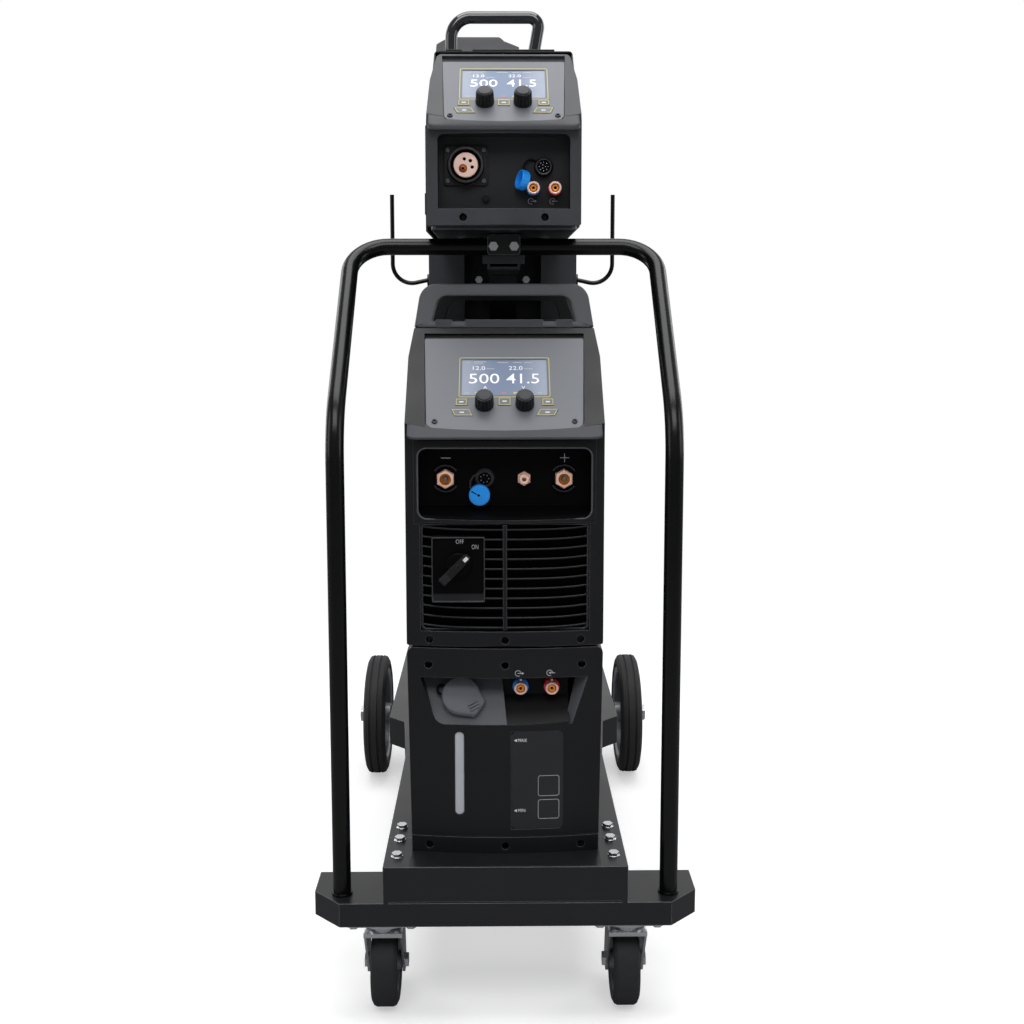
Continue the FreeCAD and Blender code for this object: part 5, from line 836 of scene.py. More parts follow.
    def blank(self) -> bpy.types.Mesh:
        """The solids as a plain mesh, to cut with or to repeat.

        Returns:
            The mesh, without finishes.
        """
        mesh = bpy.data.meshes.new("blank")
        self.mesh.to_mesh(mesh)
        self.mesh.free()
        return mesh

    def done(self, name: str, body: str, *skins: Skin, slot: str = "", nodes: Sequence[str] = (),
             sharp: float = 32.0) -> bpy.types.Object:
        """Turns what was gathered into a piece.

        Args:
            name: the piece's name.
            body: the body that it rides on.
            skins: its finishes.
            slot: the record's material slot; not used.
            nodes: the CAD nodes that it stands for.
            sharp: degrees above which an edge stays sharp.

        Returns:
            The piece.
        """
        return put(name, shaded(self.blank(), sharp), body, skins, nodes)


def box_outline(x0: float, x1: float, y0: float, y1: float) -> list[Point]:
    """The corners of an upright rectangle."""
    return [(x0, y0), (x1, y0), (x1, y1), (x0, y1)]


def rounded(outline: Sequence[Point], radius: float | Sequence[float], steps: int = 5) -> list[Point]:
    """Rounds every corner of an outline.

    Args:
        outline: the sharp corners.
        radius: the radius of the rounding, or one for each corner.
        steps: points on each arc.

    Returns:
        The rounded outline.
    """
    made = []
    count = len(outline)
    for i, corner in enumerate(outline):
        bend = radius if isinstance(radius, (int, float)) else radius[i]
        here = Vector(corner)
        before = (Vector(outline[i - 1]) - here).normalized()
        after = (Vector(outline[(i + 1) % count]) - here).normalized()
        half = before.angle(after) / 2
        if half > 1.56:
            made += [tuple(here)] * (steps + 1)
            continue
        reach = bend / math.tan(half)
        middle = here + (before + after).normalized() * (bend / math.sin(half))
        start, end = here + before * reach - middle, here + after * reach - middle
        for k in range(steps + 1):
            spot = start.lerp(end, k / steps).normalized() * bend
            made.append(tuple(middle + spot))
    return [p for i, p in enumerate(made) if i == 0 or (Vector(p) - Vector(made[i - 1])).length > 1e-6]


def shrunk(outline: Sequence[Point], by: float) -> list[Point]:
    """Moves every corner of a convex outline inwards by the same distance from its sides.

    Args:
        outline: the corners in order, turning left.
        by: how far inwards; less than 0 is outwards.

    Returns:
        As many corners, moved.
    """
    made = []
    count = len(outline)
    for i, corner in enumerate(outline):
        here = Vector(corner)
        before = (here - Vector(outline[i - 1])).normalized()
        after = (Vector(outline[(i + 1) % count]) - here).normalized()
        inward = Vector((-before.y, before.x)) + Vector((-after.y, after.x))
        inward = inward / max(1e-6, inward.length)
        lean = max(0.35, inward.dot(Vector((-before.y, before.x))))
        made.append(tuple(here + inward * (by / lean)))
    return made


# A capital's height as a share of the font's size
CAPITAL = 0.72


def words(name: str, body: str, axes: Matrix, skin: Finish,
          items: Sequence[tuple[str, float, Point, float, float]]) -> bpy.types.Object:
    """Flat generic words and numbers on a surface, as one piece.

    Args:
        name: the piece's name.
        body: the body that it rides on.
        axes: the matrix of the surface's axes.
        skin: the print's finish.
        items: text, height of a capital, middle, stretch across and extra weight of each.

    Returns:
        The piece.
    """
    work = bmesh.new()
    for label, height, middle, stretch, weight in items:
        curve = bpy.data.curves.new("letters", "FONT")
        curve.body = label
        curve.align_x = "CENTER"
        curve.align_y = "CENTER"
        curve.size = height / CAPITAL
        curve.offset = weight * curve.size
        curve.extrude = 0.06
        curve.resolution_u = 3
        part = evaluated(linked("letters", curve))
        part.transform(axes @ Matrix.Translation((*middle, 0.0)) @ Matrix.Scale(stretch, 4, (1, 0, 0)))
        work.from_mesh(part)
        bpy.data.meshes.remove(part)
    mesh = bpy.data.meshes.new(name)
    work.to_mesh(mesh)
    work.free()
    return put(name, shaded(mesh), body, [skin])


# Geometry Nodes for what repeats

def node_tree(name: str, sockets: Sequence[tuple[str, str]]) -> tuple[bpy.types.NodeTree, bpy.types.Node]:
    """A geometry tree with named inputs after its geometry.

    Args:
        name: the tree's name.
        sockets: name and socket kind of each input.

    Returns:
        The tree and its input node.
    """
    tree = bpy.data.node_groups.new(name, "GeometryNodeTree")
    tree.interface.new_socket(name="Geometry", in_out="INPUT", socket_type="NodeSocketGeometry")
    for label, kind in sockets:
        tree.interface.new_socket(name=label, in_out="INPUT", socket_type=kind)
    tree.interface.new_socket(name="Geometry", in_out="OUTPUT", socket_type="NodeSocketGeometry")
    return tree, add_node(tree, "NodeGroupInput")


def grown(tree: bpy.types.NodeTree, base: bpy.types.Mesh, values: dict[str, object]) -> bpy.types.Mesh:
    """Runs a geometry tree on a base mesh and hands back a plain mesh.

    Args:
        tree: the tree.
        base: the mesh of its points.
        values: the inputs by name.

    Returns:
        The mesh that it makes.
    """
    holder = linked("holder", base)
    grow = holder.modifiers.new("grow", "NODES")
    grow.node_group = tree
    for item in tree.interface.items_tree:
        if item.in_out == "INPUT" and item.name in values:
            grow[item.identifier] = values[item.name]
    holder.update_tag()
    return evaluated(holder)


def copied(tree: bpy.types.NodeTree, inlet: bpy.types.Node, copies: bpy.types.NodeSocket) -> None:
    """Ends a tree: its copies become a plain mesh that wears the material it is given.

    Args:
        tree: the tree.
        inlet: its input node.
        copies: the socket of its instances.
    """
    plain = add_node(tree, "GeometryNodeRealizeInstances", {0: copies})
    dressed = add_node(tree, "GeometryNodeSetMaterial", {
        "Geometry": plain.outputs[0], "Material": inlet.outputs["Material"]})
    add_node(tree, "NodeGroupOutput", {0: dressed.outputs[0]})


def spots(places: Sequence[tuple[Vector, Sequence[float]]]) -> bpy.types.Mesh:
    """Points with the direction that each one faces, for a tree to work on.

    Args:
        places: each point in metres, with its direction.

    Returns:
        A mesh of points with the attribute facing.
    """
    mesh = bpy.data.meshes.new("spots")
    mesh.from_pydata([p for p, _ in places], [], [])
    way = mesh.attributes.new("facing", "FLOAT_VECTOR", "POINT")
    for i, (_, out) in enumerate(places):
        way.data[i].vector = Vector(out)
    return mesh


@dataclass
class Screws:
    """Screw heads with a socket, set on points that face outwards."""

    head_radius: float = 4.2
    head_height: float = 2.2
    socket_radius: float = 2.1
    socket_depth: float = 1.4
    sides: int = 24
    socket_sides: int = 6
    tree: bpy.types.NodeTree = field(init=False)

    def __post_init__(self) -> None:
        """Builds the tree: a head less its socket, on every point, turned to face out."""
        number = "NodeSocketFloat"
        self.tree, inlet = node_tree("screw heads", [
            ("Head Radius", number), ("Head Height", number), ("Socket Radius", number), ("Socket Depth", number),
            ("Sides", "NodeSocketInt"), ("Socket Sides", "NodeSocketInt"), ("Material", "NodeSocketMaterial")])
        tree = self.tree
        top = maths(tree, "MULTIPLY", inlet.outputs["Head Radius"], 0.82)
        head = add_node(tree, "GeometryNodeMeshCone", {
            "Vertices": inlet.outputs["Sides"], "Radius Top": top,
            "Radius Bottom": inlet.outputs["Head Radius"], "Depth": inlet.outputs["Head Height"]})
        deep = maths(tree, "MULTIPLY", inlet.outputs["Socket Depth"], 2.0)
        socket = add_node(tree, "GeometryNodeMeshCylinder", {
            "Vertices": inlet.outputs["Socket Sides"], "Radius": inlet.outputs["Socket Radius"],
            "Depth": deep})
        lift = add_node(tree, "ShaderNodeCombineXYZ", {"Z": inlet.outputs["Head Height"]})
        sunk = add_node(tree, "GeometryNodeTransform", {"Geometry": socket.outputs[0], "Translation": lift.outputs[0]})
        cut = add_node(tree, "GeometryNodeMeshBoolean", {"Mesh 1": head.outputs[0], "Mesh 2": sunk.outputs[0]},
                       operation="DIFFERENCE")
        way = add_node(tree, "GeometryNodeInputNamedAttribute", {"Name": "facing"}, data_type="FLOAT_VECTOR")
        turn = add_node(tree, "FunctionNodeAlignRotationToVector", {"Vector": way.outputs[0]}, axis="Z")
        dots = add_node(tree, "GeometryNodeMeshToPoints", {"Mesh": inlet.outputs["Geometry"]})
        heads = add_node(tree, "GeometryNodeInstanceOnPoints", {
            "Points": dots.outputs[0], "Instance": cut.outputs[0], "Rotation": turn.outputs[0]})
        copied(tree, inlet, heads.outputs[0])

    def drive(self, name: str, body: str, places: Sequence[tuple[Vector, Sequence[float]]], skin: Finish,
              scale: float = 1.0) -> bpy.types.Object:
        """Sets a head on each place.

        Args:
            name: the piece's name.
            body: the body that the screws ride on.
            places: where each head sits and which way it faces.
            skin: the heads' finish.
            scale: their size against the usual one.

        Returns:
            The piece.
        """
        mesh = grown(self.tree, spots(places), {
            "Head Radius": self.head_radius * scale / MILLI, "Head Height": self.head_height * scale / MILLI,
            "Socket Radius": self.socket_radius * scale / MILLI, "Socket Depth": self.socket_depth * scale / MILLI,
            "Sides": self.sides, "Socket Sides": self.socket_sides, "Material": skin.material()})
        return put(name, shaded(mesh), body, [skin])


@dataclass
class Rings:
    """Round rings in a row, as on a tread or a spool."""

    tree: bpy.types.NodeTree = field(init=False)

    def __post_init__(self) -> None:
        """Builds the tree: a swept ring on each point of a line."""
        number = "NodeSocketFloat"
        self.tree, inlet = node_tree("rings in a row", [
            ("Count", "NodeSocketInt"), ("Pitch", number), ("Ring Radius", number), ("Wire Radius", number),
            ("Centre", "NodeSocketVector"), ("Turn", "NodeSocketVector"),
            ("Segments", "NodeSocketInt"), ("Material", "NodeSocketMaterial")])
        tree = self.tree
        step = add_node(tree, "ShaderNodeCombineXYZ", {"Z": inlet.outputs["Pitch"]})
        line = add_node(tree, "GeometryNodeMeshLine", {"Count": inlet.outputs["Count"], "Offset": step.outputs[0]})
        circle = add_node(tree, "GeometryNodeCurvePrimitiveCircle", {
            "Resolution": inlet.outputs["Segments"], "Radius": inlet.outputs["Ring Radius"]})
        wire = add_node(tree, "GeometryNodeCurvePrimitiveCircle", {
            "Resolution": 6, "Radius": inlet.outputs["Wire Radius"]})
        ring = add_node(tree, "GeometryNodeCurveToMesh", {"Curve": circle.outputs[0], "Profile Curve": wire.outputs[0]})
        rings = add_node(tree, "GeometryNodeInstanceOnPoints", {
            "Points": line.outputs[0], "Instance": ring.outputs[0]})
        moved = add_node(tree, "GeometryNodeTransform", {
            "Geometry": rings.outputs[0], "Translation": inlet.outputs["Centre"],
            "Rotation": inlet.outputs["Turn"]})
        copied(tree, inlet, moved.outputs[0])

    def wind(self, name: str, body: str, skin: Finish, centre: Place, turn: Place, count: int, pitch: float,
             radius: float, wire: float, segments: int = 64) -> bpy.types.Object:
        """Lays the rings out from their first one.

        Args:
            name: the piece's name.
            body: the body that they ride on.
            skin: their finish.
            centre: the middle of the first ring, in millimetres.
            turn: degrees about X, Y and Z that turn the row from Z.
            count: how many rings.
            pitch: the distance from one to the next.
            radius: the radius of the first ring.
            wire: the radius of its wire.
            segments: corners round a ring.

        Returns:
            The piece.
        """
        mesh = grown(self.tree, spots([(Vector(), (0, 0, 1))]), {
            "Count": count, "Pitch": pitch / MILLI, "Ring Radius": radius / MILLI,
            "Wire Radius": wire / MILLI, "Centre": tuple(at(*centre)), "Segments": segments,
            "Turn": tuple(math.radians(t) for t in turn), "Material": skin.material()})
        return put(name, shaded(mesh), body, [skin])


@dataclass
class Rows:
    """Copies of one small piece at even steps, as slats and ridges."""

    tree: bpy.types.NodeTree = field(init=False)

    def __post_init__(self) -> None:
        """Builds the tree: the base mesh on each point of a line."""
        self.tree, inlet = node_tree("copies in a row", [
            ("Count", "NodeSocketInt"), ("Step", "NodeSocketVector"), ("Material", "NodeSocketMaterial")])
        tree = self.tree
        line = add_node(tree, "GeometryNodeMeshLine", {
            "Count": inlet.outputs["Count"], "Offset": inlet.outputs["Step"]})
        copies = add_node(tree, "GeometryNodeInstanceOnPoints", {
            "Points": line.outputs[0], "Instance": inlet.outputs["Geometry"]})
        copied(tree, inlet, copies.outputs[0])

    def lay(self, base: bpy.types.Mesh, count: int, step: Place, skin: Finish) -> bpy.types.Mesh:
        """Repeats a mesh.

        Args:
            base: the first copy, in place.
            count: how many copies.
            step: from one to the next, in millimetres.
            skin: their finish.

        Returns:
            All copies as one mesh.
        """
        return grown(self.tree, base, {
            "Count": count, "Step": tuple(s / MILLI for s in step), "Material": skin.material()})


# The machine's sub-assemblies

@dataclass
class Cart:
    """The welded frame with its bolts."""

    fold_z: float = 188.0
    fold_half: float = 161.0
    fold_gap: float = 1.8
    fold_depth: float = 3.0
    washer_x: float = 152.0
    washer_y: tuple[float, ...] = (35.0, 88.0, 131.0)
    washer_z: float = 240.0

    def dress(self) -> None:
        """Gives the frame's sheet, tube and rod their powder coat, and the bolts their zinc."""
        gap = Stock()
        gap.block((-self.fold_half, -5.0, self.fold_z), (self.fold_half, self.fold_depth, self.fold_z + self.fold_gap))
        carried("front_bumper", POWDER, cutters=[gap.blank()])
        carried_plain(machine_tray=POWDER, bottle_platform=POWDER, column=COLUMN, feeder_beam=COLUMN, push_hoop=TUBE,
                      hoop_clamp=POWDER, cable_hooks=TUBE)
        washers = Stock()
        for x in (-self.washer_x, self.washer_x):
            for y in self.washer_y:
                washers.turned([(5.0, 0.1), (8.6, 0.1), (8.6, 1.2), (8.2, 1.5), (5.0, 1.5)],
                               Matrix.Translation(at(x, y, self.washer_z)) @ Matrix.Scale(1 / MILLI, 4), 32, [0])
        washers.done("tray_washers", "cart", ZINC)
        carried_plain(frame_bolts=ZINC, rear_axle=ZINC)


@dataclass
class Wheels:
    """Castors in front and two large wheels behind."""

    caster_x: float = 172.0
    caster_axle: Point = (79.5, 62.5)
    caster_radius: float = 62.5
    ribs: int = 7
    rib_pitch: float = 3.6
    rib_radius: float = 0.9

    def dress(self, rings: Rings) -> None:
        """Dresses forks, hubs and tyres, and raises the ribs of the treads.

        Args:
            rings: makes the ribs of the treads.
        """
        carried("caster_plates", ZINC)
        for side, sign in (("left", -1), ("right", 1)):
            carried(f"caster_fork_{side}", ZINC)
            carried(f"caster_hub_{side}", HUB)
            carried(f"caster_tyre_{side}", RUBBER)
            start = sign * self.caster_x - self.rib_pitch * (self.ribs - 1) / 2
            rings.wind(f"caster_tread_{side}", f"caster_wheel_{side}", RUBBER, (start, *self.caster_axle),
                       (0, 90, 0), self.ribs, self.rib_pitch, self.caster_radius - 1.0, self.rib_radius, segments=72)
            carried(f"rear_tyre_{side}", TYRE)
            carried(f"rear_rim_{side}", RIM)


@dataclass
class Panel:
    """A sloping control panel with its foil, screen, keys and knobs, and the brow below it."""

    name: str
    body: str
    front: BowedFront
    base_z: float
    foil_half: Point
    foil_s: Point
    foil_sag: float
    knobs: Sequence[Point]
    key_x: float
    key_s: float
    slant_s: float
    middle_s: float
    display_s: float
    screws: Sequence[Point]
    brow_half: float
    brow_profile: Sequence[Point]
    brow_skin: Finish
    figure_size: float
    figure_rise: float
    display_half: float = 60.0
    display_height: float = 67.0
    sink: float = 1.5
    key_gap: float = 0.35
    thickness: float = 2.8
    key_top: float = -0.7
    cut_depth: float = 9.0

    def axes(self) -> Matrix:
        """The panel's own axes: across, up the slope and out of the face."""
        return facing(at(0.0, self.front.face_y, self.base_z), (0.0, -1.0, 1.0))

    def dress(self, screws: Screws) -> None:
        """Dresses the panel with its prints, screen, keys, knobs and screws.

        Args:
            screws: makes the screw heads.
        """
        axes = self.axes()
        self.foil(axes)
        self.brow(axes)
        carried(f"{self.name}_display", SCREEN)
        carried(f"{self.name}_keypad", FOIL)
        self.print_frame(axes)
        self.print_keys(axes)
        self.print_screen(axes)
        for x, s in self.knobs:
            self.knob(axes, x, s)
        out = axes.to_3x3() @ Vector((0, 0, 1))
        heads = [(axes @ Vector((x, s, -self.sink - 0.6)), out.normalized()) for x, s in self.screws]
        screws.drive(f"{self.name}_panel_screws", self.body, heads, BLACKED, 1.05)

    def foil(self, axes: Matrix) -> None:
        """The panel's plate with round lower corners, a sagging lower edge and the window of the display.

        Args:
            axes: the panel's axes.
        """
        low, top = self.foil_half
        bottom = [(low * t, self.foil_s[0] + self.foil_sag * t * t) for t in (-1.0, -0.7, -0.35, 0.0, 0.35, 0.7, 1.0)]
        outline = rounded(bottom + [(top, self.foil_s[1]), (-top, self.foil_s[1])],
                          [11.0, 1.0, 1.0, 1.0, 1.0, 1.0, 11.0, 3.0, 3.0])
        plate = Stock()
        plate.prism(outline, -self.sink - self.thickness, -self.sink, axes)
        holes = [rounded(box_outline(-self.display_half, self.display_half, self.display_s,
                                     self.display_s + self.display_height), 1.5)]
        openings = []
        for points in holes + [shrunk(key, -self.key_gap) for key in self.key_outlines()]:
            opening = Stock()
            opening.prism(points, -self.sink - self.cut_depth, 2.0, axes)
            openings.append(opening.blank())
        mesh = cut_away(plate.blank(), openings)
        node = f"{self.name}_panel"
        put(f"{node}_foil", shaded(mesh), self.body, [FOIL], [node])

    def brow(self, axes: Matrix) -> None:
        """The edge below the foil: it carries on the slope and overhangs the bay.

        Args:
            axes: the panel's axes.
        """
        stock = Stock()
        loops = []
        for share in (-1.0, -0.985, -0.955, -0.9, -0.83, -0.77, -0.5, -0.25, 0.0, 0.25, 0.5, 0.77, 0.83, 0.9, 0.955,
                      0.985, 1.0):
            x = share * self.brow_half
            crest = self.front.bow * (x / self.front.half_width) ** 2 * math.sqrt(2.0)
            fade = max(0.0, abs(share) - 0.9) / 0.1
            inner = self.foil_s[0] + self.foil_sag * (x / self.foil_half[0]) ** 2 - 0.8
            back = inner if abs(share) < 0.8 else crest + 8
            rim = [(s + fade ** 3 * 5.0, d - fade ** 3 * 1.5) for s, d in self.brow_profile]
            lift = 0.12 if abs(share) < 0.8 else -0.35
            points = [(back, lift), *rim, (back, -12.0)]
            loops.append([axes @ Vector((x, s, d)) for s, d in points])
        stock.wrap(loops)
        stock.done(f"{self.name}_brow", self.body, self.brow_skin, slot="bezel_grey", sharp=50.0)

    def key_outlines(self) -> list[list[Point]]:
        """The outlines of the five keys.

        Returns:
            The middle key's corners, then an upright and a slanted key's on each side.
        """
        made = [box_outline(-8.5, 8.5, self.middle_s - 7, self.middle_s + 7)]
        for side in (-1, 1):
            x0, x1 = sorted((side * (self.key_x - 8), side * (self.key_x + 8)))
            made.append(box_outline(x0, x1, self.key_s - 6, self.key_s + 6))
            inner, outer = side * (self.key_x - 14), side * (self.key_x + 14)
            points = [(outer - side * 5, self.slant_s - 6), (inner - side * 2, self.slant_s - 6),
                      (inner + side * 3, self.slant_s + 6), (outer, self.slant_s + 6)]
            made.append(points if side < 0 else points[::-1])
        return made

    def print_frame(self, axes: Matrix) -> None:
        """The pale line round the display.

        Args:
            axes: the panel's axes.
        """
        stock = Stock()
        face = -self.sink
        low, high = self.display_s, self.display_s + self.display_height
        outer, inner = (rounded(box_outline(-self.display_half - wide, self.display_half + wide, low - wide,
                                            high + wide), wide - 0.5) for wide in (4.0, 2.8))
        stock.band(outer, inner, face - 0.3, face + 0.08, axes)
        stock.done(f"{self.name}_display_line", self.body, INK_YELLOW)

    def print_keys(self, axes: Matrix) -> None:
        """The pale outline on each key, with a small white mark inside.

        Args:
            axes: the panel's axes.
        """
        stock = Stock()
        for points in self.key_outlines():
            stock.band(shrunk(points, 0.4), shrunk(points, 1.5), self.key_top - 0.3, self.key_top + 0.07, axes, 0)
            middle = Vector((sum(p[0] for p in points), sum(p[1] for p in points))) / len(points)
            mark = box_outline(middle.x - 3.0, middle.x + 3.0, middle.y - 1.0, middle.y + 1.0)
            stock.prism(mark, self.key_top - 0.3, self.key_top + 0.07, axes, 1)
        stock.done(f"{self.name}_key_prints", f"{self.name}_keys", INK_YELLOW, INK_WHITE)

    def print_screen(self, axes: Matrix) -> None:
        """The figures on the screen, with bars where small print would be and three coloured marks.

        Args:
            axes: the panel's axes.
        """
        face = -self.sink - 1.0
        flat = axes @ Matrix.Translation((0, 0, face + 0.08))
        s = self.display_s
        size, up = self.figure_size, self.figure_rise
        words(f"{self.name}_figures", self.body, flat, INK_LIT, [
            ("500", 19.0 * size, (-28.9, s + 30.5 + up), 1.14, 0.002),
            ("41.5", 19.0 * size, (26.5, s + 30.5 + up), 1.06, 0.002),
            ("12.0", 7.4 * size, (-37.0, s + 51 + up / 2), 1.15, -0.004),
            ("22.0", 7.4 * size, (16.0, s + 51 + up / 2), 1.15, -0.004),
            ("A", 5.5, (-27.0, s + 14.5 + up), 1.1, 0.0), ("V", 5.5, (26.5, s + 14.5 + up), 1.1, 0.0)])
        stock = Stock()
        for x, number in ((-38.0, 0), (15.5, 0), (-1.0, 1)):
            stock.prism(box_outline(x - 3, x + 3, s + 3.4, s + 6.2), face - 0.2, face + 0.1, axes, number)
        bars = ((-53, -48, 62), (-43, -26, 63.4), (-43, -30, 60.6), (-10, 6, 62), (12, 25, 62), (28, 40, 62),
                (-26, -14, 50), (28, 40, 50), (-56, -49, 4.8), (47, 52, 4.8))
        for x0, x1, rise in bars:
            stock.prism(box_outline(x0, x1, s + rise - 0.7, s + rise + 0.7), face - 0.2, face + 0.1, axes, 2)
        stock.done(f"{self.name}_screen_marks", self.body, INK_AMBER, INK_PINK, INK_DIM)

    def knob(self, axes: Matrix, x: float, s: float) -> None:
        """A ribbed skirt with a soft grey cap.

        Args:
            axes: the panel's axes.
            x: the knob's place across.
            s: its place up the slope.
        """
        side = "left" if x < 0 else "right"
        node = f"{self.name}_knob_{side}"
        stock = Stock()
        spot = axes @ Matrix.Translation((x, s, 0))
        lobes, fine = 16, 6
        count = lobes * fine
        turns = [2 * math.pi * k / count for k in range(count)]
        levels = []
        for radius, height, cut in ((13.2, -1.0, 0.4), (13.4, 0.8, 1.5), (12.9, 11.0, 2.0), (12.4, 17.6, 1.9),
                                    (11.3, 18.9, 0.8)):
            reach = [radius - cut * (1.0 - abs(math.cos(lobes * t / 2)) ** 0.5) for t in turns]
            levels.append(([(r * math.cos(t), r * math.sin(t)) for r, t in zip(reach, turns)], height))
        stock.stack(levels, spot)
        stock.turned([(10.4, 18.6), (10.2, 19.8), (9.5, 20.8), (7.6, 21.3), (0, 21.5)], spot, 40, [1])
        stock.done(f"{node}_skin", f"{self.name}_dial_{side}", GLOSS_BLACK, KNOB_GREY,
                   slot="black_plastic", nodes=[node], sharp=38.0)


def flow_marks(name: str, body: str, places: Sequence[tuple[Matrix, float]]) -> None:
    """Plain ring and arrow marks: one points out of its ring and one into it.

    Args:
        name: the piece's name.
        body: the body that they ride on.
        places: the axes of each mark and its arrow's direction, 1 or -1.
    """
    stock = Stock()
    for axes, way in places:
        stock.turned([(3.6, 0.1), (3.6, 0.3), (4.4, 0.3), (4.4, 0.1), (3.6, 0.1)], axes, 20, [0], 300.0)
        stock.prism(box_outline(-0.5, 7.5, -0.45, 0.45), 0.1, 0.32, axes)
        tip = 8.5 if way > 0 else -1.5
        stock.prism([(tip - way * 3.2, -1.8), (tip, 0.0), (tip - way * 3.2, 1.8)][::int(way)], 0.1, 0.3, axes)
    stock.done(name, body, INK_DIM)


def hexagon(radius: float) -> list[Point]:
    """Six corners with one at the top."""
    return polar(radius, [90.0 + 60.0 * k for k in range(6)])


@dataclass
class Coupling:
    """A quick coupling: coloured collar, bright lip and a gold nose in it."""

    length: float = 25.0
    collar: float = 11.2
    lip: float = 9.0
    nose: float = 4.8

    def turn(self, stock: Stock, axes: Matrix, colour: int) -> None:
        """Adds one coupling, whose finishes are the collar's, then 2 for the lip, 3 for the nose and 4 for the black
        painted as shade at the bottom of its bore.

        Args:
            stock: the piece that gets it.
            axes: its foot, with Z along it.
            colour: the number of the collar's finish.
        """
        c, r, n, end = self.collar, self.lip, self.nose, self.length
        stock.turned([(0, 0), (c - 1, 0), (c - 1, 5), (c, 6), (c, end - 11), (c - 1.2, end - 9.5), (r, end - 9.2)],
                     axes, 36, [colour])
        stock.turned([(r - 0.6, end - 9.6), (r - 0.6, end - 5), (r, end - 4.2), (r + 0.1, end - 1.8),
                      (r - 0.8, end - 0.4), (r - 1.6, end), (n + 1.9, end - 0.2), (n + 1.4, end - 1.2),
                      (n + 1.4, end - 9)], axes, 36, [2])
        # The bottom of the nose's bore is painted black as shade
        stock.turned([(n + 1.6, end - 8.8), (n, end - 8), (n, end - 2.4), (n - 0.7, end - 1.6), (n * 0.5, end - 1.8),
                      (n * 0.45, end - 8), (0, end - 8)], axes, 28, [3, 3, 3, 3, 3, 4, 4])


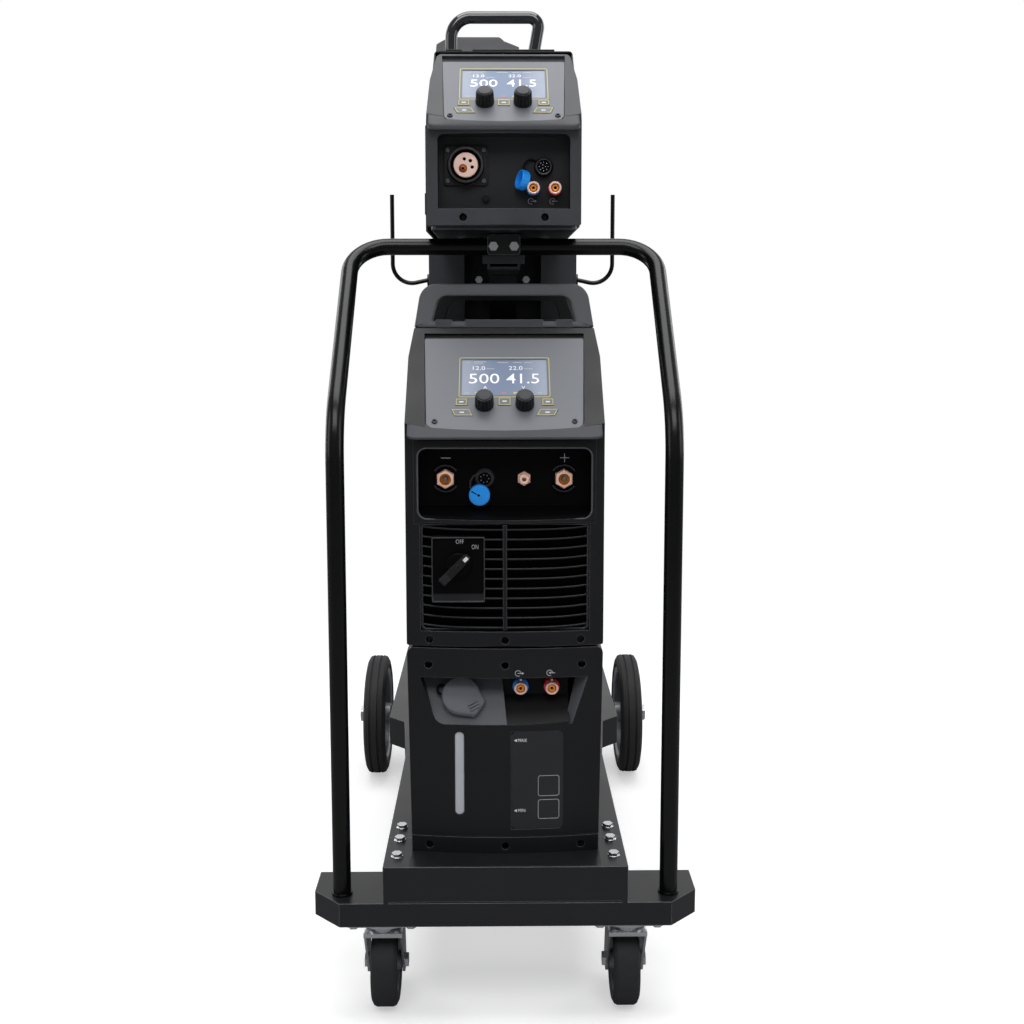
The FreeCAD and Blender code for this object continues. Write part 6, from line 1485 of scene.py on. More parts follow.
@dataclass
class Cooler:
    """The lowest box: front with a pocket painted lit, one painted dark as shade, sight slot and plate."""

    cap_place: Place = (-62.0, 70.5, 458.5)
    cap_way: Place = (0.0, -0.830, 0.5576)
    cap_radius: float = 27.0
    cap_tab: float = 35.0
    coupling_x: Point = (22.0, 66.0)
    coupling_z: float = 472.0
    coupling_back: float = 88.0
    pocket_x: tuple[Point, ...] = ((-119.0, -13.0), (-7.0, 93.0))
    pocket_z: Point = (425.0, 492.0)
    slope_y: Point = (48.4, 93.2)
    plate: tuple[float, float, float, float] = (8.6, 81.4, 273.4, 414.6)
    plate_marks: Point = (402.5, 300.4)
    corner_edge: tuple[Point, ...] = ((-110.0, 465.3), (-100.8, 436.0), (-97.2, 430.0), (-92.0, 426.6), (-86.0, 425.0))

    def front_rule(self, middle: Vector, normal: Vector) -> int:
        """Painted lighter in the filler pocket, where light falls, painted near black as shade in the fitting pocket,
        graphite elsewhere.

        Args:
            middle: the face's middle in millimetres.
            normal: the way it looks.

        Returns:
            The number of its finish.
        """
        face = MACHINE_FRONT.face_y + MACHINE_FRONT.bow * (middle.x / MACHINE_FRONT.half_width) ** 2
        low, high = self.pocket_z
        if low - 0.5 < middle.z < high + 1.0 and (middle.y > face + 1.0 or normal.z > 0.3):
            for number, (left, right) in enumerate(self.pocket_x, 1):
                if left < middle.x < right:
                    return number
        return 0

    def dress(self, screws: Screws, rows: Rows) -> None:
        """Dresses the cooler.

        Args:
            screws: makes the screw heads.
            rows: repeats the ridges of the cap.
        """
        carried("cooler_housing", SHEET)
        carried("cooler_front", MOULDED, MOULDED_PAINTED_LIT, POCKET_PAINTED_SHADE, rule=self.front_rule, cutters=self.openings())
        carried_plain(coolant_tank=TANK, coolant_pump=ALUMINIUM)
        self.cheeks()
        self.cap(rows)
        self.couplings()
        self.plate_face()
        screws.drive("cooler_screws", "cart", [
            (at(x, 65.0, z), FRONT) for x in (-107, 0, 107) for z in (248.5, 513.0)], BLACKED)

    def openings(self) -> list[bpy.types.Mesh]:
        """What is cut from the moulded front: the web between the pockets and the right pocket's flare.

        Returns:
            The meshes to cut away.
        """
        low, high = self.pocket_z
        web = Stock()
        loops = []
        back = self.slope_y[1] + 0.6
        for x, z in ((-117.9, 490.5), *self.corner_edge, *((x, low) for x in (-60.0, -40.0, -20.0, -8.0, -5.0))):
            front = MACHINE_FRONT.spot(x, z, 0.6)
            step = (z - low) / (high - low)
            front.y += step * (at(0, back, 0).y - front.y)
            loops.append([at(x, 30.0, z), front, at(x, back, high), at(x, 30.0, high)])
        web.wrap(loops)
        flare = Stock()
        outline = [(90.0, low), (93.7, low), (115.6, high), (90.0, high)]
        flare.wrap([[at(x, y, z) for x, z in outline] for y in (40.0, 92.0)])
        return [web.blank(), flare.blank()]

    def cheeks(self) -> None:
        """The tongue between the pockets, the flared right cheek and the round left corner."""
        stock = Stock()
        low, high = self.pocket_z
        head = self.slope_y[1]
        rows = []
        for share in (0.0, 0.15, 0.3, 0.5, 0.7, 0.85, 1.0):
            x0, x1 = -119.0 + share * 121.7, -119.0 + share * 113.6
            face = MACHINE_FRONT.spot(x0, low)
            rows.append([face, at(x0, face.y * MILLI + MIDDLE_Y + 7.0, low - 0.5), at(x1, head + 7, high + 0.5),
                         at(x1, head, high)])
        # The tongue and the flared right cheek wear the moulding painted lighter, for the light that falls on them
        stock.wrap(rows, 1)
        foot = ((93.7, 53.7), (84.0, 60.0), (88.0, 66.0), (99.0, 66.0), (99.0, 58.0))
        crown = ((115.6, 56.6), (102.0, 88.0), (106.0, 92.0), (120.0, 92.0), (119.0, 60.0))
        stock.wrap([[at(x, y, z) for x, y in outline] for outline, z in ((foot, low), (crown, high))], 1)
        stock.block((88.0, 62.0, high), (119.0, 92.0, high + 2.5), 0)
        loops = []
        for x, z in ((-121.5, high), (-118.4, high), *self.corner_edge):
            loops.append([MACHINE_FRONT.spot(x, low - 2.0, -0.05), MACHINE_FRONT.spot(x, z, -0.05), at(x, 98.0, z),
                          at(x, 98.0, low - 2.0)])
        stock.wrap(loops, 2)
        stock.done("cooler_front_cheeks", "cart", MOULDED, MOULDED_PAINTED_LIT, FLUSH, slot="bezel_grey", sharp=24.0)

    def cap(self, rows: Rows) -> None:
        """The filler cap: a round crown with a squared tab, ridges on the tab and the loop of its strap.

        Args:
            rows: repeats the ridges.
        """
        axes = facing(at(*self.cap_place), self.cap_way)
        outline = polar(self.cap_radius, range(12, 276, 8)) + polar(self.cap_tab, (-58, -48, -22, -12))
        stock = Stock()
        stock.stack([(shrunk(outline, by), height) for by, height in (
            (1.2, 0.6), (0.0, 2.0), (0.0, 9.0), (0.6, 10.8), (2.0, 12.0), (4.0, 12.4), (9.0, 12.6))], axes)
        ring = polar(6.5, range(-20, 281, 25))
        stock.rod([axes @ Vector((x - 27.0, y + 9.0, 6.0)) for x, y in ring], 1.9, 1)
        stock.turned([(17.0, -6.0), (17.0, 1.5)], axes, 32, [1])
        stock.done("filler_cap_skin", "coolant_cap", CAP_GREY, BLACK_AND_PAINTED_SHADE, slot="black_plastic", nodes=["filler_cap"],
                   sharp=28.0)
        ridge = Stock()
        lean = spun(axes, -62.0)
        ridge.prism(rounded(box_outline(17.8, 19.9, 1.5, 16.0), 0.6, 2), 12.0, 14.6, lean)
        step = lean.to_3x3() @ Vector((4.2, 0.0, 0.0)) * MILLI
        mesh = rows.lay(ridge.blank(), 3, tuple(step), CAP_GREY)
        put("filler_cap_ridges", shaded(mesh), "coolant_cap", [CAP_GREY])

    def couplings(self) -> None:
        """Blue and red quick couplings with their flow marks above."""
        stock = Stock()
        kind = Coupling()
        for number, x in enumerate(self.coupling_x):
            axes = ahead(x, self.coupling_back, self.coupling_z)
            kind.turn(stock, axes, number)
            stock.prism(box_outline(-1.3, 1.3, 9.5, 12.6), 12.0, 20.0, axes, 2)
        stock.done("coolant_couplings", "cart", BLUE, RED, NICKEL, GOLD, BLACK_AND_PAINTED_SHADE, slot="blue_plastic",
                   nodes=["coolant_fittings"])
        marks = [(facing(MACHINE_FRONT.spot(x - 4, 499.0, -0.1), FRONT), way)
                 for x, way in zip(self.coupling_x, (1.0, -1.0))]
        flow_marks("cooler_flow_marks", "cart", marks)

    def plate_face(self) -> None:
        """The bare plate in its recess, with level marks and two empty frames."""
        x0, x1, z0, z1 = self.plate
        outline = rounded(box_outline(x0, x1, z0, z1), 7.0)
        stock = Stock()
        stock.moulded(MACHINE_FRONT, [(outline, 4.5), (outline, -0.1), (shrunk(outline, 0.6), -0.4)])
        stock.done("cooler_plate", "cart", PLATE, sharp=40.0)
        marks = Stock()
        for z in self.plate_marks:
            points = [(12.4, z), (16.4, z - 2.3), (16.4, z + 2.3)]
            marks.moulded(MACHINE_FRONT, [(points, -0.3), (points, -0.52)])
        for low, high in ((321.0, 351.0), (287.6, 316.0)):
            outer = rounded(box_outline(46.0, 76.0, low, high), 3.5)
            inner = shrunk(outer, 0.7)
            marks.moulded(MACHINE_FRONT, [(outer, -0.2), (outer, -0.5), (inner, -0.5), (inner, -0.2)], 1, closed=True)
        marks.done("cooler_plate_marks", "cart", INK_WHITE, INK_DIM)
        flat = facing(MACHINE_FRONT.spot(24.0, 0.0, -0.55), FRONT)
        words("cooler_level_words", "cart", flat, INK_WHITE, [
            ("MAX", 5.0, (0.0, self.plate_marks[0]), 0.85, 0.0), ("MIN", 5.0, (-0.8, self.plate_marks[1]), 0.85, 0.0)])


@dataclass
class PowerSource:
    """The middle box with its arch, bay, grille and switch."""

    bay_back: float = 92.0
    weld_x: float = 82.5
    socket_z: float = 767.0
    control: Point = (-28.0, 767.0)
    cap: Place = (-35.0, 80.5, 745.5)
    gas_x: float = 27.0
    grille: tuple[float, float, float] = (116.6, 558.4, 709.6)
    slats: int = 11
    slat_depth: float = 20.0
    slat_rise: float = 4.0
    tray: tuple[float, float, float, float] = (-101.0, -27.5, 599.5, 691.0)
    switch: Point = (-64.0, 652.0)
    arch_lean: float = 0.36
    side_x: float = 137.2
    side_screw_y: tuple[float, ...] = (150, 390, 630)
    side_screw_z: tuple[Point, ...] = ((538, 900), (256, 500))

    def dress(self, screws: Screws, rows: Rows) -> None:
        """Dresses the power source.

        Args:
            screws: makes the screw heads.
            rows: repeats the slats.
        """
        carried("source_housing", SHEET)
        carried("source_bezel", MOULDED, MOULDED_CHEEK,
                rule=lambda middle, normal: int(normal.y < -0.3 and normal.z > 0.3 and middle.z > 830))
        carried_plain(source_bay=BLACK_AND_PAINTED_SHADE, rear_bezel=MOULDED, cooling_fan=BLACK_AND_PAINTED_SHADE, inverter_block=ALUMINIUM)
        self.bay_frame()
        self.arch()
        self.louvres(rows)
        self.switch_tray()
        self.lever()
        self.sockets()
        self.shade_sheets()
        screws.drive("source_screws", "cart", [(at(x, 65.0, 546.0), FRONT) for x in (-105, 0, 105)], BLACKED)
        sides = [(at(sign * self.side_x, y, z), (sign, 0.0, 0.0)) for heights in self.side_screw_z
                 for sign in (-1, 1) for y in self.side_screw_y for z in heights]
        screws.drive("housing_screws", "cart", sides, BLACKED, 0.9)

    def bay_frame(self) -> None:
        """The rim of the bay: round corners, a thin edge painted lighter as a highlight and a broad lip below that
        follows the bow.
        """
        stock = Stock()
        outer = rounded(box_outline(-127.0, 127.0, 706.0, 829.0), 3.0)
        face = rounded(box_outline(-121.0, 121.0, 710.4, 813.4), 13.0)
        mouth = rounded(box_outline(-118.6, 118.6, 716.6, 812.2), 11.0)
        bead = [(shrunk(mouth, -1.9), -1.5), (shrunk(mouth, -0.9), -1.6), (mouth, -0.4)]
        for levels, number in (([(outer, 1.2), (shrunk(outer, 1.6), -0.3), (face, -0.5), bead[0]], 0), (bead, 2),
                               ([bead[-1], (mouth, 3.6)], 0)):
            stock.moulded(MACHINE_FRONT, levels, number, ends=False)
        back = [at(x, self.bay_back - 0.6, z) for x, z in mouth]
        stock.wrap([MACHINE_FRONT.loop(mouth, 3.6), back], 1, ends=False)
        stock.wrap([back, MACHINE_FRONT.loop(outer, 1.2)], 1, ends=False)
        stock.done("source_bay_rim", "cart", MOULDED, BLACK_AND_PAINTED_SHADE, MOULDED_PAINTED_LIT, slot="bezel_grey", sharp=24.0)

    def shade_sheets(self) -> None:
        """Black sheets behind the side slots of both boxes, which stand in for the shade inside them."""
        stock = Stock()
        for sign in (-1, 1):
            for y0, y1, z0, z1 in ((340, 560, 620, 852), (400, 580, 280, 480)):
                x0, x1 = sorted((sign * 129.0, sign * 131.5))
                stock.block((x0, y0, z0), (x1, y1, z1))
        stock.done("side_slot_shade_sheets", "cart", BLACK_AND_PAINTED_SHADE)

    def arch(self) -> None:
        """The handle arch: it leans back like the slope below it and has three tabs on its sill."""
        outer = rounded([(-131, 974.5), (131, 974.5), (121.5, 1038.8), (-121.5, 1038.8)], [2.0, 2.0, 26.0, 26.0], 8)
        inner = rounded([(-105, 984), (105, 984), (96, 1020.5), (-96, 1020.5)], [2.0, 2.0, 17.0, 17.0], 8)
        stock = Stock()

        def leaning(outline: Sequence[Point], depth: float) -> list[Vector]:
            """The outline on the leaning face, at a depth."""
            return [at(x, 187.0 + self.arch_lean * (z - 974.0) + depth, z) for x, z in outline]

        def behind(outline: Sequence[Point], y: float) -> list[Vector]:
            """The outline on an upright plane."""
            return [at(x, y, z) for x, z in outline]

        wide = shrunk(inner, -3.2)
        stock.wrap([behind(shrunk(outer, 3.0), 225.4), behind(outer, 222.6), leaning(outer, 3.2),
                    leaning(shrunk(outer, 1.0), 1.0), leaning(shrunk(outer, 3.4), 0.2),
                    leaning(wide, 0.2), leaning(shrunk(inner, -0.9), 1.2), leaning(inner, 3.4), behind(inner, 222.6),
                    behind(wide, 225.4)], 0, closed=True)
        for x0, x1 in ((-100, -76), (-57, 57), (76, 100)):
            stock.prism(rounded(box_outline(x0, x1, 975.0, 986.4), 1.2, 2), -200.0, -188.2, ahead(0, 0, 0))
        # The arch wears the moulding painted lighter for the light it catches
        stock.done("source_arch", "cart", MOULDED_ARCH_PAINTED_LIT, slot="bezel_grey", nodes=["source_handle"], sharp=26.0)

    def slat(self, x0: float, x1: float, z: float) -> bpy.types.Mesh:
        """One slat between two places across, with a round nose, falling inwards.

        Args:
            x0: its start across.
            x1: its end across.
            z: its height in the middle.

        Returns:
            The slat as a plain mesh.
        """
        stock = Stock()
        pieces = max(2, int(abs(x1 - x0) / 14.0))
        section = [(0.9, -1.35), (0.25, -0.8), (0.0, 0.0), (0.25, 0.8), (0.9, 1.35),
                   (self.slat_depth, -2.0), (self.slat_depth, -4.2)]
        loops = []
        for i in range(pieces + 1):
            x = x0 + (x1 - x0) * i / pieces
            rise = self.slat_rise * (x / self.grille[0]) ** 4
            loops.append([MACHINE_FRONT.spot(x, z + up + rise, 1.1 + deep) for deep, up in section])
        stock.wrap(loops)
        return stock.blank()

    def louvres(self, rows: Rows) -> None:
        """The grille: its frame and middle rib, and slats that stop short of the switch.

        Args:
            rows: repeats the slats.
        """
        half, low, high = self.grille
        outer = rounded(box_outline(-half, half, low, high), [7.0, 7.0, 2.0, 2.0])
        inner = rounded(box_outline(-half + 3.4, half - 3.4, low + 3.4, high - 3.4), [5.0, 5.0, 1.5, 1.5])
        stock = Stock()
        stock.moulded(MACHINE_FRONT, [(outer, 12.0), (outer, 1.4), (shrunk(outer, 0.8), 0.7),
                                      (shrunk(inner, -0.8), 0.7), (inner, 1.6), (inner, 12.0)], closed=True)
        rib = ((-3, 20), (-3, 1.2), (-2.2, 0.5), (2.2, 0.5), (3, 1.2), (3, 20))
        stock.wrap([[MACHINE_FRONT.spot(x, z, deep) for x, deep in rib] for z in (low + 2, high - 2)])
        # A black sheet behind the slats, painted shade for the gaps between them
        stock.block((-half + 4, 76.0, low + 4), (half - 4, 78.0, high - 4), 1)
        stock.done("louvre_frame", "cart", MOULDED, BLACK_AND_PAINTED_SHADE, slot="bezel_grey", nodes=["louvre_grille"], sharp=30.0)
        pitch = (high - low) / self.slats
        first = low + pitch / 2 - self.slat_rise / 2
        x0, x1, z0, z1 = self.tray
        covered = [i for i in range(self.slats) if z0 - 2 < first + i * pitch < z1 + 2]
        begin, count = covered[0], len(covered)
        runs = [("right", 2.6, half - 3, 0, self.slats), ("left_low", -half + 3, -2.6, 0, begin),
                ("left_top", -half + 3, -2.6, begin + count, self.slats - begin - count),
                ("stub_outer", -half + 3, x0 + 0.6, begin, count), ("stub_inner", x1 - 0.6, -2.6, begin, count)]
        for label, start, end, row, number in runs:
            base = self.slat(start, end, first + row * pitch)
            mesh = rows.lay(base, number, (0.0, 0.0, pitch), LOUVRE)
            put(f"louvre_slats_{label}", shaded(mesh, 24.0), "cart", [LOUVRE])

    def switch_tray(self) -> None:
        """The sunk plate of the switch with its lit sill and the words by the lever."""
        x0, x1, z0, z1 = self.tray
        outer = rounded(box_outline(x0, x1, z0, z1), 2.0)
        axes = ahead(0.0, 0.0, 0.0)
        stock = Stock()
        rim = [(outer, -66.0), (outer, -49.6), (shrunk(outer, 0.6), -49.0), (shrunk(outer, 1.4), -49.0),
               (shrunk(outer, 1.8), -49.8), (shrunk(outer, 1.8), -66.0)]
        stock.stack(rim, axes, 1, closed=True)
        stock.prism(shrunk(outer, 1.7), -66.0, -52.0, axes, 0)
        sill = [(52.4, z0 + 1.9), (49.8, z0 + 1.9), (52.4, z0 + 13.5)]
        stock.wrap([[at(x, y, z) for y, z in sill] for x in (x0 + 1.9, x1 - 1.9)], 1)
        x, z = self.switch
        stock.block((x - 24, 60.0, z - 24), (x + 24, 107.0, z + 24))
        stock.done("switch_tray", "cart", BLACK_AND_PAINTED_SHADE, MOULDED, slot="black_plastic", nodes=["switch_plate"], sharp=30.0)
        flat = ahead(0.0, 51.9, 0.0)
        words("switch_words", "cart", flat, INK_DIM, [
            ("OFF", 6.4, (-62.0, 684.0), 0.74, -0.004), ("ON", 6.4, (-41.0, 676.5), 0.7, -0.004)])

    def lever(self) -> None:
        """The switch's disc and its lever, with grip ridges, a pivot screw and a white mark at its tip."""
        x, z = self.switch
        axes = ahead(x, 52.0, z)
        stock = Stock()
        stock.turned([(0, 0.2), (17.2, 0.2), (17.2, 6.2), (16.2, 7.4), (8.0, 7.8), (0, 7.8)], axes, 48, [0])
        lean = spun(axes, 45.0)
        bar = [(-33.0, -6.2), (17.0, -5.4), (20.5, -3.6), (20.5, 3.6), (17.0, 5.4), (-33.0, 6.2)]
        bar = rounded(bar, [2.0, 1.0, 2.0, 2.0, 1.0, 2.0], 3)
        stock.stack([(bar, 7.0), (bar, 13.4), (shrunk(bar, 0.7), 14.6), (shrunk(bar, 1.7), 15.0)], lean, 1)
        for u in (-30.0, -27.0, -24.0, -21.0):
            stock.prism(box_outline(u, u + 1.2, -4.6, 4.6), 14.9, 15.6, lean, 1)
        stock.prism(box_outline(11.0, 18.0, -2.4, 2.4), 14.9, 15.4, lean, 2)
        stock.turned([(2.6, 14.8), (2.6, 15.6), (0, 15.8)], lean, 20, [3])
        stock.done("switch_lever", "mains_switch", BLACK_AND_PAINTED_SHADE, LEVER_BLACK, INK_WHITE, BLACKED, slot="black_plastic",
                   nodes=["power_switch"], sharp=30.0)

    def sockets(self) -> None:
        """Weld sockets with guard arcs, control socket with its hanging cap, gas nipple and the pole marks."""
        stock = Stock()
        back, z = self.bay_back, self.socket_z
        for x in (-self.weld_x, self.weld_x):
            axes = ahead(x, back, z)
            stock.turned([(0, 0.2), (16.6, 0.2), (16.6, 2.6), (15.6, 3.2), (0, 3.2)], axes, 40, [0])
            for turn in (35.0, 215.0):
                self.arc(stock, spun(axes, turn), 17.4, 19.2, 6.0, 110.0, 1)
            stock.stack([(hexagon(radius), height) for radius, height in (
                (13.2, 2.8), (13.4, 3.4), (13.4, 13.6), (12.4, 15.0))], axes, 2, ends=False)
            stock.turned([(10.9, 14.9), (10.2, 15.4), (7.9, 15.4)], axes, 36, [2])
            self.lid(stock, axes, 12.4, 15.0, 10.9, 14.9)
            stock.turned([(7.9, 15.4), (7.4, 14.2), (6.9, 7.5), (3.7, 7.5)], axes, 36, [3])
            stock.turned([(3.7, 7.4), (3.7, 11.5), (3.0, 12.6), (1.2, 13.0), (0, 12.6)], axes, 28, [4])
        axes = ahead(self.control[0], back, self.control[1])
        stock.turned([(0, 0.2), (13.4, 0.2), (13.4, 2.4), (11.6, 3.0), (11.4, 9.4), (10.6, 10.0), (9.4, 9.6),
                      (9.2, 5.0), (0, 5.0)], axes, 40, [5, 5, 5, 5, 5, 5, 5, 0])
        stock.pins(axes, 7, 5.6, [(0.9, 4.8), (0.9, 8.2), (0, 8.6)], 4)
        axes = ahead(self.gas_x, back, z)
        stock.stack([(hexagon(radius), height) for radius, height in (
            (9.8, 0.2), (10.0, 0.8), (10.0, 9.2), (9.2, 10.4))], axes, 2)
        stock.turned([(7.8, 10.2), (7.6, 14.6), (6.6, 16.6), (5.0, 17.0), (3.2, 16.6), (2.6, 15.4)], axes, 32, [2])
        # The nipple's bore is painted black as shade
        stock.turned([(2.6, 15.4), (2.5, 9.0), (0, 9.0)], axes, 20, [0])
        self.hung_cap(stock)
        stock.done("source_couplings", "cart", BLACK_AND_PAINTED_SHADE, RIM_GREY, COPPER_PINK, BRASS, STAINLESS, MOULDED, BLUE,
                   slot="black_plastic", nodes=["source_sockets"], sharp=30.0)
        flat = ahead(0.0, back - 0.05, 0.0)
        marks = Stock()
        for x0, x1, z0, z1, high in ((-89.0, -75.5, 794.6, 795.8, 0.3), (77.2, 90.2, 794.8, 795.8, 0.3),
                                     (83.2, 84.2, 789.0, 801.6, 0.32)):
            marks.prism(box_outline(x0, x1, z0, z1), 0.0, high, flat)
        marks.done("pole_marks", "cart", INK_DIM)

    @staticmethod
    def arc(stock: Stock, axes: Matrix, inner: float, outer: float, height: float, sweep: float, number: int) -> None:
        """A raised part of a ring from the axes' X, turning left.

        Args:
            stock: the piece that gets it.
            axes: the ring's axes.
            inner: its inner radius.
            outer: its outer radius.
            height: how far it stands out.
            sweep: its length in degrees.
            number: its finish's number.
        """
        count = 16
        section = [(inner, 0.2), (inner, height), (outer, height), (outer, 0.2)]
        loops = []
        for k in range(count + 1):
            t = math.radians(sweep) * k / count
            loops.append([axes @ Vector((r * math.cos(t), r * math.sin(t), h)) for r, h in section])
        stock.wrap(loops, number)

    @staticmethod
    def lid(stock: Stock, axes: Matrix, corner: float, low: float, radius: float, high: float) -> None:
        """The flat between a six-sided edge and a round one.

        Args:
            stock: the piece that gets it.
            axes: the fitting's axes.
            corner: the radius of the six corners.
            low: their height.
            radius: the radius of the round edge.
            high: its height.
        """
        six = [Vector((*corner, low)) for corner in hexagon(corner)]
        outer = [axes @ six[k // 6].lerp(six[(k // 6 + 1) % 6], (k % 6) / 6.0) for k in range(36)]
        inner = [axes @ Vector((*spot, high)) for spot in polar(radius, [90.0 + 10.0 * k for k in range(36)])]
        stock.wrap([outer, inner], 2, ends=False)

    def hung_cap(self, stock: Stock) -> None:
        """The blue dust cap, seen from its flat side, on its black strap.

        Args:
            stock: the piece that gets it.
        """
        x, y, z = self.cap
        axes = ahead(x, y, z)
        stock.turned([(0, 0), (13.6, 0), (14.6, 0.8), (14.8, 2.0), (14.8, 9.4), (14.2, 11.0), (12.8, 11.8), (0, 12.0)],
                     axes, 44, [6])
        stock.prism([(1.0, -0.3), (12.6, -1.0), (12.6, 1.0), (1.0, 0.3)], 11.6, 12.15, spun(axes, 152.0))
        stock.turned([(1.7, 11.9), (1.5, 12.6), (0, 12.8)], axes @ Matrix.Translation((-1.0, 0.4, 0)), 16, [0])
        stock.turned([(4.2, -11.0), (4.2, 0.5)], axes, 16, [0])
        stock.rod([at(*p) for p in ((-38, 89.6, 772), (-43.5, 88.8, 770), (-47.6, 87.6, 763), (-48, 86.4, 755),
                                    (-45, 85.2, 748), (-40, 84, 745))], 1.5, 1)


@dataclass
class Feeder:
    """The swivelling wire feeder."""

    bay_back: float = 190.0
    torch: Point = (-54.5, 1206.0)
    flange: Point = (31.5, 28.0)
    disc: float = 17.6
    pins: tuple[Point, ...] = ((-2.0, 8.5), (6.6, 6.0), (9.2, -3.0))
    wire: Point = (-4.0, -5.0)
    control: Point = (57.0, 1204.0)
    cap: Place = (27.0, 178.0, 1184.5)
    cap_way: Place = (-0.9, -0.34, 0.24)
    cap_ribs: int = 18
    coupling_x: Point = (42.0, 73.0)
    coupling_z: float = 1173.0
    spool: Place = (-53.0, 545.0, 1280.0)
    wound: float = 128.0

    def dress(self, screws: Screws, rings: Rings) -> None:
        """Dresses the feeder.

        Args:
            screws: makes the screw heads.
            rings: winds the wire on the spool.
        """
        carried_plain(feeder_base=POWDER, feeder_housing=SHEET)
        carried("feeder_bezel", MOULDED_SLATE, FEEDER_BAY_PAINTED_SHADE, rule=self.bezel_rule)
        carried_plain(feeder_door=DOOR, feeder_handle=POLISHED, gas_button=GLOSS_BLACK, wire_spool=HUB,
                      wire_drive=ALUMINIUM, drive_roll=ZINC, pressure_arm=BLACK_AND_PAINTED_SHADE)
        self.torch_connector(screws)
        self.fittings()
        x, y, z = self.spool
        rings.wind("wound_wire", "spool", COPPER_WIRE, (x - 40.0, y, z), (0, 90, 0), 27, 3.1, self.wound - 1.0, 1.6)
        screws.drive("feeder_screws", "feeder", [(at(x, 168.0, 1131.0), FRONT) for x in (-58, 58)], BLACKED)

    def bezel_rule(self, middle: Vector, normal: Vector) -> int:
        """Dark grey painted inside the bay as shade, slate elsewhere."""
        return int(abs(middle.x) < 94.5 and 1142.5 < middle.z < 1247.5 and middle.y > 160)

    def torch_connector(self, screws: Screws) -> None:
        """Flange, collar and pale disc with its holes and the copper nose.

        Args:
            screws: makes the screw heads.
        """
        x, z = self.torch
        axes = ahead(x, self.bay_back, z)
        stock = Stock()
        wide, tall = self.flange
        plate = rounded(box_outline(-wide, wide, -tall, tall), 4.5)
        stock.stack([(plate, 0.2), (plate, 3.2), (shrunk(plate, 0.8), 4.0)], axes)
        # The collar's inner wall and the floor round the disc are painted black as shade
        stock.turned([(27.4, 3.8), (26.6, 5.4), (25.8, 14.2), (24.8, 16.0), (22.8, 16.2), (21.8, 14.6), (20.6, 5.0),
                      (0, 5.0)], axes, 56, [0, 0, 3, 3, 3, 1, 1])
        disc = Stock()
        r = self.disc
        disc.turned([(0, 4.6), (r, 4.6), (r, 12.0), (r - 0.9, 12.9), (0, 12.9)], axes, 56, [0])
        tools = []
        for u, v in (*self.pins, self.wire):
            tool = Stock()
            reach = 2.5 if (u, v) != self.wire else 6.0
            hole = axes @ Matrix.Translation((u, v, 0))
            tool.turned([(0, 8.0), (reach, 8.0), (reach, 15.0), (0, 15.0)], hole, 24)
            tools.append(tool.blank())
        mesh = cut_away(disc.blank(), tools)
        put("torch_disc", shaded(mesh, 28.0), "feeder", [SOCKET_PINK])
        # Black discs at the bottoms of the pin holes, painted shade
        for u, v in self.pins:
            stock.turned([(2.45, 8.1), (0, 8.1)], axes @ Matrix.Translation((u, v, 0)), 16, [1])
        nose = axes @ Matrix.Translation((*self.wire, 0))
        # The nose's bore is painted black as shade
        stock.turned([(5.9, 8.0), (5.7, 12.4), (4.6, 14.8), (3.2, 16.0), (2.0, 16.2), (1.7, 15.4), (1.6, 11.0),
                      (0, 11.0)], nose, 28, [2, 2, 2, 2, 2, 1, 1])
        stock.turned([(8.0, -34.0), (8.0, -3.0)], nose, 20, [2])
        stock.done("torch_connector", "feeder", LEVER_BLACK, BLACK_AND_PAINTED_SHADE, COPPER_NOSE, RIM_GREY, slot="black_plastic",
                   nodes=["torch_socket"], sharp=30.0)
        heads = [(axes @ Vector((u, v, 3.9)), FRONT) for u in (-25.8, 25.8) for v in (-21.5, 21.5)]
        screws.drive("torch_flange_screws", "feeder", heads, DULL_ZINC, 0.8)

    def fittings(self) -> None:
        """Control socket, the blue cap hanging edge-on from it, couplings and their flow marks."""
        stock = Stock()
        axes = ahead(self.control[0], self.bay_back, self.control[1])
        stock.turned([(0, 0.2), (13.6, 0.2), (13.6, 2.6), (12.0, 3.2), (11.6, 9.6), (10.8, 10.2), (9.4, 9.8),
                      (9.2, 5.0), (0, 5.0)], axes, 40, [4, 4, 4, 5, 5, 5, 4, 4])
        for count, reach in ((8, 6.2), (3, 2.4)):
            stock.pins(axes, count, reach, [(0.85, 4.8), (0.85, 8.4), (0, 8.8)], 6)
        cap = facing(at(*self.cap), self.cap_way)
        stock.turned([(0, -6.4), (12.4, -6.2), (13.6, -5.0), (13.9, -3.2), (13.9, 5.6), (13.4, 6.2), (12.0, 6.2),
                      (11.6, 5.2), (11.4, -3.6), (0, -3.6)], cap, 44, [0])
        for k in range(self.cap_ribs):
            rib = spun(cap, 360.0 * k / self.cap_ribs, 13.7)
            stock.prism(box_outline(-0.4, 0.55, -0.7, 0.7), -3.0, 5.2, rib)
        stock.rod([at(*p) for p in ((46, 188.6, 1212), (41, 187.6, 1214.4), (35, 186, 1213.6), (30, 184, 1209),
                                    (28, 182, 1202), (29, 181, 1195))], 1.4, 4)
        kind = Coupling(collar=9.7, nose=4.6)
        for number, x in enumerate(self.coupling_x):
            kind.turn(stock, ahead(x, self.bay_back, self.coupling_z), number)
        stock.done("feeder_couplings", "feeder", BLUE, RED, NICKEL, GOLD, BLACK_AND_PAINTED_SHADE, RIM_GREY, STAINLESS,
                   slot="blue_plastic", nodes=["feeder_fittings"], sharp=30.0)
        marks = [(ahead(x - 3, self.bay_back - 0.02, 1156.0), way)
                 for x, way in zip(self.coupling_x, (1.0, -1.0))]
        flow_marks("feeder_flow_marks", "feeder", marks)


# The studio

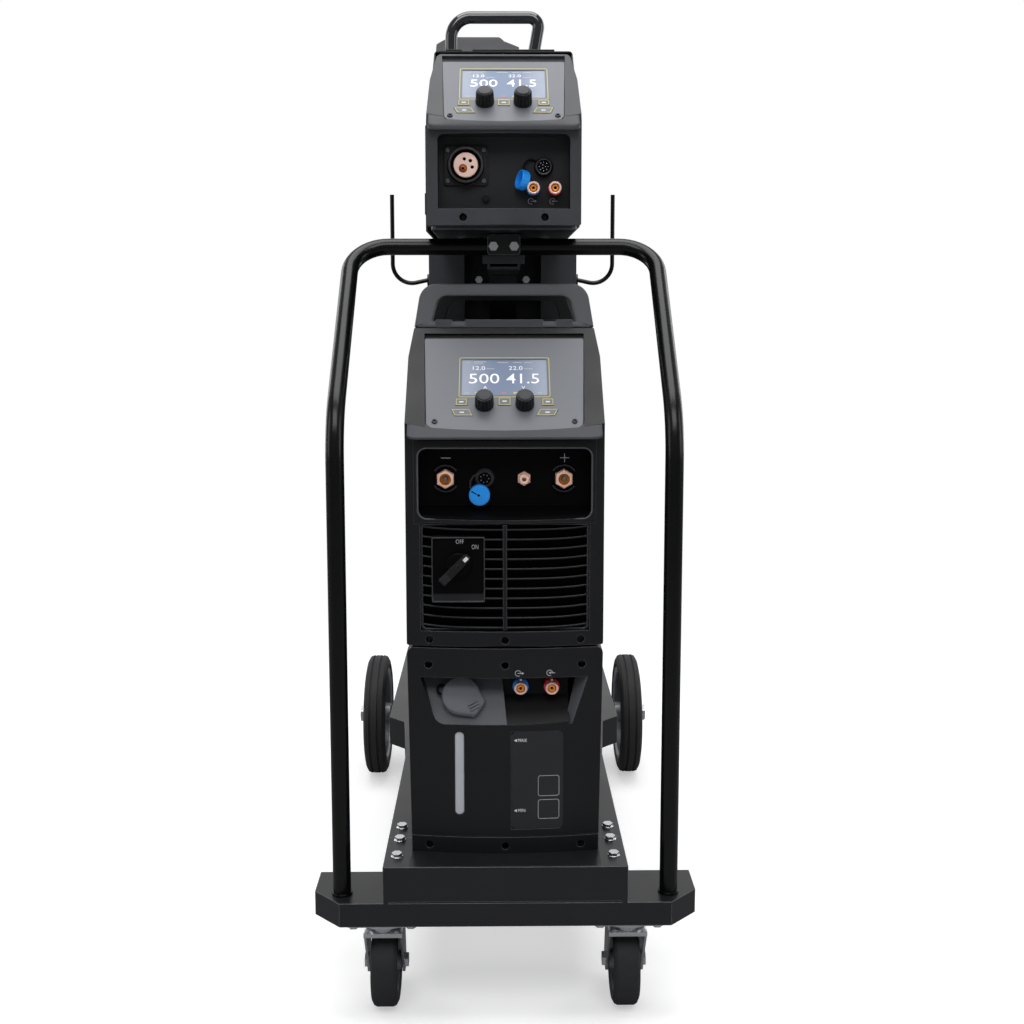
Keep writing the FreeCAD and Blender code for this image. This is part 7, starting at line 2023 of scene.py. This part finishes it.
@dataclass
class Studio:
    """Pale floor, white surround, soft lights and the photograph's camera."""

    lens: float = 42.94
    camera_place: tuple[float, float, float] = (-0.009, -2.166, 1.003)
    pitch: float = 6.63
    yaw: float = 0.657
    roll: float = 0.04
    shift_y: float = -0.0605
    floor_size: float = 14.0
    floor_colours: tuple[str, str] = ("#e6e6e7", "#8b8b8d")
    floor_glow: float = 0.45
    fade: Point = (0.7, 1.9)
    mirrored: Point = (0.2, 0.85)
    ambient: float = 0.22

    def build(self) -> None:
        """Sets the view transform, the surround, the floor, the lights and the camera."""
        bpy.context.scene.view_settings.view_transform = "Standard"
        self.surround()
        self.floor()
        self.lights()
        self.camera()

    def surround(self) -> None:
        """White for the camera; reflections see it dim in front and bright behind, as in a studio."""
        world = bpy.data.worlds.new("surround")
        bpy.context.scene.world = world
        tree = emptied(world)
        path = add_node(tree, "ShaderNodeLightPath")
        way = add_node(tree, "ShaderNodeSeparateXYZ", {0: add_node(tree, "ShaderNodeTexCoord").outputs["Generated"]})
        depth = ranged(tree, way.outputs["Y"], -0.1, 1.0, *self.mirrored)
        mirror = maths(tree, "MAXIMUM", path.outputs["Is Glossy Ray"], path.outputs["Is Transmission Ray"])
        seen = add_node(tree, "ShaderNodeMix", {0: mirror, 2: self.ambient, 3: depth}, data_type="FLOAT")
        level = add_node(tree, "ShaderNodeMix", {0: path.outputs["Is Camera Ray"], 2: seen.outputs[0], 3: 1.0},
                         data_type="FLOAT")
        back = add_node(tree, "ShaderNodeBackground", {"Color": srgb("#ffffff"), "Strength": level.outputs[0]})
        add_node(tree, "ShaderNodeOutputWorld", {"Surface": back.outputs[0]})

    def floor(self) -> None:
        """A pale floor that keeps the machine's shadow."""
        half = self.floor_size / 2
        mesh = bpy.data.meshes.new("floor")
        mesh.from_pydata([(-half, -half, 0), (half, -half, 0), (half, half, 0), (-half, half, 0)], [], [(0, 1, 2, 3)])
        plane = linked("floor", mesh)
        # The floor: matt and pale with a faint glow, darker in mirrors, and fading to white away from the machine
        made = bpy.data.materials.new("pale studio floor")
        tree = emptied(made)
        path = add_node(tree, "ShaderNodeLightPath").outputs
        direct, in_mirror = (srgb(colour) for colour in self.floor_colours)
        spread = add_node(tree, "ShaderNodeBsdfDiffuse", {
            "Color": blended(tree, path["Is Glossy Ray"], direct, in_mirror)})
        glow = add_node(tree, "ShaderNodeEmission", {
            "Color": srgb("#ffffff"), "Strength": maths(tree, "MULTIPLY", path["Is Camera Ray"], self.floor_glow)})
        near = add_node(tree, "ShaderNodeAddShader", {0: spread.outputs[0], 1: glow.outputs[0]})
        reach = add_node(tree, "ShaderNodeVectorMath", {0: add_node(tree, "ShaderNodeTexCoord").outputs["Object"]},
                         operation="LENGTH")
        away = ranged(tree, reach.outputs["Value"], *self.fade, kind="SMOOTHSTEP")
        fade = maths(tree, "MULTIPLY", away, path["Is Camera Ray"])
        white = add_node(tree, "ShaderNodeEmission", {"Color": srgb("#ffffff"), "Strength": 1.0})
        both = add_node(tree, "ShaderNodeMixShader", {0: fade, 1: near.outputs[0], 2: white.outputs[0]})
        add_node(tree, "ShaderNodeOutputMaterial", {"Surface": both.outputs[0]})
        mesh.materials.append(made)

    def softbox(self, name: str, place: Place, target: Place, size: Point, power: float) -> None:
        """One rectangular lamp.

        Args:
            name: the lamp's name.
            place: where it hangs, in metres.
            target: what it looks at, in metres.
            size: its width and height in metres.
            power: its power in watts.
        """
        lamp = bpy.data.lights.new(name, "AREA")
        lamp.shape = "RECTANGLE"
        lamp.size, lamp.size_y = size
        lamp.energy = power
        holder = linked(name, lamp)
        holder.location = place
        holder.rotation_euler = (Vector(target) - Vector(place)).to_track_quat("-Z", "Y").to_euler()

    def lights(self) -> None:
        """A wide lamp overhead, two soft ones in front and strips behind each side."""
        self.softbox("overhead", (0.0, -0.35, 4.2), (0, 0, 0.6), (3.2, 2.8), 112)
        self.softbox("front top", (0.0, -3.0, 3.4), (0, 0, 0.8), (3.0, 1.4), 52)
        for kind, x, y, height, size, power in (("side", 3.0, -1.2, 0.75, (1.2, 2.0), 13),
                                                ("rim", 2.3, 1.6, 0.8, (0.7, 2.4), 15)):
            for side, sign in (("left", -1), ("right", 1)):
                self.softbox(f"{kind} {side}", (sign * x, y, 1.6), (0, 0, height), size, power)

    def camera(self) -> None:
        """The photograph's camera."""
        lens = bpy.data.cameras.new("camera")
        lens.lens = self.lens
        lens.sensor_width = 36.0
        lens.shift_y = self.shift_y
        holder = linked("camera", lens)
        holder.location = self.camera_place
        holder.rotation_euler = (
            math.radians(90.0 - self.pitch), math.radians(self.roll), math.radians(-self.yaw))
        bpy.context.scene.camera = holder


def main() -> None:
    """Builds the studio and dresses the machine, one sub-assembly after the other."""
    logging.basicConfig(level=logging.INFO, format="%(message)s")
    Studio().build()
    screws, rings, rows = Screws(), Rings(), Rows()
    Cart().dress()
    Wheels().dress(rings)
    Cooler().dress(screws, rows)
    PowerSource().dress(screws, rows)
    Panel(name="source", body="cart", front=MACHINE_FRONT, base_z=835.0, foil_half=(107.0, 115.0),
          foil_s=(4.5, 177.0), foil_sag=6.0, knobs=[(-28, 51), (28, 51)], key_x=60, key_s=56, slant_s=37,
          middle_s=57, display_s=69, screws=[(-96, 21), (96, 21)], brow_half=133.0,
          brow_profile=[(-7.0, 0.12), (-8.5, -0.3), (-10.3, -1.8), (3.8, -15.8)], brow_skin=BROW_SLOPE_PAINTED_LIT,
          figure_size=1.0, figure_rise=0.0).dress(screws)
    Feeder().dress(screws, rings)
    Panel(name="feeder", body="feeder", front=FEEDER_FRONT, base_z=1264.0, foil_half=(84.0, 90.0),
          foil_s=(-0.5, 142.0), foil_sag=5.0, knobs=[(-27, 43), (27, 43)], key_x=57, key_s=43, slant_s=25,
          middle_s=43, display_s=55, screws=[(-76, 13), (76, 13)], brow_half=107.0,
          brow_profile=[(-6.0, -0.6), (-9.5, -2.6), (-12.5, -5.8), (-2.5, -15.8)], brow_skin=BROW_SLATE,
          figure_size=0.92, figure_rise=4.8).dress(screws)


if __name__ == "__main__":
    main()
